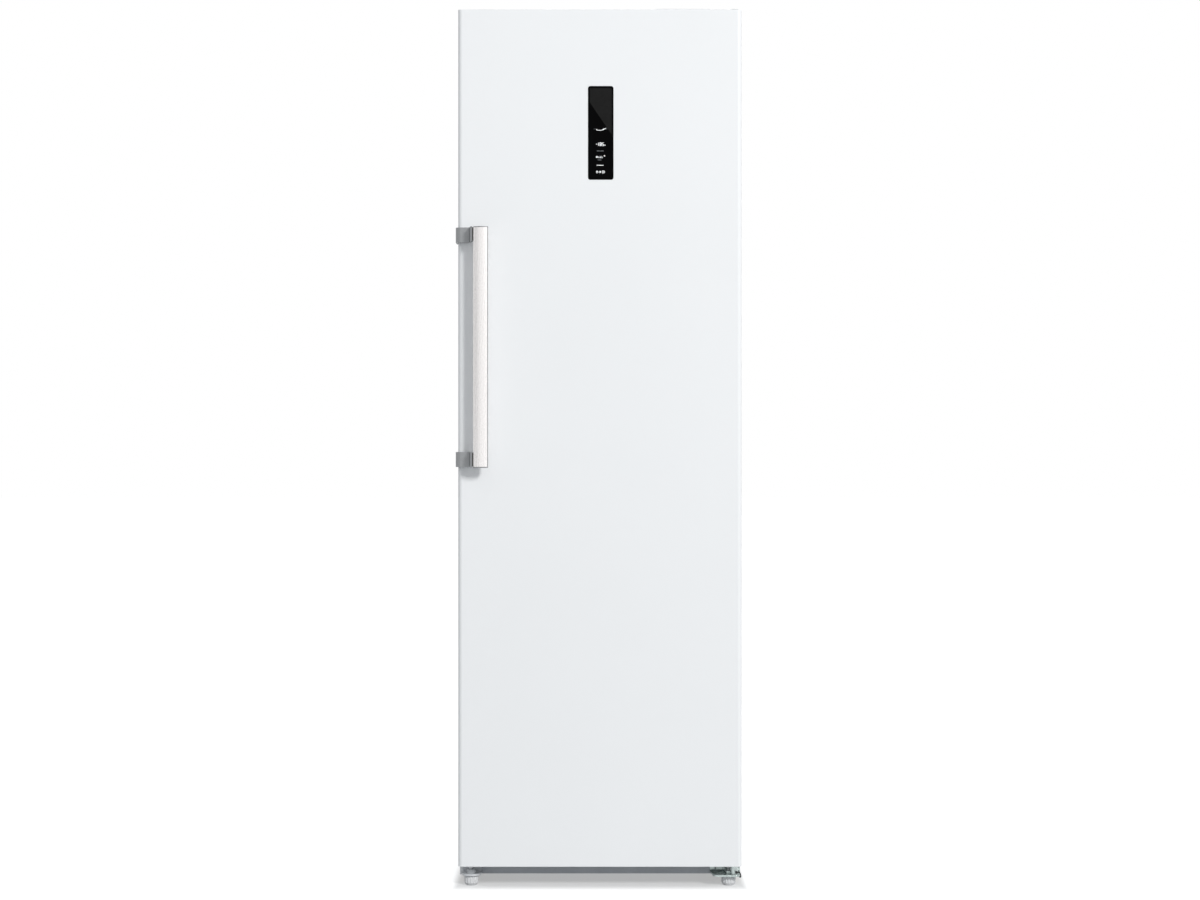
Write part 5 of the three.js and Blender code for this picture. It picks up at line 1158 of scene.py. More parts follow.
@dataclass
class Handle:
    """The vertical bar handle on two cast brackets that reach round the door's side."""

    left: float = -263.7
    right: float = -232.9
    back: float = -330.5
    low: float = 881.0
    high: float = 1383.0
    bracket_height: float = 31.4
    wall: float = 4.2
    clearance: float = 0.3
    leg_end: float = -265.5
    arm: float = 13.0
    groove: float = 2.3
    tenon: float = 28.0
    corner: float = 9.0

    def section(self, inset: float) -> list[Flat]:
        """The bar's section: crowned face, soft left edge, crisp right edge with a fine groove.

        Args:
            inset: How far the section is drawn in.

        Returns:
            The section in X and Y.
        """
        x0, x1 = self.left + inset, self.right - inset
        y0, y1 = HANDLE_FRONT + inset, self.back - inset
        middle, reach = x0 + 18, 44
        face = [(middle + reach * math.sin(math.radians(a)), y0 + reach * (1 - math.cos(math.radians(a))))
                for a in (-19, -16, -12, -8, -4, 0, 4, 8, 12, 15)]
        left, right = face[0], face[-1]
        return [(x0, left[1] + 3.4), (x0 + 0.3, left[1] + 2.1), (x0 + 1.3, left[1] + 0.9), *face,
                (x1 - 0.35, right[1] + 0.45), (x1, right[1] + 1.5), (x1, y0 + 6.2), (x1 - 0.6, y0 + 6.5),
                (x1 - 0.6, y0 + 7.1), (x1, y0 + 7.4), *arc(x1 - 3, y1 - 3, 3, 0, 90, 5),
                *arc(x0 + 5, y1 - 5, 5, 90, 170, 6)]

    def bar(self) -> None:
        """Make the bar with softly faced ends; these and the crisp right edge take a darker grey, painted shade."""
        ends = [(1.3, self.low), (0.45, self.low + 0.35), (0.08, self.low + 1), (0, self.low + 2)]
        levels = ends + [(inset, self.low + self.high - z) for inset, z in reversed(ends)]
        made = Draft().stack(Axis.Z, [(self.section(inset), z) for inset, z in levels]).show(
            "bar", "handle_bar", BAR_METAL, BAR_EDGE_PAINTED_SHADE, body="door")
        # Ends and crisp right edge take the darker grey: painted shade.
        for face in made.data.polygons:
            at_end = abs(face.center.z / MM - (self.low + self.high) / 2) > (self.high - self.low) / 2 - 1.9
            at_edge = face.center.x / MM > self.right - 1.5 and face.center.y / MM < HANDLE_FRONT + 6
            face.material_index = 1 if at_end or at_edge else 0

    def plan(self) -> list[Flat]:
        """The bracket's outline in X and Y: leg, rounded corner and forward arm.

        Returns:
            The outline's points.
        """
        outer, inner = -SIDE - self.clearance - self.wall, -SIDE - self.clearance
        face = DOOR_FRONT - self.clearance
        front, end = face - self.arm, self.left - self.groove
        r = 11
        hip = [(end - 7.5 + 3.5 * t, front + (HANDLE_FRONT + 5 - front) * t * t) for t in (0, 0.25, 0.5, 0.75, 1)]
        heel = [(end - 0.6 - 12 * t, self.back + (face - self.back) * (1 - (1 - t) ** 3)) for t in
                (0, 0.12, 0.25, 0.4, 0.6, 0.8, 1)]
        return [(inner, self.leg_end), (outer + 1.2, self.leg_end), (outer + 0.3, self.leg_end - 0.7),
                (outer, self.leg_end - 2.2), *arc(outer + r, front + r, r, 180, 270, 10), *hip,
                (end, HANDLE_FRONT + 3), (end, self.back), *heel,
                *arc(-SIDE + self.corner, DOOR_FRONT + self.corner, self.corner + self.clearance, 270, 180, 8)]

    def bracket(self, end: str, low: float) -> None:
        """Make one cast bracket with the tenon that carries the bar; the tenon's dark grey is painted shade in the
        groove.

        Args:
            end: Which end of the bar it holds.
            low: Where it starts.
        """
        draft = Draft().run(Axis.Z, self.plan(), low, low + self.bracket_height)
        middle, half = low + self.bracket_height / 2, self.tenon / 2
        # The tenon takes the dark grey finish: painted shade in the groove beside the bar.
        draft.box((self.left - self.groove - 1, HANDLE_FRONT + 7.5, middle - half),
                  (self.left + 0.5, self.back - 4, middle + half), tag=1)
        draft.show(f"{end}_bracket", f"handle_{end}_bracket", BRACKET_GREY, TENON_PAINTED_SHADE, body="door", bevel=0.9,
                   segments=3)

    def build(self) -> None:
        """Make the bar and the brackets."""
        self.bar()
        self.bracket("upper", self.high - self.bracket_height)
        self.bracket("lower", self.low + 1.4)


@dataclass
class DoorLeaf:
    """The door: folded skin, lining with its raised panel, caps, foam, gasket and bushes."""

    sheet: float = 1.0
    lip: float = 12.0
    corner: float = 9.0
    skin_back: float = DOOR_BACK - 2.3
    lining: float = 2.0
    plug_inset: float = 72.0
    plug_depth: float = 30.0
    taper: float = 10.0
    border: float = 34.0
    sink: float = 14.0
    rib_height: float = 5.0
    ribs: int = 5

    def profile(self) -> list[Flat]:
        """The skin's section in X and Y from the face round the corner, along the side and into the lip.

        Returns:
            The section's points, for the right side.
        """
        r, x, back = self.corner, SIDE, self.skin_back
        outside = [*arc(x - r, DOOR_FRONT + r, r, -90, 0, 14), *arc(x - 1, back - 1, 1, 0, 90, 3),
                   (x - self.lip, back)]
        inside = [(x - self.lip, back - self.sheet), (x - self.sheet, back - self.sheet),
                  *arc(x - r, DOOR_FRONT + r, r - self.sheet, 0, -90, 14)]
        return outside + inside

    def skin(self) -> None:
        """Make the painted skin with its window and rolled window edge."""
        display = Display()
        draft = Draft()
        for mirror in (1, -1):
            outline = [(x * mirror, y) for x, y in self.profile()]
            draft.run(Axis.Z, outline, DOOR_LOW, DOOR_TOP)
        steps = 8
        flat, inner = SIDE - self.corner, DOOR_FRONT + self.sheet
        corners = [corner for corner in ((flat, DOOR_LOW), (flat, DOOR_TOP), (-flat, DOOR_TOP), (-flat, DOOR_LOW))
                   for _ in range(steps + 1)]
        window = [(rounded(display.left - grow, display.right + grow, display.low - grow, display.high + grow,
                           display.radius + grow, steps), depth)
                  for grow, depth in ((0.75, DOOR_FRONT), (0.42, DOOR_FRONT + 0.14), (0.3, DOOR_FRONT + 0.45),
                                      (0.3, inner))]
        draft.stack(Axis.Y, [(corners, DOOR_FRONT), *window, (corners, inner)], caps=Caps.NONE)
        draft.show("painted_skin", "door_skin", WHITE_PAINT, body="door")

    def panel(self) -> None:
        """Make the moulded lining: flat rim, raised panel and sunk middle, all with soft edges."""
        rise = DOOR_BACK + self.plug_depth
        foot, crest = self.plug_inset, self.plug_inset + self.taper
        middle = crest + self.border
        floor = rise - self.sink
        levels = [(0, DOOR_BACK - self.lining, 1), (0, DOOR_BACK - 0.6, 1), (0.6, DOOR_BACK, 1),
                  (foot - 5, DOOR_BACK, 16), (foot - 1.6, DOOR_BACK + 0.5, 15),
                  (foot + 0.6, DOOR_BACK + 3, 14), (crest - 1.4, rise - 4.4, 14),
                  (crest + 0.4, rise - 1.3, 13), (crest + 4, rise, 12),
                  (middle - 3, rise, 18), (middle - 0.6, rise - 0.8, 16), (middle + 0.8, rise - 2.8, 15),
                  (middle + 6.2, floor + 2.4, 12), (middle + 8.6, floor, 11)]
        Draft().stack(Axis.Y, [(frame_of(inset, radius, 8), depth) for inset, depth, radius in levels],
                      caps=Caps.LAST).show("lining_panel", "door_liner", INNER_WHITE, body="door")

    def rib(self) -> Piece:
        """Draw one stiffening rib of the sunk middle, the lowest of the row.

        Returns:
            The rib.
        """
        middle = self.plug_inset + self.taper + self.border
        floor = DOOR_BACK + self.plug_depth - self.sink
        half = SIDE - middle - 30
        z = DOOR_LOW + middle + 60
        levels = [(half, 22, 21, floor - 0.5), (half, 22, 21, floor + 0.2), (half - 2, 19.5, 18, floor + 1),
                  (half - 5, 16.2, 15, floor + 4), (half - 6.5, 14.4, 13.5, floor + 4.85),
                  (half - 9, 12, 11.5, floor + self.rib_height)]
        return Draft().stack(Axis.Y, [(rounded(-wide, wide, z - tall, z + tall, radius, 6), depth)
                                      for wide, tall, radius, depth in levels], caps=Caps.LAST).piece(
            "rib_master", INNER_WHITE)

    def gasket(self) -> None:
        """Make the magnetic gasket: foot, folded bellows and rounded bead, mitred in the corners."""
        seat, face = DOOR_BACK, CABINET_FRONT - 0.3
        half = [(16, seat + 0.8), (16.6, seat + 2), (19, seat + 2.9), (22.9, seat + 3), (23.6, seat + 3.7),
                (22.6, seat + 4.5), (22.5, seat + 4.9), (23.5, seat + 5.7), (22.4, seat + 6.3), (20.6, seat + 6.5),
                (19.7, seat + 7.2), (19.5, seat + 8.6), (20, face - 0.5), (20.9, face)]
        other = [(54 - inset, depth) for inset, depth in reversed(half)]
        lip = [(38, seat + 0.8), (37.6, seat + 0.1), (16.4, seat + 0.1)]
        mitred([*half, *other[:-1], *lip]).show("magnetic_gasket", "door_gasket", SEAL_GREY, body="door", sharp=60)

    def bush(self, end: str, low: float) -> None:
        """Make a hinge bush with chamfered mouths.

        Args:
            end: Which end of the door it is in.
            low: Where it starts.
        """
        profile = [(5.1, 0.6), (5.7, 0), (8.1, 0), (8.56, 0.5), (8.56, 13.5), (8.1, 14), (5.7, 14), (5.1, 13.4),
                   (5.1, 0.6)]
        Draft().turn(Axis.Z, (HINGE_X, HINGE_Y, low), profile, 40).show(
            f"{end}_bush", f"{end}_hinge_bush", GREY_PLASTIC, body="door")

    def foam(self) -> None:
        """Make the foam inside the leaf, stepped into the raised panel."""
        plug = self.plug_inset + self.taper
        levels = [(1.6, 8, DOOR_FRONT + 17.5), (1.6, 8, DOOR_BACK - self.lining - 1.6),
                  (plug, 12, DOOR_BACK - self.lining - 1.6), (plug + 2, 12, DOOR_BACK + self.plug_depth - 18)]
        outlines = [([(x, min(max(z, DOOR_LOW + 27), DOOR_TOP - 27)) for x, z in frame_of(inset, radius)], depth)
                    for inset, radius, depth in levels]
        Draft().stack(Axis.Y, outlines).show("leaf_foam", "door_foam", RIGID_FOAM, body="door")

    def build(self, rows: Pattern) -> None:
        """Make the leaf's pieces.

        Args:
            rows: The pattern of a straight row.
        """
        self.skin()
        self.panel()
        middle = self.plug_inset + self.taper + self.border
        pitch = (DOOR_TOP - DOOR_LOW - 2 * middle - 120) / (self.ribs - 1)
        rows.spread("lining_ribs", "door", self.rib(), INNER_WHITE, Count=self.ribs, Step=(0.0, 0.0, pitch * MM))
        self.gasket()
        self.bush("upper", 1826.7)
        self.bush("lower", 45.3)
        self.foam()
        refined("door_top_cap", CAP_WHITE, 0.5, "door")
        refined("door_bottom_cap", CAP_WHITE, 0.5, "door")


@dataclass
class Foot:
    """A levelling foot: fluted grip and threaded stem."""

    x: float
    y: float = -262.0
    radius: float = 15.0
    height: float = 20.7
    flutes: int = 14
    flute: float = 1.5
    stem: float = 5.0
    stem_top: float = 37.7
    pitch: float = 1.5

    def outline(self, radius: float, depth: float) -> list[Flat]:
        """A fluted circle: narrow round grooves between wider lands.

        Args:
            radius: Radius over the lands.
            depth: Depth of the grooves.

        Returns:
            The outline's points.
        """
        count = self.flutes * 8
        made = []
        for index in range(count):
            angle = math.tau * index / count
            groove = max(0, math.cos(angle * self.flutes)) ** 2
            r = radius - depth * groove
            made.append((self.x + r * math.cos(angle), self.y + r * math.sin(angle)))
        return made

    def grip(self, draft: Draft) -> None:
        """Draw the grip from its sole up.

        Args:
            draft: The draft that takes it.
        """
        r, h, d = self.radius, self.height, self.flute
        levels = [(r - 4.6, 0, 0), (r - 4, 0, 0.5), (r - 2.2, 0.3 * d, 2.6), (r - 0.5, d, 5.2), (r, d, 6.4),
                  (r, d, h - 3.2), (r - 0.5, d, h - 1.6), (r - 1.5, 0.4 * d, h - 0.5), (r - 2.8, 0, h)]
        draft.stack(Axis.Z, [(self.outline(radius, depth), z) for radius, depth, z in levels])

    def thread(self, draft: Draft) -> None:
        """Draw the stem with a real helix: the section turns with its height.

        Args:
            draft: The draft that takes it.
        """
        sides, step = 24, 0.3
        count = int((self.stem_top - self.height) / step)
        levels = []
        for index in range(count + 1):
            z = self.height - 0.4 + index * step
            outline = []
            for side in range(sides):
                turn = (side / sides - z / self.pitch) % 1
                depth = 0.55 * abs(2 * turn - 1) * min(1, (count - index) / 3)
                angle = math.tau * side / sides
                r = self.stem - 0.05 - depth
                outline.append((self.x + r * math.cos(angle), self.y + r * math.sin(angle)))
            levels.append((outline, min(z, self.stem_top)))
        draft.stack(Axis.Z, levels, tag=1)

    def build(self, side: str) -> None:
        """Make the foot of one side.

        Args:
            side: Left or right.
        """
        draft = Draft()
        self.grip(draft)
        self.thread(draft)
        draft.show(f"{side}_foot_piece", f"front_{side}_foot", FOOT_GREY, STEEL, body=f"{side}_foot", sharp=50)


@dataclass
class Base:
    """What stands under the door: feet, lower hinge with its latch, foot bracket and rail."""

    plate_low: float = 21.0
    plate_top: float = 25.0
    hinge_left: float = 237.5
    hinge_right: float = 297.0
    hinge_front: float = -289.5
    upright: float = CABINET_FRONT - 0.3
    upright_top: float = 57.0
    foot_x: float = 271.5
    foot_y: float = -262.0

    def hinge_plan(self) -> list[Flat]:
        """The lower hinge's plate with its rounded front corners.

        Returns:
            Its outline in X and Y.
        """
        left, right, front = self.hinge_left, self.hinge_right, self.hinge_front
        return [(left - 4, self.upright), (left - 4, self.upright - 5), (left, front + 12),
                *arc(left + 12, front + 12, 12, 180, 270, 10), *arc(right - 12, front + 12, 12, -90, 0, 10),
                (right, self.upright)]

    def hinge(self) -> None:
        """Make the zinc angle with its gussets, pin, collar, washer and foot nut."""
        draft = Draft()
        draft.run(Axis.Z, self.hinge_plan(), self.plate_low, self.plate_top)
        left, right = self.hinge_left - 4, self.hinge_right
        bend = [(self.upright, self.plate_low), (self.upright, self.upright_top), (self.upright - 4, self.upright_top),
                *arc(self.upright - 8, self.plate_top + 4, 4, 0, -90, 6),
                (self.upright - 8, self.plate_low + 0.5)]
        draft.run(Axis.X, bend, left, right)
        for x in (self.hinge_left + 6, self.hinge_right - 10):
            web = [(self.upright - 17, self.plate_top - 1), (self.upright - 3, self.plate_top - 1),
                   (self.upright - 3, self.plate_top + 14), (self.upright - 5, self.plate_top + 14)]
            draft.run(Axis.X, web, x, x + 3)
        centre = (HINGE_X, HINGE_Y, 0)
        top = self.plate_top
        draft.turn(Axis.Z, centre, [(8.6, top - 0.5), (8.6, top + 1), (8, top + 1.6), (8, 41.6), (7.5, 42.3),
                                    (5, 42.4), (5, 57.4), (4.2, 58.6), (2.2, 59), (0, 59)], 40)
        draft.turn(Axis.Z, centre, [(0, self.plate_low - 0.2), (5.2, self.plate_low - 0.2), (5.8, self.plate_low),
                                    (5.8, self.plate_low + 0.6)], 32)
        draft.run(Axis.Z, ring(9.2, 6, (self.foot_x, self.foot_y)), top - 0.2, top + 5)
        draft.show("lower_hinge", "lower_hinge_bracket", ZINC, bevel=0.5, sharp=40)

    def latch(self) -> None:
        """Make the small black hook at the hinge plate's outer corner."""
        path = smooth_path([(287, -290.6, 30.6), (291.6, -290.8, 31.4), (294.2, -290.8, 28.8), (295.2, -290.8, 25),
                            (295.6, -290.6, 21.8), (294.2, -290.2, 20.8), (292.8, -289.9, 22)], 6)
        count = len(path) - 1
        radii = [1.35 if 0 < index < count else 0.9 for index in range(count + 1)]
        draft = Draft().tube(path, radii, 12)
        draft.turn(Axis.Y, (287, -292, 30.6), [(0, 0), (2.6, 0), (3, 0.5), (3, 2.4)], 24)
        draft.show("hinge_latch", "", BLACK_PLASTIC)

    def left_bracket(self) -> None:
        """Make the left foot's angle, with a bend, a rounded nose and its nut boss."""
        draft = Draft()
        x, half, y = -self.foot_x, 20, self.foot_y
        plan = [(x - half, self.upright), *arc(x, y, half, 180, 360, 24), (x + half, self.upright)]
        draft.run(Axis.Z, plan, self.plate_low, self.plate_top)
        bend = [(self.upright, self.plate_low), (self.upright, self.upright_top), (self.upright - 3, self.upright_top),
                *arc(self.upright - 6, self.plate_top + 3, 3, 0, -90, 6), (self.upright - 6, self.plate_low + 0.5)]
        draft.run(Axis.X, bend, x - half, x + half)
        draft.turn(Axis.Z, (x, y, 0), [(9.6, 24.5), (9.6, 25.6), (9, 26.2), (9, 32.2), (8.4, 33), (5.2, 33),
                                         (5.2, 26)], 32)
        draft.show("left_bracket", "left_foot_bracket", PALE_BRACKET, bevel=0.5, sharp=40)

    def build(self, fixings: Fixings) -> None:
        """Make the base's pieces and mark their screws.

        Args:
            fixings: The cabinet's screws.
        """
        self.hinge()
        self.latch()
        self.left_bracket()
        Foot(-self.foot_x).build("left")
        Foot(self.foot_x).build("right")
        refined("front_rail", RAIL_GREY, 0.35)
        for x, y, z, size in ((250, self.upright - 4, 46, 0.9), (288, self.upright - 4, 46, 0.9),
                              (-284, self.upright - 3, 46, 0.9), (-259, self.upright - 3, 46, 0.9),
                              (-228, CABINET_FRONT, 64, 0.85), (0, CABINET_FRONT, 64, 0.85),
                              (226, CABINET_FRONT, 64, 0.85)):
            fixings.add((x, y, z), FRONTWARDS, size)


@dataclass
class Back:
    """The rear: a pressed panel on screws, above the machine bay."""

    low: float = 263.0
    inset: float = 1.3
    face: float = CABINET_BACK - 0.45
    bead: float = 30.0

    def panel(self) -> None:
        """Make the galvanised rear sheet with a bead pressed along its edge."""
        back, half = self.face, SIDE - self.inset
        levels = [(0, back - 0.6), (0, back - 0.15), (0.15, back), (self.bead, back), (self.bead + 1.5, back + 0.3),
                  (self.bead + 5, back + 0.4), (self.bead + 8.5, back + 0.3), (self.bead + 10, back)]
        Draft().slabs(Axis.Y, (-half, half, self.low, CABINET_TOP - self.inset), [
            (inset, 8, depth) for inset, depth in levels]).show("rear_panel", "back_panel", GALVANISED)

    def build(self, fixings: Fixings) -> None:
        """Make the panel and mark its screws.

        Args:
            fixings: The rear's low screws.
        """
        self.panel()
        edge, margin = SIDE - 14, 14
        for index in range(9):
            z = self.low + margin + index * (CABINET_TOP - 2 * margin - self.low) / 8
            for x in (-edge, edge):
                fixings.add((x, self.face, z), BACKWARDS)
        for x in (-142, 0, 142):
            for z in (self.low + margin, CABINET_TOP - margin):
                fixings.add((x, self.face, z), BACKWARDS)


@dataclass
class TopHinge:
    """The upper hinge: its plate with the pin, and the moulded cover over it."""

    left: float = 116.5
    right: float = 288.5
    plateau: float = 230.5
    front: float = -262.5
    back: float = -166.5
    floor: float = 1836.0
    door_room: float = 1844.9
    high: float = 1850.0
    low: float = 1847.2
    wall: float = 2.0

    def outline(self, inset: float, bottom: float) -> list[Flat]:
        """The cover's section: a soft high part, an S-shaped step and a low hinge end.

        Args:
            inset: How far it is drawn in.
            bottom: Its lower edge.

        Returns:
            The section in X and Z.
        """
        x0, x1, high, low = self.left + inset, self.right - inset, self.high - inset, self.low - inset
        step = [(self.plateau + 8 * t, high + (low - high) * (3 * t * t - 2 * t ** 3)) for t in
                (0, 0.2, 0.4, 0.6, 0.8, 1)]
        return [(x1, bottom), *arc(x1 - 2.4, low - 2.4, 2.4, 0, 90, 5), *reversed(step),
                *arc(x0 + 5, high - 5, 5, 90, 180, 7), (x0, bottom)]

    def cover(self) -> None:
        """Make the cover with softened front and rear, cut higher over the door."""
        draft = Draft()
        front, back, step = self.front, self.back, CABINET_FRONT + 0.6
        for bottom, levels in ((self.floor, [(1.6, back), (0.5, back - 0.4), (0, back - 1.6), (0, step)]),
                               (self.door_room, [(0, step), (0, front + 1.6), (0.5, front + 0.4), (1.6, front)])):
            draft.stack(Axis.Y, [(self.outline(inset, bottom), depth) for inset, depth in levels])
        draft.show("hinge_cover", "top_hinge_cover", CAP_WHITE)

    def build(self) -> None:
        """Make the cover and the plate."""
        self.cover()
        refined("top_hinge_bracket", ZINC, 0.5)


@dataclass
class Compressor:
    """The hermetic compressor with its mounts, terminals' cover and evaporation tray."""

    x: float = 60.0
    y: float = 248.5
    base: float = 53.0
    plate: float = 40.0
    radius: float = 62.0
    stretch: float = 1.24
    height: float = 148.0
    reach_x: float = 84.9
    reach_y: float = 56.0
    stub: float = -30.9
    tray: Spot = (95.0, 59.0, 30.0)

    def pot(self, draft: Draft) -> None:
        """Draw the two pressed halves of the pot with the weld bead between them.

        Args:
            draft: The draft that takes them.
        """
        r, h = self.radius, self.height
        lower = [(0, 0.4), (r - 16, 0), (r - 9, 1.6), (r - 4, 5.6), (r - 1.2, 12), (r, 20), (r, 61)]
        rim = [(r + 0.8, 61.6), (r + 2.6, 62.6), (r + 3, 64), (r + 3, 65.2), (r + 2.4, 65.9), (r + 2.9, 66.8),
               (r + 3, 68.4), (r + 2.2, 69.8), (r + 0.4, 70.6)]
        upper = [(r, 71.6), (r - 0.4, 84), (r - 1.6, 96), (r - 4.4, 108), (r - 9.4, 119), (r - 16.5, 128.6),
                 (r - 25.5, 136.6), (r - 36, 142.6), (r - 46, 146.4), (r - 56, h - 0.3), (0, h)]
        draft.turn(Axis.Z, (self.x, self.y, self.base), lower + rim + upper, 72, 0, (self.stretch, 1))

    def feet(self, draft: Draft) -> None:
        """Draw the pressed foot plate, the rubber mounts and their nuts.

        Args:
            draft: The draft that takes them.
        """
        rx, ry = self.reach_x + 12, self.reach_y
        draft.slabs(Axis.Z, (self.x - rx, self.x + rx, self.y - ry, self.y + ry),
                    [(0, 14, self.base), (0, 14, self.base + 2.2), (0.8, 13.2, self.base + 3)], 8)
        for dx in (-self.reach_x, self.reach_x):
            for dy in (-ry + 14, ry - 14):
                centre = (self.x + dx, self.y + dy, self.plate + 0.3)
                for profile, sides, tag in (
                        ([(4, 0), (10.4, 0), (11, 0.8), (10.8, 2.4), (8.6, 4.2), (8, 6), (8.8, 8),
                          (8, 9.6), (8, 11.6), (9.4, 12.7)], 32, 1),
                        ([(9.4, 15.7), (9.8, 16.8), (8.4, 18.6), (6.9, 19.4), (4.2, 19.4)], 32, 1),
                        ([(4.2, 19), (4.2, 19.9), (7.6, 19.9), (7.6, 19.2)], 24, 2)):
                    draft.turn(Axis.Z, centre, profile, sides, tag)

    def stubs(self, draft: Draft) -> None:
        """Draw the pipe stubs with their brazing collars and the pinched filling pipe.

        Args:
            draft: The draft that takes them.
        """
        profile = [(0, 0), (4.5, 0), (4.7, 0.8), (4.7, 7), (4.2, 8), (4.2, 26), (5.4, 29), (7, 32),
                   (7.4, 40)]
        for y, z in ((self.y - 20, self.base + 78), (self.y + 20, self.base + 54)):
            draft.turn(Axis.X, (self.stub, y, z), profile, 24, 3)
        path = smooth_path([(self.x - 66, self.y + 2, self.base + 40), (self.x - 80, self.y + 4, self.base + 41),
                            (self.x - 86, self.y + 4, self.base + 48), (self.x - 86, self.y + 4, self.base + 74)], 8)
        radii = [3] * (len(path) - 5) + [2.6, 1.8, 1.2, 1.2, 1.2]
        draft.tube(path, radii, 14, 3)

    def body(self) -> None:
        """Make the compressor in one piece of four finishes."""
        draft = Draft()
        self.pot(draft)
        self.feet(draft)
        self.stubs(draft)
        draft.show("compressor_piece", "compressor", POT_BLACK, RUBBER_BLACK, STEEL, COPPER, sharp=45)

    def relay(self) -> None:
        """Make the cover over relay and overload, with ribs and its spring clip."""
        inner = self.x + self.radius * self.stretch - 2
        outer, z0 = inner + 23.5, self.base + 16
        draft = Draft().slabs(Axis.X, (self.y - 29, self.y + 29, z0, z0 + 62), [
            (0, 7, inner), (0, 7, outer - 3), (0.7, 7, outer - 1.2), (2.4, 7, outer)])
        for index in range(6):
            y = self.y - 22 + index * 8.8
            if abs(y - self.y) > 6:
                draft.box((outer - 1, y - 0.9, z0 + 8), (outer + 0.9, y + 0.9, z0 + 54))
        draft.box((outer - 1, self.y - 4.5, z0 + 12), (outer + 1.3, self.y + 4.5, z0 + 50), 1)
        draft.show("relay_cover", "start_relay_cover", BLACK_PLASTIC, STEEL, bevel=0.35)

    def dish(self) -> None:
        """Make the evaporation tray: thin walls, rolled rim and ribs across its floor."""
        half_x, half_y, tall = self.tray
        z = self.base + self.height + 0.3
        levels = [(7.6, 12, 0), (6.6, 13, 0.8), (0.4, 16, tall - 3), (-0.4, 16.6, tall - 2.2),
                  (-3.4, 18, tall - 1.9), (-4, 18.4, tall - 1.2), (-3.6, 18.2, tall - 0.3), (-2.6, 17.6, tall),
                  (1.4, 15.4, tall), (2.2, 14.6, tall - 0.8), (8.6, 11, 2.8), (10.2, 9.6, 2)]
        draft = Draft().slabs(Axis.Z, (self.x - half_x, self.x + half_x, self.y - half_y, self.y + half_y),
                              [(inset, radius, z + up) for inset, radius, up in levels], 8)
        for index in range(5):
            x = self.x - 56 + index * 28
            draft.box((x - 1, self.y - half_y + 16, z + 1.8), (x + 1, self.y + half_y - 16, z + 5))
        draft.show("evaporation_dish", "evaporation_tray", BLACK_PLASTIC, bevel=0.3)

    def build(self) -> None:
        """Make the compressor's pieces."""
        self.body()
        self.relay()
        self.dish()


@dataclass
class Pipework:
    """Copper pipes of the machine bay with the filter drier."""

    radius: float = 3.5
    top: float = 260.4
    wall: float = 149.1
    drier_x: float = -92.0
    drier_y: float = 284.5
    drier_z: float = 105.0
    drier_length: float = 96.0
    drier_radius: float = 9.5
    stub: float = -31.2

    def run(self, draft: Draft, points: Sequence[Sequence[float]], radius: float, tag: int = 0) -> None:
        """Bend a pipe through points."""
        draft.tube(smooth_path(points, 8), radius, 18, tag)

    def collar(self, draft: Draft, axis: Axis, place: Sequence[float], radius: float) -> None:
        """Add a flared and brazed collar round a pipe."""
        draft.turn(axis, place, [(radius, -6), (radius + 0.8, -5.4), (radius + 1.1, -4), (radius + 1.1, 3.6),
                                 (radius + 1.8, 4.6), (radius + 1.5, 6.2), (radius, 7.4)], 20, 1)

    def discharge(self) -> None:
        """Make the hot gas pipe up to the walls, in one bend."""
        y, z = 268.5, 107
        x = self.stub - 26
        draft = Draft()
        self.run(draft, [(self.stub, y, z), (x + 14, y, z + 0.6), (x + 4, y, z + 4), (x, y, z + 15), (x, y, z + 60),
                         (x, y, self.top - 12), (x, y, self.top)], self.radius)
        self.collar(draft, Axis.Z, (x, y, z + 84), self.radius)
        draft.show("discharge_tube", "discharge_pipe", COPPER, BRAZING)

    def suction(self) -> None:
        """Make the suction pipe back from the evaporator."""
        y, z = 228.5, 131
        x = self.stub - 18
        draft = Draft()
        self.run(draft, [(self.stub, y, z), (x + 8, y - 1, z + 0.5), (x + 1, y - 8, z + 6), (x, y - 20, z + 38),
                         (x, y - 31, z + 64), (x, self.wall + 22, z + 73.4), (x, self.wall, z + 74)], self.radius)
        self.collar(draft, Axis.Y, (x, self.wall + 12, z + 74), self.radius)
        draft.show("suction_tube", "suction_pipe", COPPER, BRAZING)

    def drier(self) -> None:
        """Make the filter drier: spun cartridge with rolled grooves, and the thin pipes at its ends."""
        x, y, z, r = self.drier_x, self.drier_y, self.drier_z, self.drier_radius
        length = self.drier_length
        half = [(0, 0), (3.4, 0), (3.6, 1.5), (4.4, 3.8), (6.2, 7), (8.2, 10.6), (9.2, 13), (r, 16),
                (r, 21.4), (r - 0.8, 22.2), (r - 0.8, 23.2), (r, 24)]
        profile = half + [(radius, length - up) for radius, up in reversed(half)]
        draft = Draft().turn(Axis.Z, (x, y, z), profile, 40)
        self.run(draft, [(x, y, z + length - 2), (x, y, z + length + 16), (x, y, self.top)], 2.5)
        self.run(draft, [(x, y, z + 2), (x, y - 0.4, z - 12), (x, y - 12, z - 25), (x, y - 34, z - 26),
                         (x, y - 60, z - 26), (x, self.wall + 14, z - 26), (x, self.wall, z - 26)], 3)
        self.collar(draft, Axis.Z, (x, y, z + length + 3), 3.2)
        self.collar(draft, Axis.Z, (x, y, z - 3), 3.4)
        draft.show("filter_drier_piece", "filter_drier", COPPER, BRAZING)

    def build(self) -> None:
        """Make the pipes and the drier."""
        self.discharge()
        self.suction()
        self.drier()


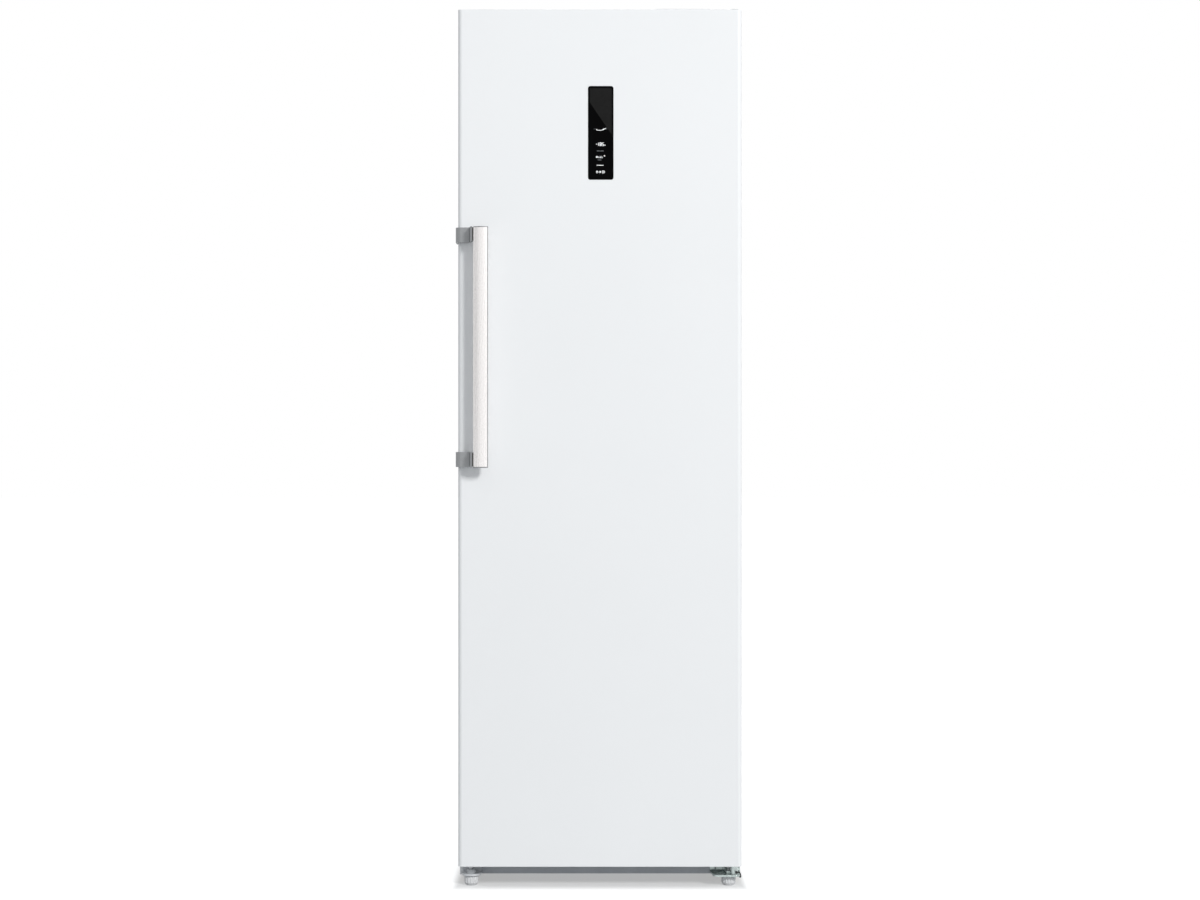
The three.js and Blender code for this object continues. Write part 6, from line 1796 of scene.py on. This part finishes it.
@dataclass
class Controls:
    """The control box on the mounting plate with the mains inlet."""

    x: float = -198.0
    width: float = 104.0
    depth: float = 62.0
    back: float = 322.5
    low: float = 40.3
    high: float = 132.3
    inlet_z: float = 70.3

    def box(self) -> None:
        """Make the box: base, stepped lid, cooling ribs on its top and snap hooks on its sides."""
        x0, x1 = self.x - self.width / 2, self.x + self.width / 2
        y0, y1, split = self.back - self.depth, self.back, self.low + 64.4
        draft = Draft()
        draft.slabs(Axis.Z, (x0, x1, y0, y1), [(0.6, 3.4, self.low), (0, 4, self.low + 0.6), (0, 4, split)],
                    caps=Caps.FIRST)
        draft.slabs(Axis.Z, (x0, x1, y0, y1), [(0.4, 4, split), (-2, 6, split), (-2, 6, self.high - 2.6),
                                               (-1.2, 5.4, self.high - 0.7), (0.8, 4.4, self.high)],
                    caps=Caps.LAST)
        for index in range(7):
            x = x0 + 20 + index * 10.6
            draft.box((x, y0 + 8, self.high - 0.8), (x + 4.4, y1 - 8, self.high - 0.05), 0)
        for side, x in ((-1, x0), (1, x1)):
            for y in (y0 + 14, y1 - 18):
                low_x, high_x = sorted((x, x + side * 1.9))
                draft.box((low_x, y - 5, split - 16), (high_x, y + 5, split - 1))
        draft.show("control_housing", "control_box", GREY_PLASTIC, bevel=0.35)

    def inlet(self) -> None:
        """Make the mains inlet: bevelled flange, deep recess with cut corners and three blades."""
        x, z, face = self.x, self.inlet_z, self.back + 2.3
        levels = [(25, 14, 2, self.back + 0.2), (25, 14, 2, face - 0.5), (24.5, 13.5, 2, face),
                  (17.6, 10.1, 5.2, face), (17, 9.5, 5, face - 0.6), (16.8, 9.4, 5, face - 15.5)]
        draft = Draft().stack(Axis.Y, [([(x - w, z - h), (x + w, z - h), (x + w, z + h - cut), (x + w - cut, z + h),
                                         (x - w + cut, z + h), (x - w, z + h - cut)], depth)
                                       for w, h, cut, depth in levels], caps=Caps.LAST)
        for dx, dz in ((-7, -1.5), (0, 2.5), (7, -1.5)):
            draft.box((x + dx - 1, face - 15.7, z + dz - 2.6), (x + dx + 1, face - 3, z + dz + 2.6), 1)
        draft.show("mains_inlet", "power_inlet", BLACK_PLASTIC, STEEL, bevel=0.3)

    def build(self, fixings: Fixings) -> None:
        """Make box and inlet and mark their screws.

        Args:
            fixings: The cabinet's screws.
        """
        self.box()
        self.inlet()
        for dx in (-21, 21):
            fixings.add((self.x + dx, self.back + 2.3, self.inlet_z - 8.5), BACKWARDS, 0.6)
        for dx, y in ((-45, 268), (45, 268), (-45, 316), (45, 316)):
            fixings.add((self.x + dx, y, self.high), UPWARDS, 0.75)


@dataclass
class Roller:
    """A rear roller with grooved tyre, dished sides and axle."""

    x: float
    y: float = 302.5
    z: float = 16.0
    radius: float = 16.0
    half: float = 11.0
    reach: float = 14.0

    def build(self, side: str) -> None:
        """Make roller and fork of one side.

        Args:
            side: Left or right.
        """
        r, h = self.radius, self.half
        half = [(3.2, -h), (r - 6, -h), (r - 5, -h + 0.4), (r - 4.6, -h + 2), (r - 2, -h + 2.2),
                (r - 0.6, -h + 3), (r - 0.1, -h + 4.4), (r, -3.2), (r - 0.7, -2.6), (r - 0.9, -1.6)]
        profile = half + [(radius, -along) for radius, along in reversed(half)]
        a, centre = self.reach - 0.2, (self.x, self.y, self.z)
        axle = [(0, -a), (1.9, -a), (2.9, -a + 0.6), (2.9, a - 0.6), (1.9, a), (0, a)]
        draft = Draft().turn(Axis.X, centre, profile, 56).turn(Axis.X, centre, axle, 24, 1)
        draft.show(f"{side}_roller_piece", f"rear_{side}_roller", BLACK_PLASTIC, STEEL, body=f"{side}_roller",
                   sharp=40)
        refined(f"rear_{side}_roller_fork", GALVANISED, 0.4)


@dataclass
class Bay:
    """The compressor bay's sheets and what closes the legs beside it."""

    plate_low: float = 38.0
    plate_top: float = 40.0
    lip: float = 9.0
    front: float = 149.1
    back: float = 340.5
    half: float = 265.9
    leg: tuple[float, float] = (268.8, 296.2)
    leg_top: float = 262.6

    def plate(self) -> None:
        """Make the mounting plate: rear edge folded down, front edge up to the pan's wall, pressed beads."""
        low, top, y0, y1 = self.plate_low, self.plate_top, self.front, self.back
        section = [*arc(y0 + 2.6, low + 2.6, 2.6, 180, 270, 5), (y1 - 2, low), (y1 - 2, low - 10), (y1, low - 10),
                   *arc(y1 - 2.6, top - 2.6, 2.6, 0, 90, 5), (y0 + 2.6, top), (y0 + 2, top + 0.6),
                   (y0 + 2, top + self.lip), (y0, top + self.lip)]
        draft = Draft().run(Axis.X, section, -self.half, self.half)
        for x0, x1 in ((-138, -64), (190, 252)):
            for y in (176, 204, 232):
                draft.slabs(Axis.Z, (x0, x1, y - 6, y + 6), [(0, 5.9, top - 0.05), (0.5, 5.4, top + 0.14),
                                                             (2.2, 3.7, top + 0.26)], caps=Caps.LAST)
        draft.show("mounting_plate", "compressor_plate", GALVANISED, bevel=0.25)

    def closers(self) -> None:
        """Make the narrow returns of the sheet that close the legs at the rear."""
        x0, x1 = self.leg
        y = CABINET_BACK - 1.1
        draft = Draft()
        for side in (-1, 1):
            low_x, high_x = sorted((side * x0, side * x1))
            draft.slabs(Axis.Y, (low_x, high_x, 17, self.leg_top),
                        [(0, 1.2, y), (0, 1.2, y + 0.6), (0.3, 1, y + 0.8)], 4)
        draft.show("leg_returns", "", GALVANISED)

    def build(self, fixings: Fixings, rear: Fixings) -> None:
        """Make the bay's pieces and mark their screws.

        Args:
            fixings: The cabinet's screws.
            rear: Its low screws at the rear.
        """
        self.plate()
        self.closers()
        refined("base_pan", GALVANISED, 0.3)
        for side, x in (("left", -225), ("right", 225)):
            Roller(x).build(side)
        for x in (-256, 256):
            for y in (170, 332):
                fixings.add((x, y, self.plate_top), UPWARDS)
            for z in (40, 140, 240):
                rear.add((math.copysign(282.5, x), CABINET_BACK - 0.42, z), BACKWARDS)


@dataclass
class Shelf:
    """A shelf: tempered glass in a moulded front trim and a rear rail."""

    top: float
    half: float = 236.3
    front: float = -184.5
    back: float = 210.5
    thickness: float = 4.0

    def build(self, node: str) -> None:
        """Make the shelf.

        Args:
            node: The node that it stands for.
        """
        z, y0, y1 = self.top, self.front, self.back
        glass = self.half - 0.8
        draft = Draft().box((-glass, y0 + 4, z - 4), (glass, y1 - 3, z - 0.5))
        trim = [*arc(y0 + 2, z - 2, 2, 180, 90, 5), (y0 + 9, z), (y0 + 9, z - 0.6), (y0 + 3.6, z - 0.6),
                (y0 + 3.6, z - 3.9), (y0 + 9, z - 3.9), (y0 + 8.4, z - 5.2), (y0 + 4.6, z - 6.4),
                (y0 + 3.2, z - 10.2), *arc(y0 + 1.5, z - 9.5, 1.5, -30, -180, 6), (y0, z - 6.4),
                (y0 + 0.45, z - 6), (y0, z - 5.6)]
        draft.run(Axis.X, trim, -self.half, self.half, 1)
        rail = [(y1 - 7, z), (y1 - 0.8, z), (y1, z - 0.8), (y1, z - 4), (y1 - 3.2, z - 4), (y1 - 3.2, z - 0.7),
                (y1 - 7, z - 0.7)]
        draft.run(Axis.X, rail, -self.half, self.half, 1)
        draft.show(f"{node}_piece", node, SHELF_GLASS, INNER_WHITE, bevel=0.25)


@dataclass
class Drawer:
    """A drawer: tapered tub with rolled rim and floor ribs, and a full-width front with its grip."""

    base: float
    height: float = 188.0
    tub_back: float = 202.5
    half: float = 224.5
    front_half: float = 234.5
    front: float = -190.5
    back: float = -185.5
    grip: float = -205.5
    taper: float = 8.0
    wall: float = 2.2
    radius: float = 22.0

    def plan(self, inset: float) -> list[Flat]:
        """The tub's outline, drawn in by an inset."""
        return rounded(-self.half + inset, self.half - inset, self.front + 2 + min(inset, 4), self.tub_back - inset,
                       max(self.radius - inset * 0.7, 6), 8)

    def tub(self, draft: Draft) -> None:
        """Draw the tub as one thin wall, outside up and inside down.

        Args:
            draft: The draft that takes it.
        """
        h, t, w, z = self.height - 5, self.taper, self.wall, self.base
        levels = [(t + 5, 0), (t + 1.8, 0.9), (t, 4), (0.25, h - 5), (0, h - 3), (0, h - 0.5), (0.5, h),
                  (w - 0.4, h), (w, h - 0.5), (w + 0.2, h - 6), (t + w - 0.2, 6.6), (t + w + 1.6, 3.2),
                  (t + w + 4.6, w)]
        draft.stack(Axis.Z, [(self.plan(inset), z + up) for inset, up in levels])
        for index in range(7):
            x = (index - 3) * 54
            draft.box((x - 1.3, self.front + 22, z + w - 0.4), (x + 1.3, self.tub_back - 32, z + w + 1.7))

    def face(self, draft: Draft) -> None:
        """Draw the front with its hollow grip lip and swept shoulder.

        Args:
            draft: The draft that takes it.
        """
        f, b, g, h = self.front, self.back, self.grip, self.height
        sweep = [(0, 0), (0.06, 0.34), (0.2, 0.62), (0.45, 0.86), (0.75, 0.97), (1, 1)]
        outer = [(f - 6 * u, h - 26 + 21.8 * v) for u, v in sweep]
        inner = [(b + 4 * u, h - 26 + 16 * v) for u, v in reversed([(v, u) for u, v in sweep])]
        profile = [(f + 2, 3), (b - 0.7, 3), (b, 3.7), *reversed(inner), (b + 4, h - 1.2), (b + 3.2, h),
                   *arc(g + 2.4, h - 2.4, 2.4, 90, 180, 6), (g, h - 8.6), *arc(g + 1.5, h - 8.6, 1.5, 180, 360, 6),
                   (g + 3, h - 5.6), *arc(g + 4.6, h - 5.6, 1.6, 180, 90, 4), *reversed(outer), (f, 5)]
        draft.run(Axis.X, [(y, self.base + z) for y, z in profile], -self.front_half, self.front_half)

    def build(self, node: str) -> None:
        """Make the drawer.

        Args:
            node: The node that it stands for.
        """
        draft = Draft()
        self.tub(draft)
        self.face(draft)
        draft.show(f"{node}_piece", node, CLEAR_DRAWER, bevel=0.35)


@dataclass
class Evaporator:
    """The finned evaporator behind the duct cover, with its heater and the fan's shroud."""

    low: float = 470.0
    high: float = 720.0
    front: float = 222.5
    back: float = 276.5
    half: float = 185.0
    fins: int = 56
    passes: int = 4
    tube: float = 4.5

    def fin(self) -> Piece:
        """Draw one thin rippled fin, the leftmost of the row.

        Returns:
            The fin.
        """
        x, thick, count = -self.half + 2, 0.22, 18
        rows = [(x + 0.55 * math.sin(index * math.pi / 1.5), self.front + (self.back - self.front) * index / count)
                for index in range(count + 1)]
        outline = [(px + thick, y) for px, y in rows] + [(px - thick, y) for px, y in reversed(rows)]
        return Draft().run(Axis.Z, outline, self.low + 1, self.high - 1).piece("fin_master", ALUMINIUM)

    def serpentine(self) -> None:
        """Make the tube with its return bends and the two end plates."""
        rise = (self.high - self.low) / self.passes
        middle = (self.front + self.back) / 2
        reach = self.half + 14 - rise / 2
        path: list[Vector] = []
        for number in range(self.passes):
            way = 1 if number % 2 == 0 else -1
            z = self.low + rise * (number + 0.5)
            path += [Vector((-way * reach, middle, z)), Vector((way * reach, middle, z))]
            if number < self.passes - 1:
                path += [Vector((way * reach + way * x * 0.96, middle, z + rise / 2 + up)) for x, up in
                         arc(0, 0, rise / 2, -78, 78, 12)]
        draft = Draft().tube(path, self.tube, 18)
        for side in (-1, 1):
            x = side * self.half
            plate = [(self.front, self.low), (286, self.low), (286, self.low + 1.6), (286, self.high),
                     (self.front, self.high)]
            draft.run(Axis.X, plate, x - 0.8, x + 0.8)
        draft.show("serpentine_tube", "evaporator_coil", ALUMINIUM, bevel=0.2, sharp=45)

    def build(self, rows: Pattern) -> None:
        """Make the tube, the row of fins, the heater and the shroud.

        Args:
            rows: The pattern of a straight row.
        """
        self.serpentine()
        step = 2 * (self.half - 2) / (self.fins - 1) * MM
        rows.spread("evaporator_fins", "cabinet", self.fin(), ALUMINIUM, Count=self.fins, Step=(step, 0.0, 0.0))
        refined("defrost_heater", ALUMINIUM, 0.2)
        refined("fan_shroud", GREY_PLASTIC, 0.3)


@dataclass
class Fan:
    """The axial fan: domed hub and twisted, swept blades."""

    y: float = 241.5
    z: float = 860.0
    hub: float = 16.0
    radius: float = 50.0
    depth: float = 22.0
    blades: int = 7

    def blade(self, draft: Draft, turn: float) -> None:
        """Draw one blade as a loft of cambered sections from hub to tip.

        Args:
            draft: The draft that takes the blade.
            turn: How far round the hub it stands.
        """
        spin = Matrix.Rotation(turn, 3, "Y")
        sections = []
        for index in range(9):
            share = index / 8
            radius = self.hub - 2.5 + (self.radius - self.hub + 2.5) * share
            pitch, chord, sweep = 0.85 - 0.43 * share, 17 + 9.5 * share, 6 * share * share
            trim = 1 if index < 8 else 0.86
            upper = [(t, 1.5 * (1 - (2 * t) ** 2) + 0.45) for t in (-0.5, -0.4, -0.2, 0, 0.2, 0.4, 0.5)]
            lower = [(t, 1.5 * (1 - (2 * t) ** 2) - 0.45) for t in (0.5, 0.4, 0.2, 0, -0.2, -0.4, -0.5)]
            ring_points = []
            for along, lift in upper + lower:
                u = along * chord * trim
                point = Vector((radius, u * math.sin(pitch) + lift * math.cos(pitch),
                                u * math.cos(pitch) - lift * math.sin(pitch) + sweep))
                ring_points.append(spin @ point + Vector((0, self.y, self.z)))
            sections.append(ring_points)
        draft.skin(sections)

    def build(self) -> None:
        """Make the fan."""
        d = self.depth / 2
        draft = Draft()
        profile = [(0, -d), (6, -d), (10, -d + 0.5), (13, -d + 2), (14.8, -d + 4.4), (self.hub, d - 0.4),
                   (self.hub - 0.5, d), (0, d)]
        draft.turn(Axis.Y, (0, self.y, self.z), profile, 48)
        shaft = [(0, d - 1), (2.95, d - 1), (2.95, 23.4), (2.4, 24), (0, 24)]
        draft.turn(Axis.Y, (0, self.y, self.z), shaft, 24, 1)
        for index in range(self.blades):
            self.blade(draft, math.tau * index / self.blades)
        draft.show("axial_fan", "evaporator_fan", BLACK_PLASTIC, STEEL, body="fan")


@dataclass
class Room:
    """The freezing room: lining, duct cover, lamp, shelves, drawers and flaps."""

    first: float = 316.6
    pitch: float = 204.0
    shelves: int = 7
    drawers: int = 5

    def build(self) -> None:
        """Make everything in the room."""
        refined("inner_liner", INNER_WHITE, 0.6)
        refined("duct_cover", INNER_WHITE, 0.3)
        refined("interior_lamp", LAMP_LENS, 0.4)
        for index in range(self.shelves):
            Shelf(self.first + index * self.pitch).build(f"glass_shelf_{index + 1}")
        for index in range(self.drawers):
            Drawer(self.first + 0.3 + index * self.pitch).build(f"drawer_{index + 1}")
        for node in ("bottom_drawer", "compartment_flap_1", "compartment_flap_2"):
            refined(node, CLEAR_DRAWER, 0.4)


class Shell:
    """The cabinet's painted wrap and its foam."""

    def build(self) -> None:
        """Dress both."""
        refined("outer_wrap", WHITE_PAINT, 0.3)
        refined("insulation_foam", RIGID_FOAM, 0)


# ---- stage
@dataclass
class Stage:
    """Floor, light and camera of a plain white studio."""

    eye_height: float = 0.918
    distance: float = 5.0
    lens: float = 71.6
    floor_half: float = 40.0
    white: float = 1.0
    fill: float = 0.52
    fill_colour: tuple[float, float, float, float] = (0.955, 0.98, 1.0, 1.0)
    key_energy: float = 790.0
    key_size: float = 2.2
    key_colour: Colour = (1.0, 0.99, 0.975)
    key_from: Spot = (5.2, -9.3, 5.8)
    key_at: Spot = (0.0, -0.3, 1.0)
    floor_colour: tuple[float, float, float, float] = (0.5, 0.505, 0.51, 1.0)
    floor_lift: float = 0.8
    # Smaller lift near the part: a painted contact shadow on the floor.
    painted_shadow_lift: float = 0.475
    painted_shadow_reach: float = 0.09
    dark_side: Spot = (-0.60, -0.75, -0.27)
    dark_edge: Flat = (0.87, 0.97)
    dimness: float = 0.95

    def camera(self) -> None:
        """Stand the camera level in front of the door."""
        data = bpy.data.cameras.new("camera")
        data.lens, data.sensor_width = self.lens, 36
        data.clip_start, data.clip_end = 0.05, 200
        made = linked("camera", data)
        made.location = (0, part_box("door_skin")[0].y - self.distance, self.eye_height)
        made.rotation_euler = (math.radians(90), 0, 0)
        bpy.context.scene.camera = made

    def seen(self, tree: Tree) -> Socket:
        """One where the camera, a reflection or a look through glass meets a surface, else nought.

        Args:
            tree: The tree that asks.

        Returns:
            The one or nought.
        """
        path = tree.add("ShaderNodeLightPath").outputs
        total = path["Is Camera Ray"]
        for name in ("Is Glossy Ray", "Is Transmission Ray"):
            total = tree.maths("MAXIMUM", total, path[name])
        return total

    def mirrored(self, tree: Tree) -> Socket:
        """The backdrop's strength: white, but dim where polished metal mirrors the studio's dark side.

        Args:
            tree: The backdrop's tree.

        Returns:
            The strength.
        """
        way = tree.add("ShaderNodeTexCoord").outputs["Generated"]
        toward = tree.add("ShaderNodeVectorMath", {0: way, 1: self.dark_side}, operation="DOT_PRODUCT")
        dim = tree.step("ShaderNodeMapRange", {0: toward.outputs["Value"], 1: self.dark_edge[0], 2: self.dark_edge[1],
                                               3: 0, 4: self.dimness})
        glossy = tree.add("ShaderNodeLightPath").outputs["Is Glossy Ray"]
        return tree.maths("SUBTRACT", self.white, tree.maths("MULTIPLY", glossy, dim))

    def world(self) -> None:
        """Hang a white backdrop that lights the part softly from all round."""
        world = bpy.data.worlds.new("studio")
        world.use_nodes = True
        tree = Tree(world.node_tree)
        shade = tree.tree.nodes["Background"]
        tree.feed(shade, {"Color": self.fill_colour, "Strength": self.fill})
        white = tree.step("ShaderNodeBackground", {"Color": (1, 1, 1, 1), "Strength": self.mirrored(tree)})
        choice = tree.step("ShaderNodeMixShader", {0: self.seen(tree), 1: shade.outputs[0], 2: white})
        tree.feed(tree.tree.nodes["World Output"], {"Surface": choice})
        bpy.context.scene.world = world

    def floor(self) -> None:
        """Lay a pale floor that reads white away from the part, keeps its shadow and gets a painted contact shadow
        round the part.
        """
        half = self.floor_half
        edges = [Axis.Z.at([(-half, y), (half, y)], 0) for y in (-half, half)]
        mesh = Draft().skin(edges, closed=False, caps=Caps.NONE).mesh("floor", 1)
        material = bpy.data.materials.new("floor_white")
        material.use_nodes = True
        tree = Tree(material.node_tree)
        tree.tree.nodes.remove(tree.tree.nodes["Principled BSDF"])
        matt = tree.step("ShaderNodeBsdfDiffuse", {"Color": self.floor_colour})
        lift = tree.step("ShaderNodeEmission", {"Strength": self.raised(tree)})
        both = tree.step("ShaderNodeAddShader", {0: matt, 1: lift})
        tree.feed(tree.tree.nodes["Material Output"], {"Surface": both})
        mesh.materials.append(material)
        linked("floor", mesh)

    def raised(self, tree: Tree) -> Socket:
        """How strongly the floor is lifted towards white: less where the part stands and right round it, a painted
        contact shadow.

        Args:
            tree: The floor's tree.

        Returns:
            The strength.
        """
        maths, high = tree.maths, CAD_BOX[1]
        place = tree.add("ShaderNodeTexCoord").outputs["Object"]
        x, y, _ = tree.add("ShaderNodeSeparateXYZ", {0: place}).outputs
        across = maths("MULTIPLY", maths("SUBTRACT", maths("ABSOLUTE", x, 0), high.x - 0.002), 4)
        along = maths("SUBTRACT", maths("ABSOLUTE", maths("SUBTRACT", y, 0.03), 0), high.y - 0.05)
        # Lift falls near the part: a painted contact shadow.
        lift = tree.step("ShaderNodeMapRange", {
            0: maths("MAXIMUM", across, along), 1: 0, 2: self.painted_shadow_reach, 3: self.floor_lift * self.painted_shadow_lift,
            4: self.floor_lift}, interpolation_type="SMOOTHSTEP")
        return maths("MULTIPLY", self.seen(tree), lift)

    def lamp(self) -> None:
        """Hang the square key lamp, facing the part and hidden from the camera."""
        data = bpy.data.lights.new("key", "AREA")
        data.size, data.energy, data.color = self.key_size, self.key_energy, self.key_colour
        made = linked("key", data)
        made.location = self.key_from
        made.rotation_mode = "QUATERNION"
        made.rotation_quaternion = (Vector(self.key_at) - Vector(self.key_from)).to_track_quat("-Z", "Y")
        made.visible_camera = False

    def build(self) -> None:
        """Make camera, backdrop, floor and lamp, and set the view."""
        self.camera()
        self.world()
        self.floor()
        self.lamp()
        bpy.context.scene.view_settings.view_transform = "Standard"


# ---- everything in order
def main() -> None:
    """Build the stage and every sub-assembly in order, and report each."""
    logging.basicConfig(level=logging.INFO, format="%(name)s: %(message)s")
    rows, marked = row_pattern(), marked_pattern()
    fixings, rear = Fixings("cabinet"), Fixings("cabinet")
    for assembly, given in ((Stage(), ()), (DoorLeaf(), (rows,)), (Display(), ()), (Handle(), ()), (Base(), (fixings,)),
                            (Back(), (rear,)), (TopHinge(), ()), (Bay(), (fixings, rear)), (Compressor(), ()),
                            (Pipework(), ()), (Controls(), (fixings,)), (Shell(), ()), (Room(), ()),
                            (Evaporator(), (rows,)), (Fan(), ())):
        assembly.build(*given)
        LOG.info("%s built", type(assembly).__name__)
    fixings.build(marked, "cabinet_screws", STEEL)
    rear.build(marked, "rear_screws", STEEL, Screw(radius=3.6, height=0.4, sunk=True))


if __name__ == "__main__":
    main()
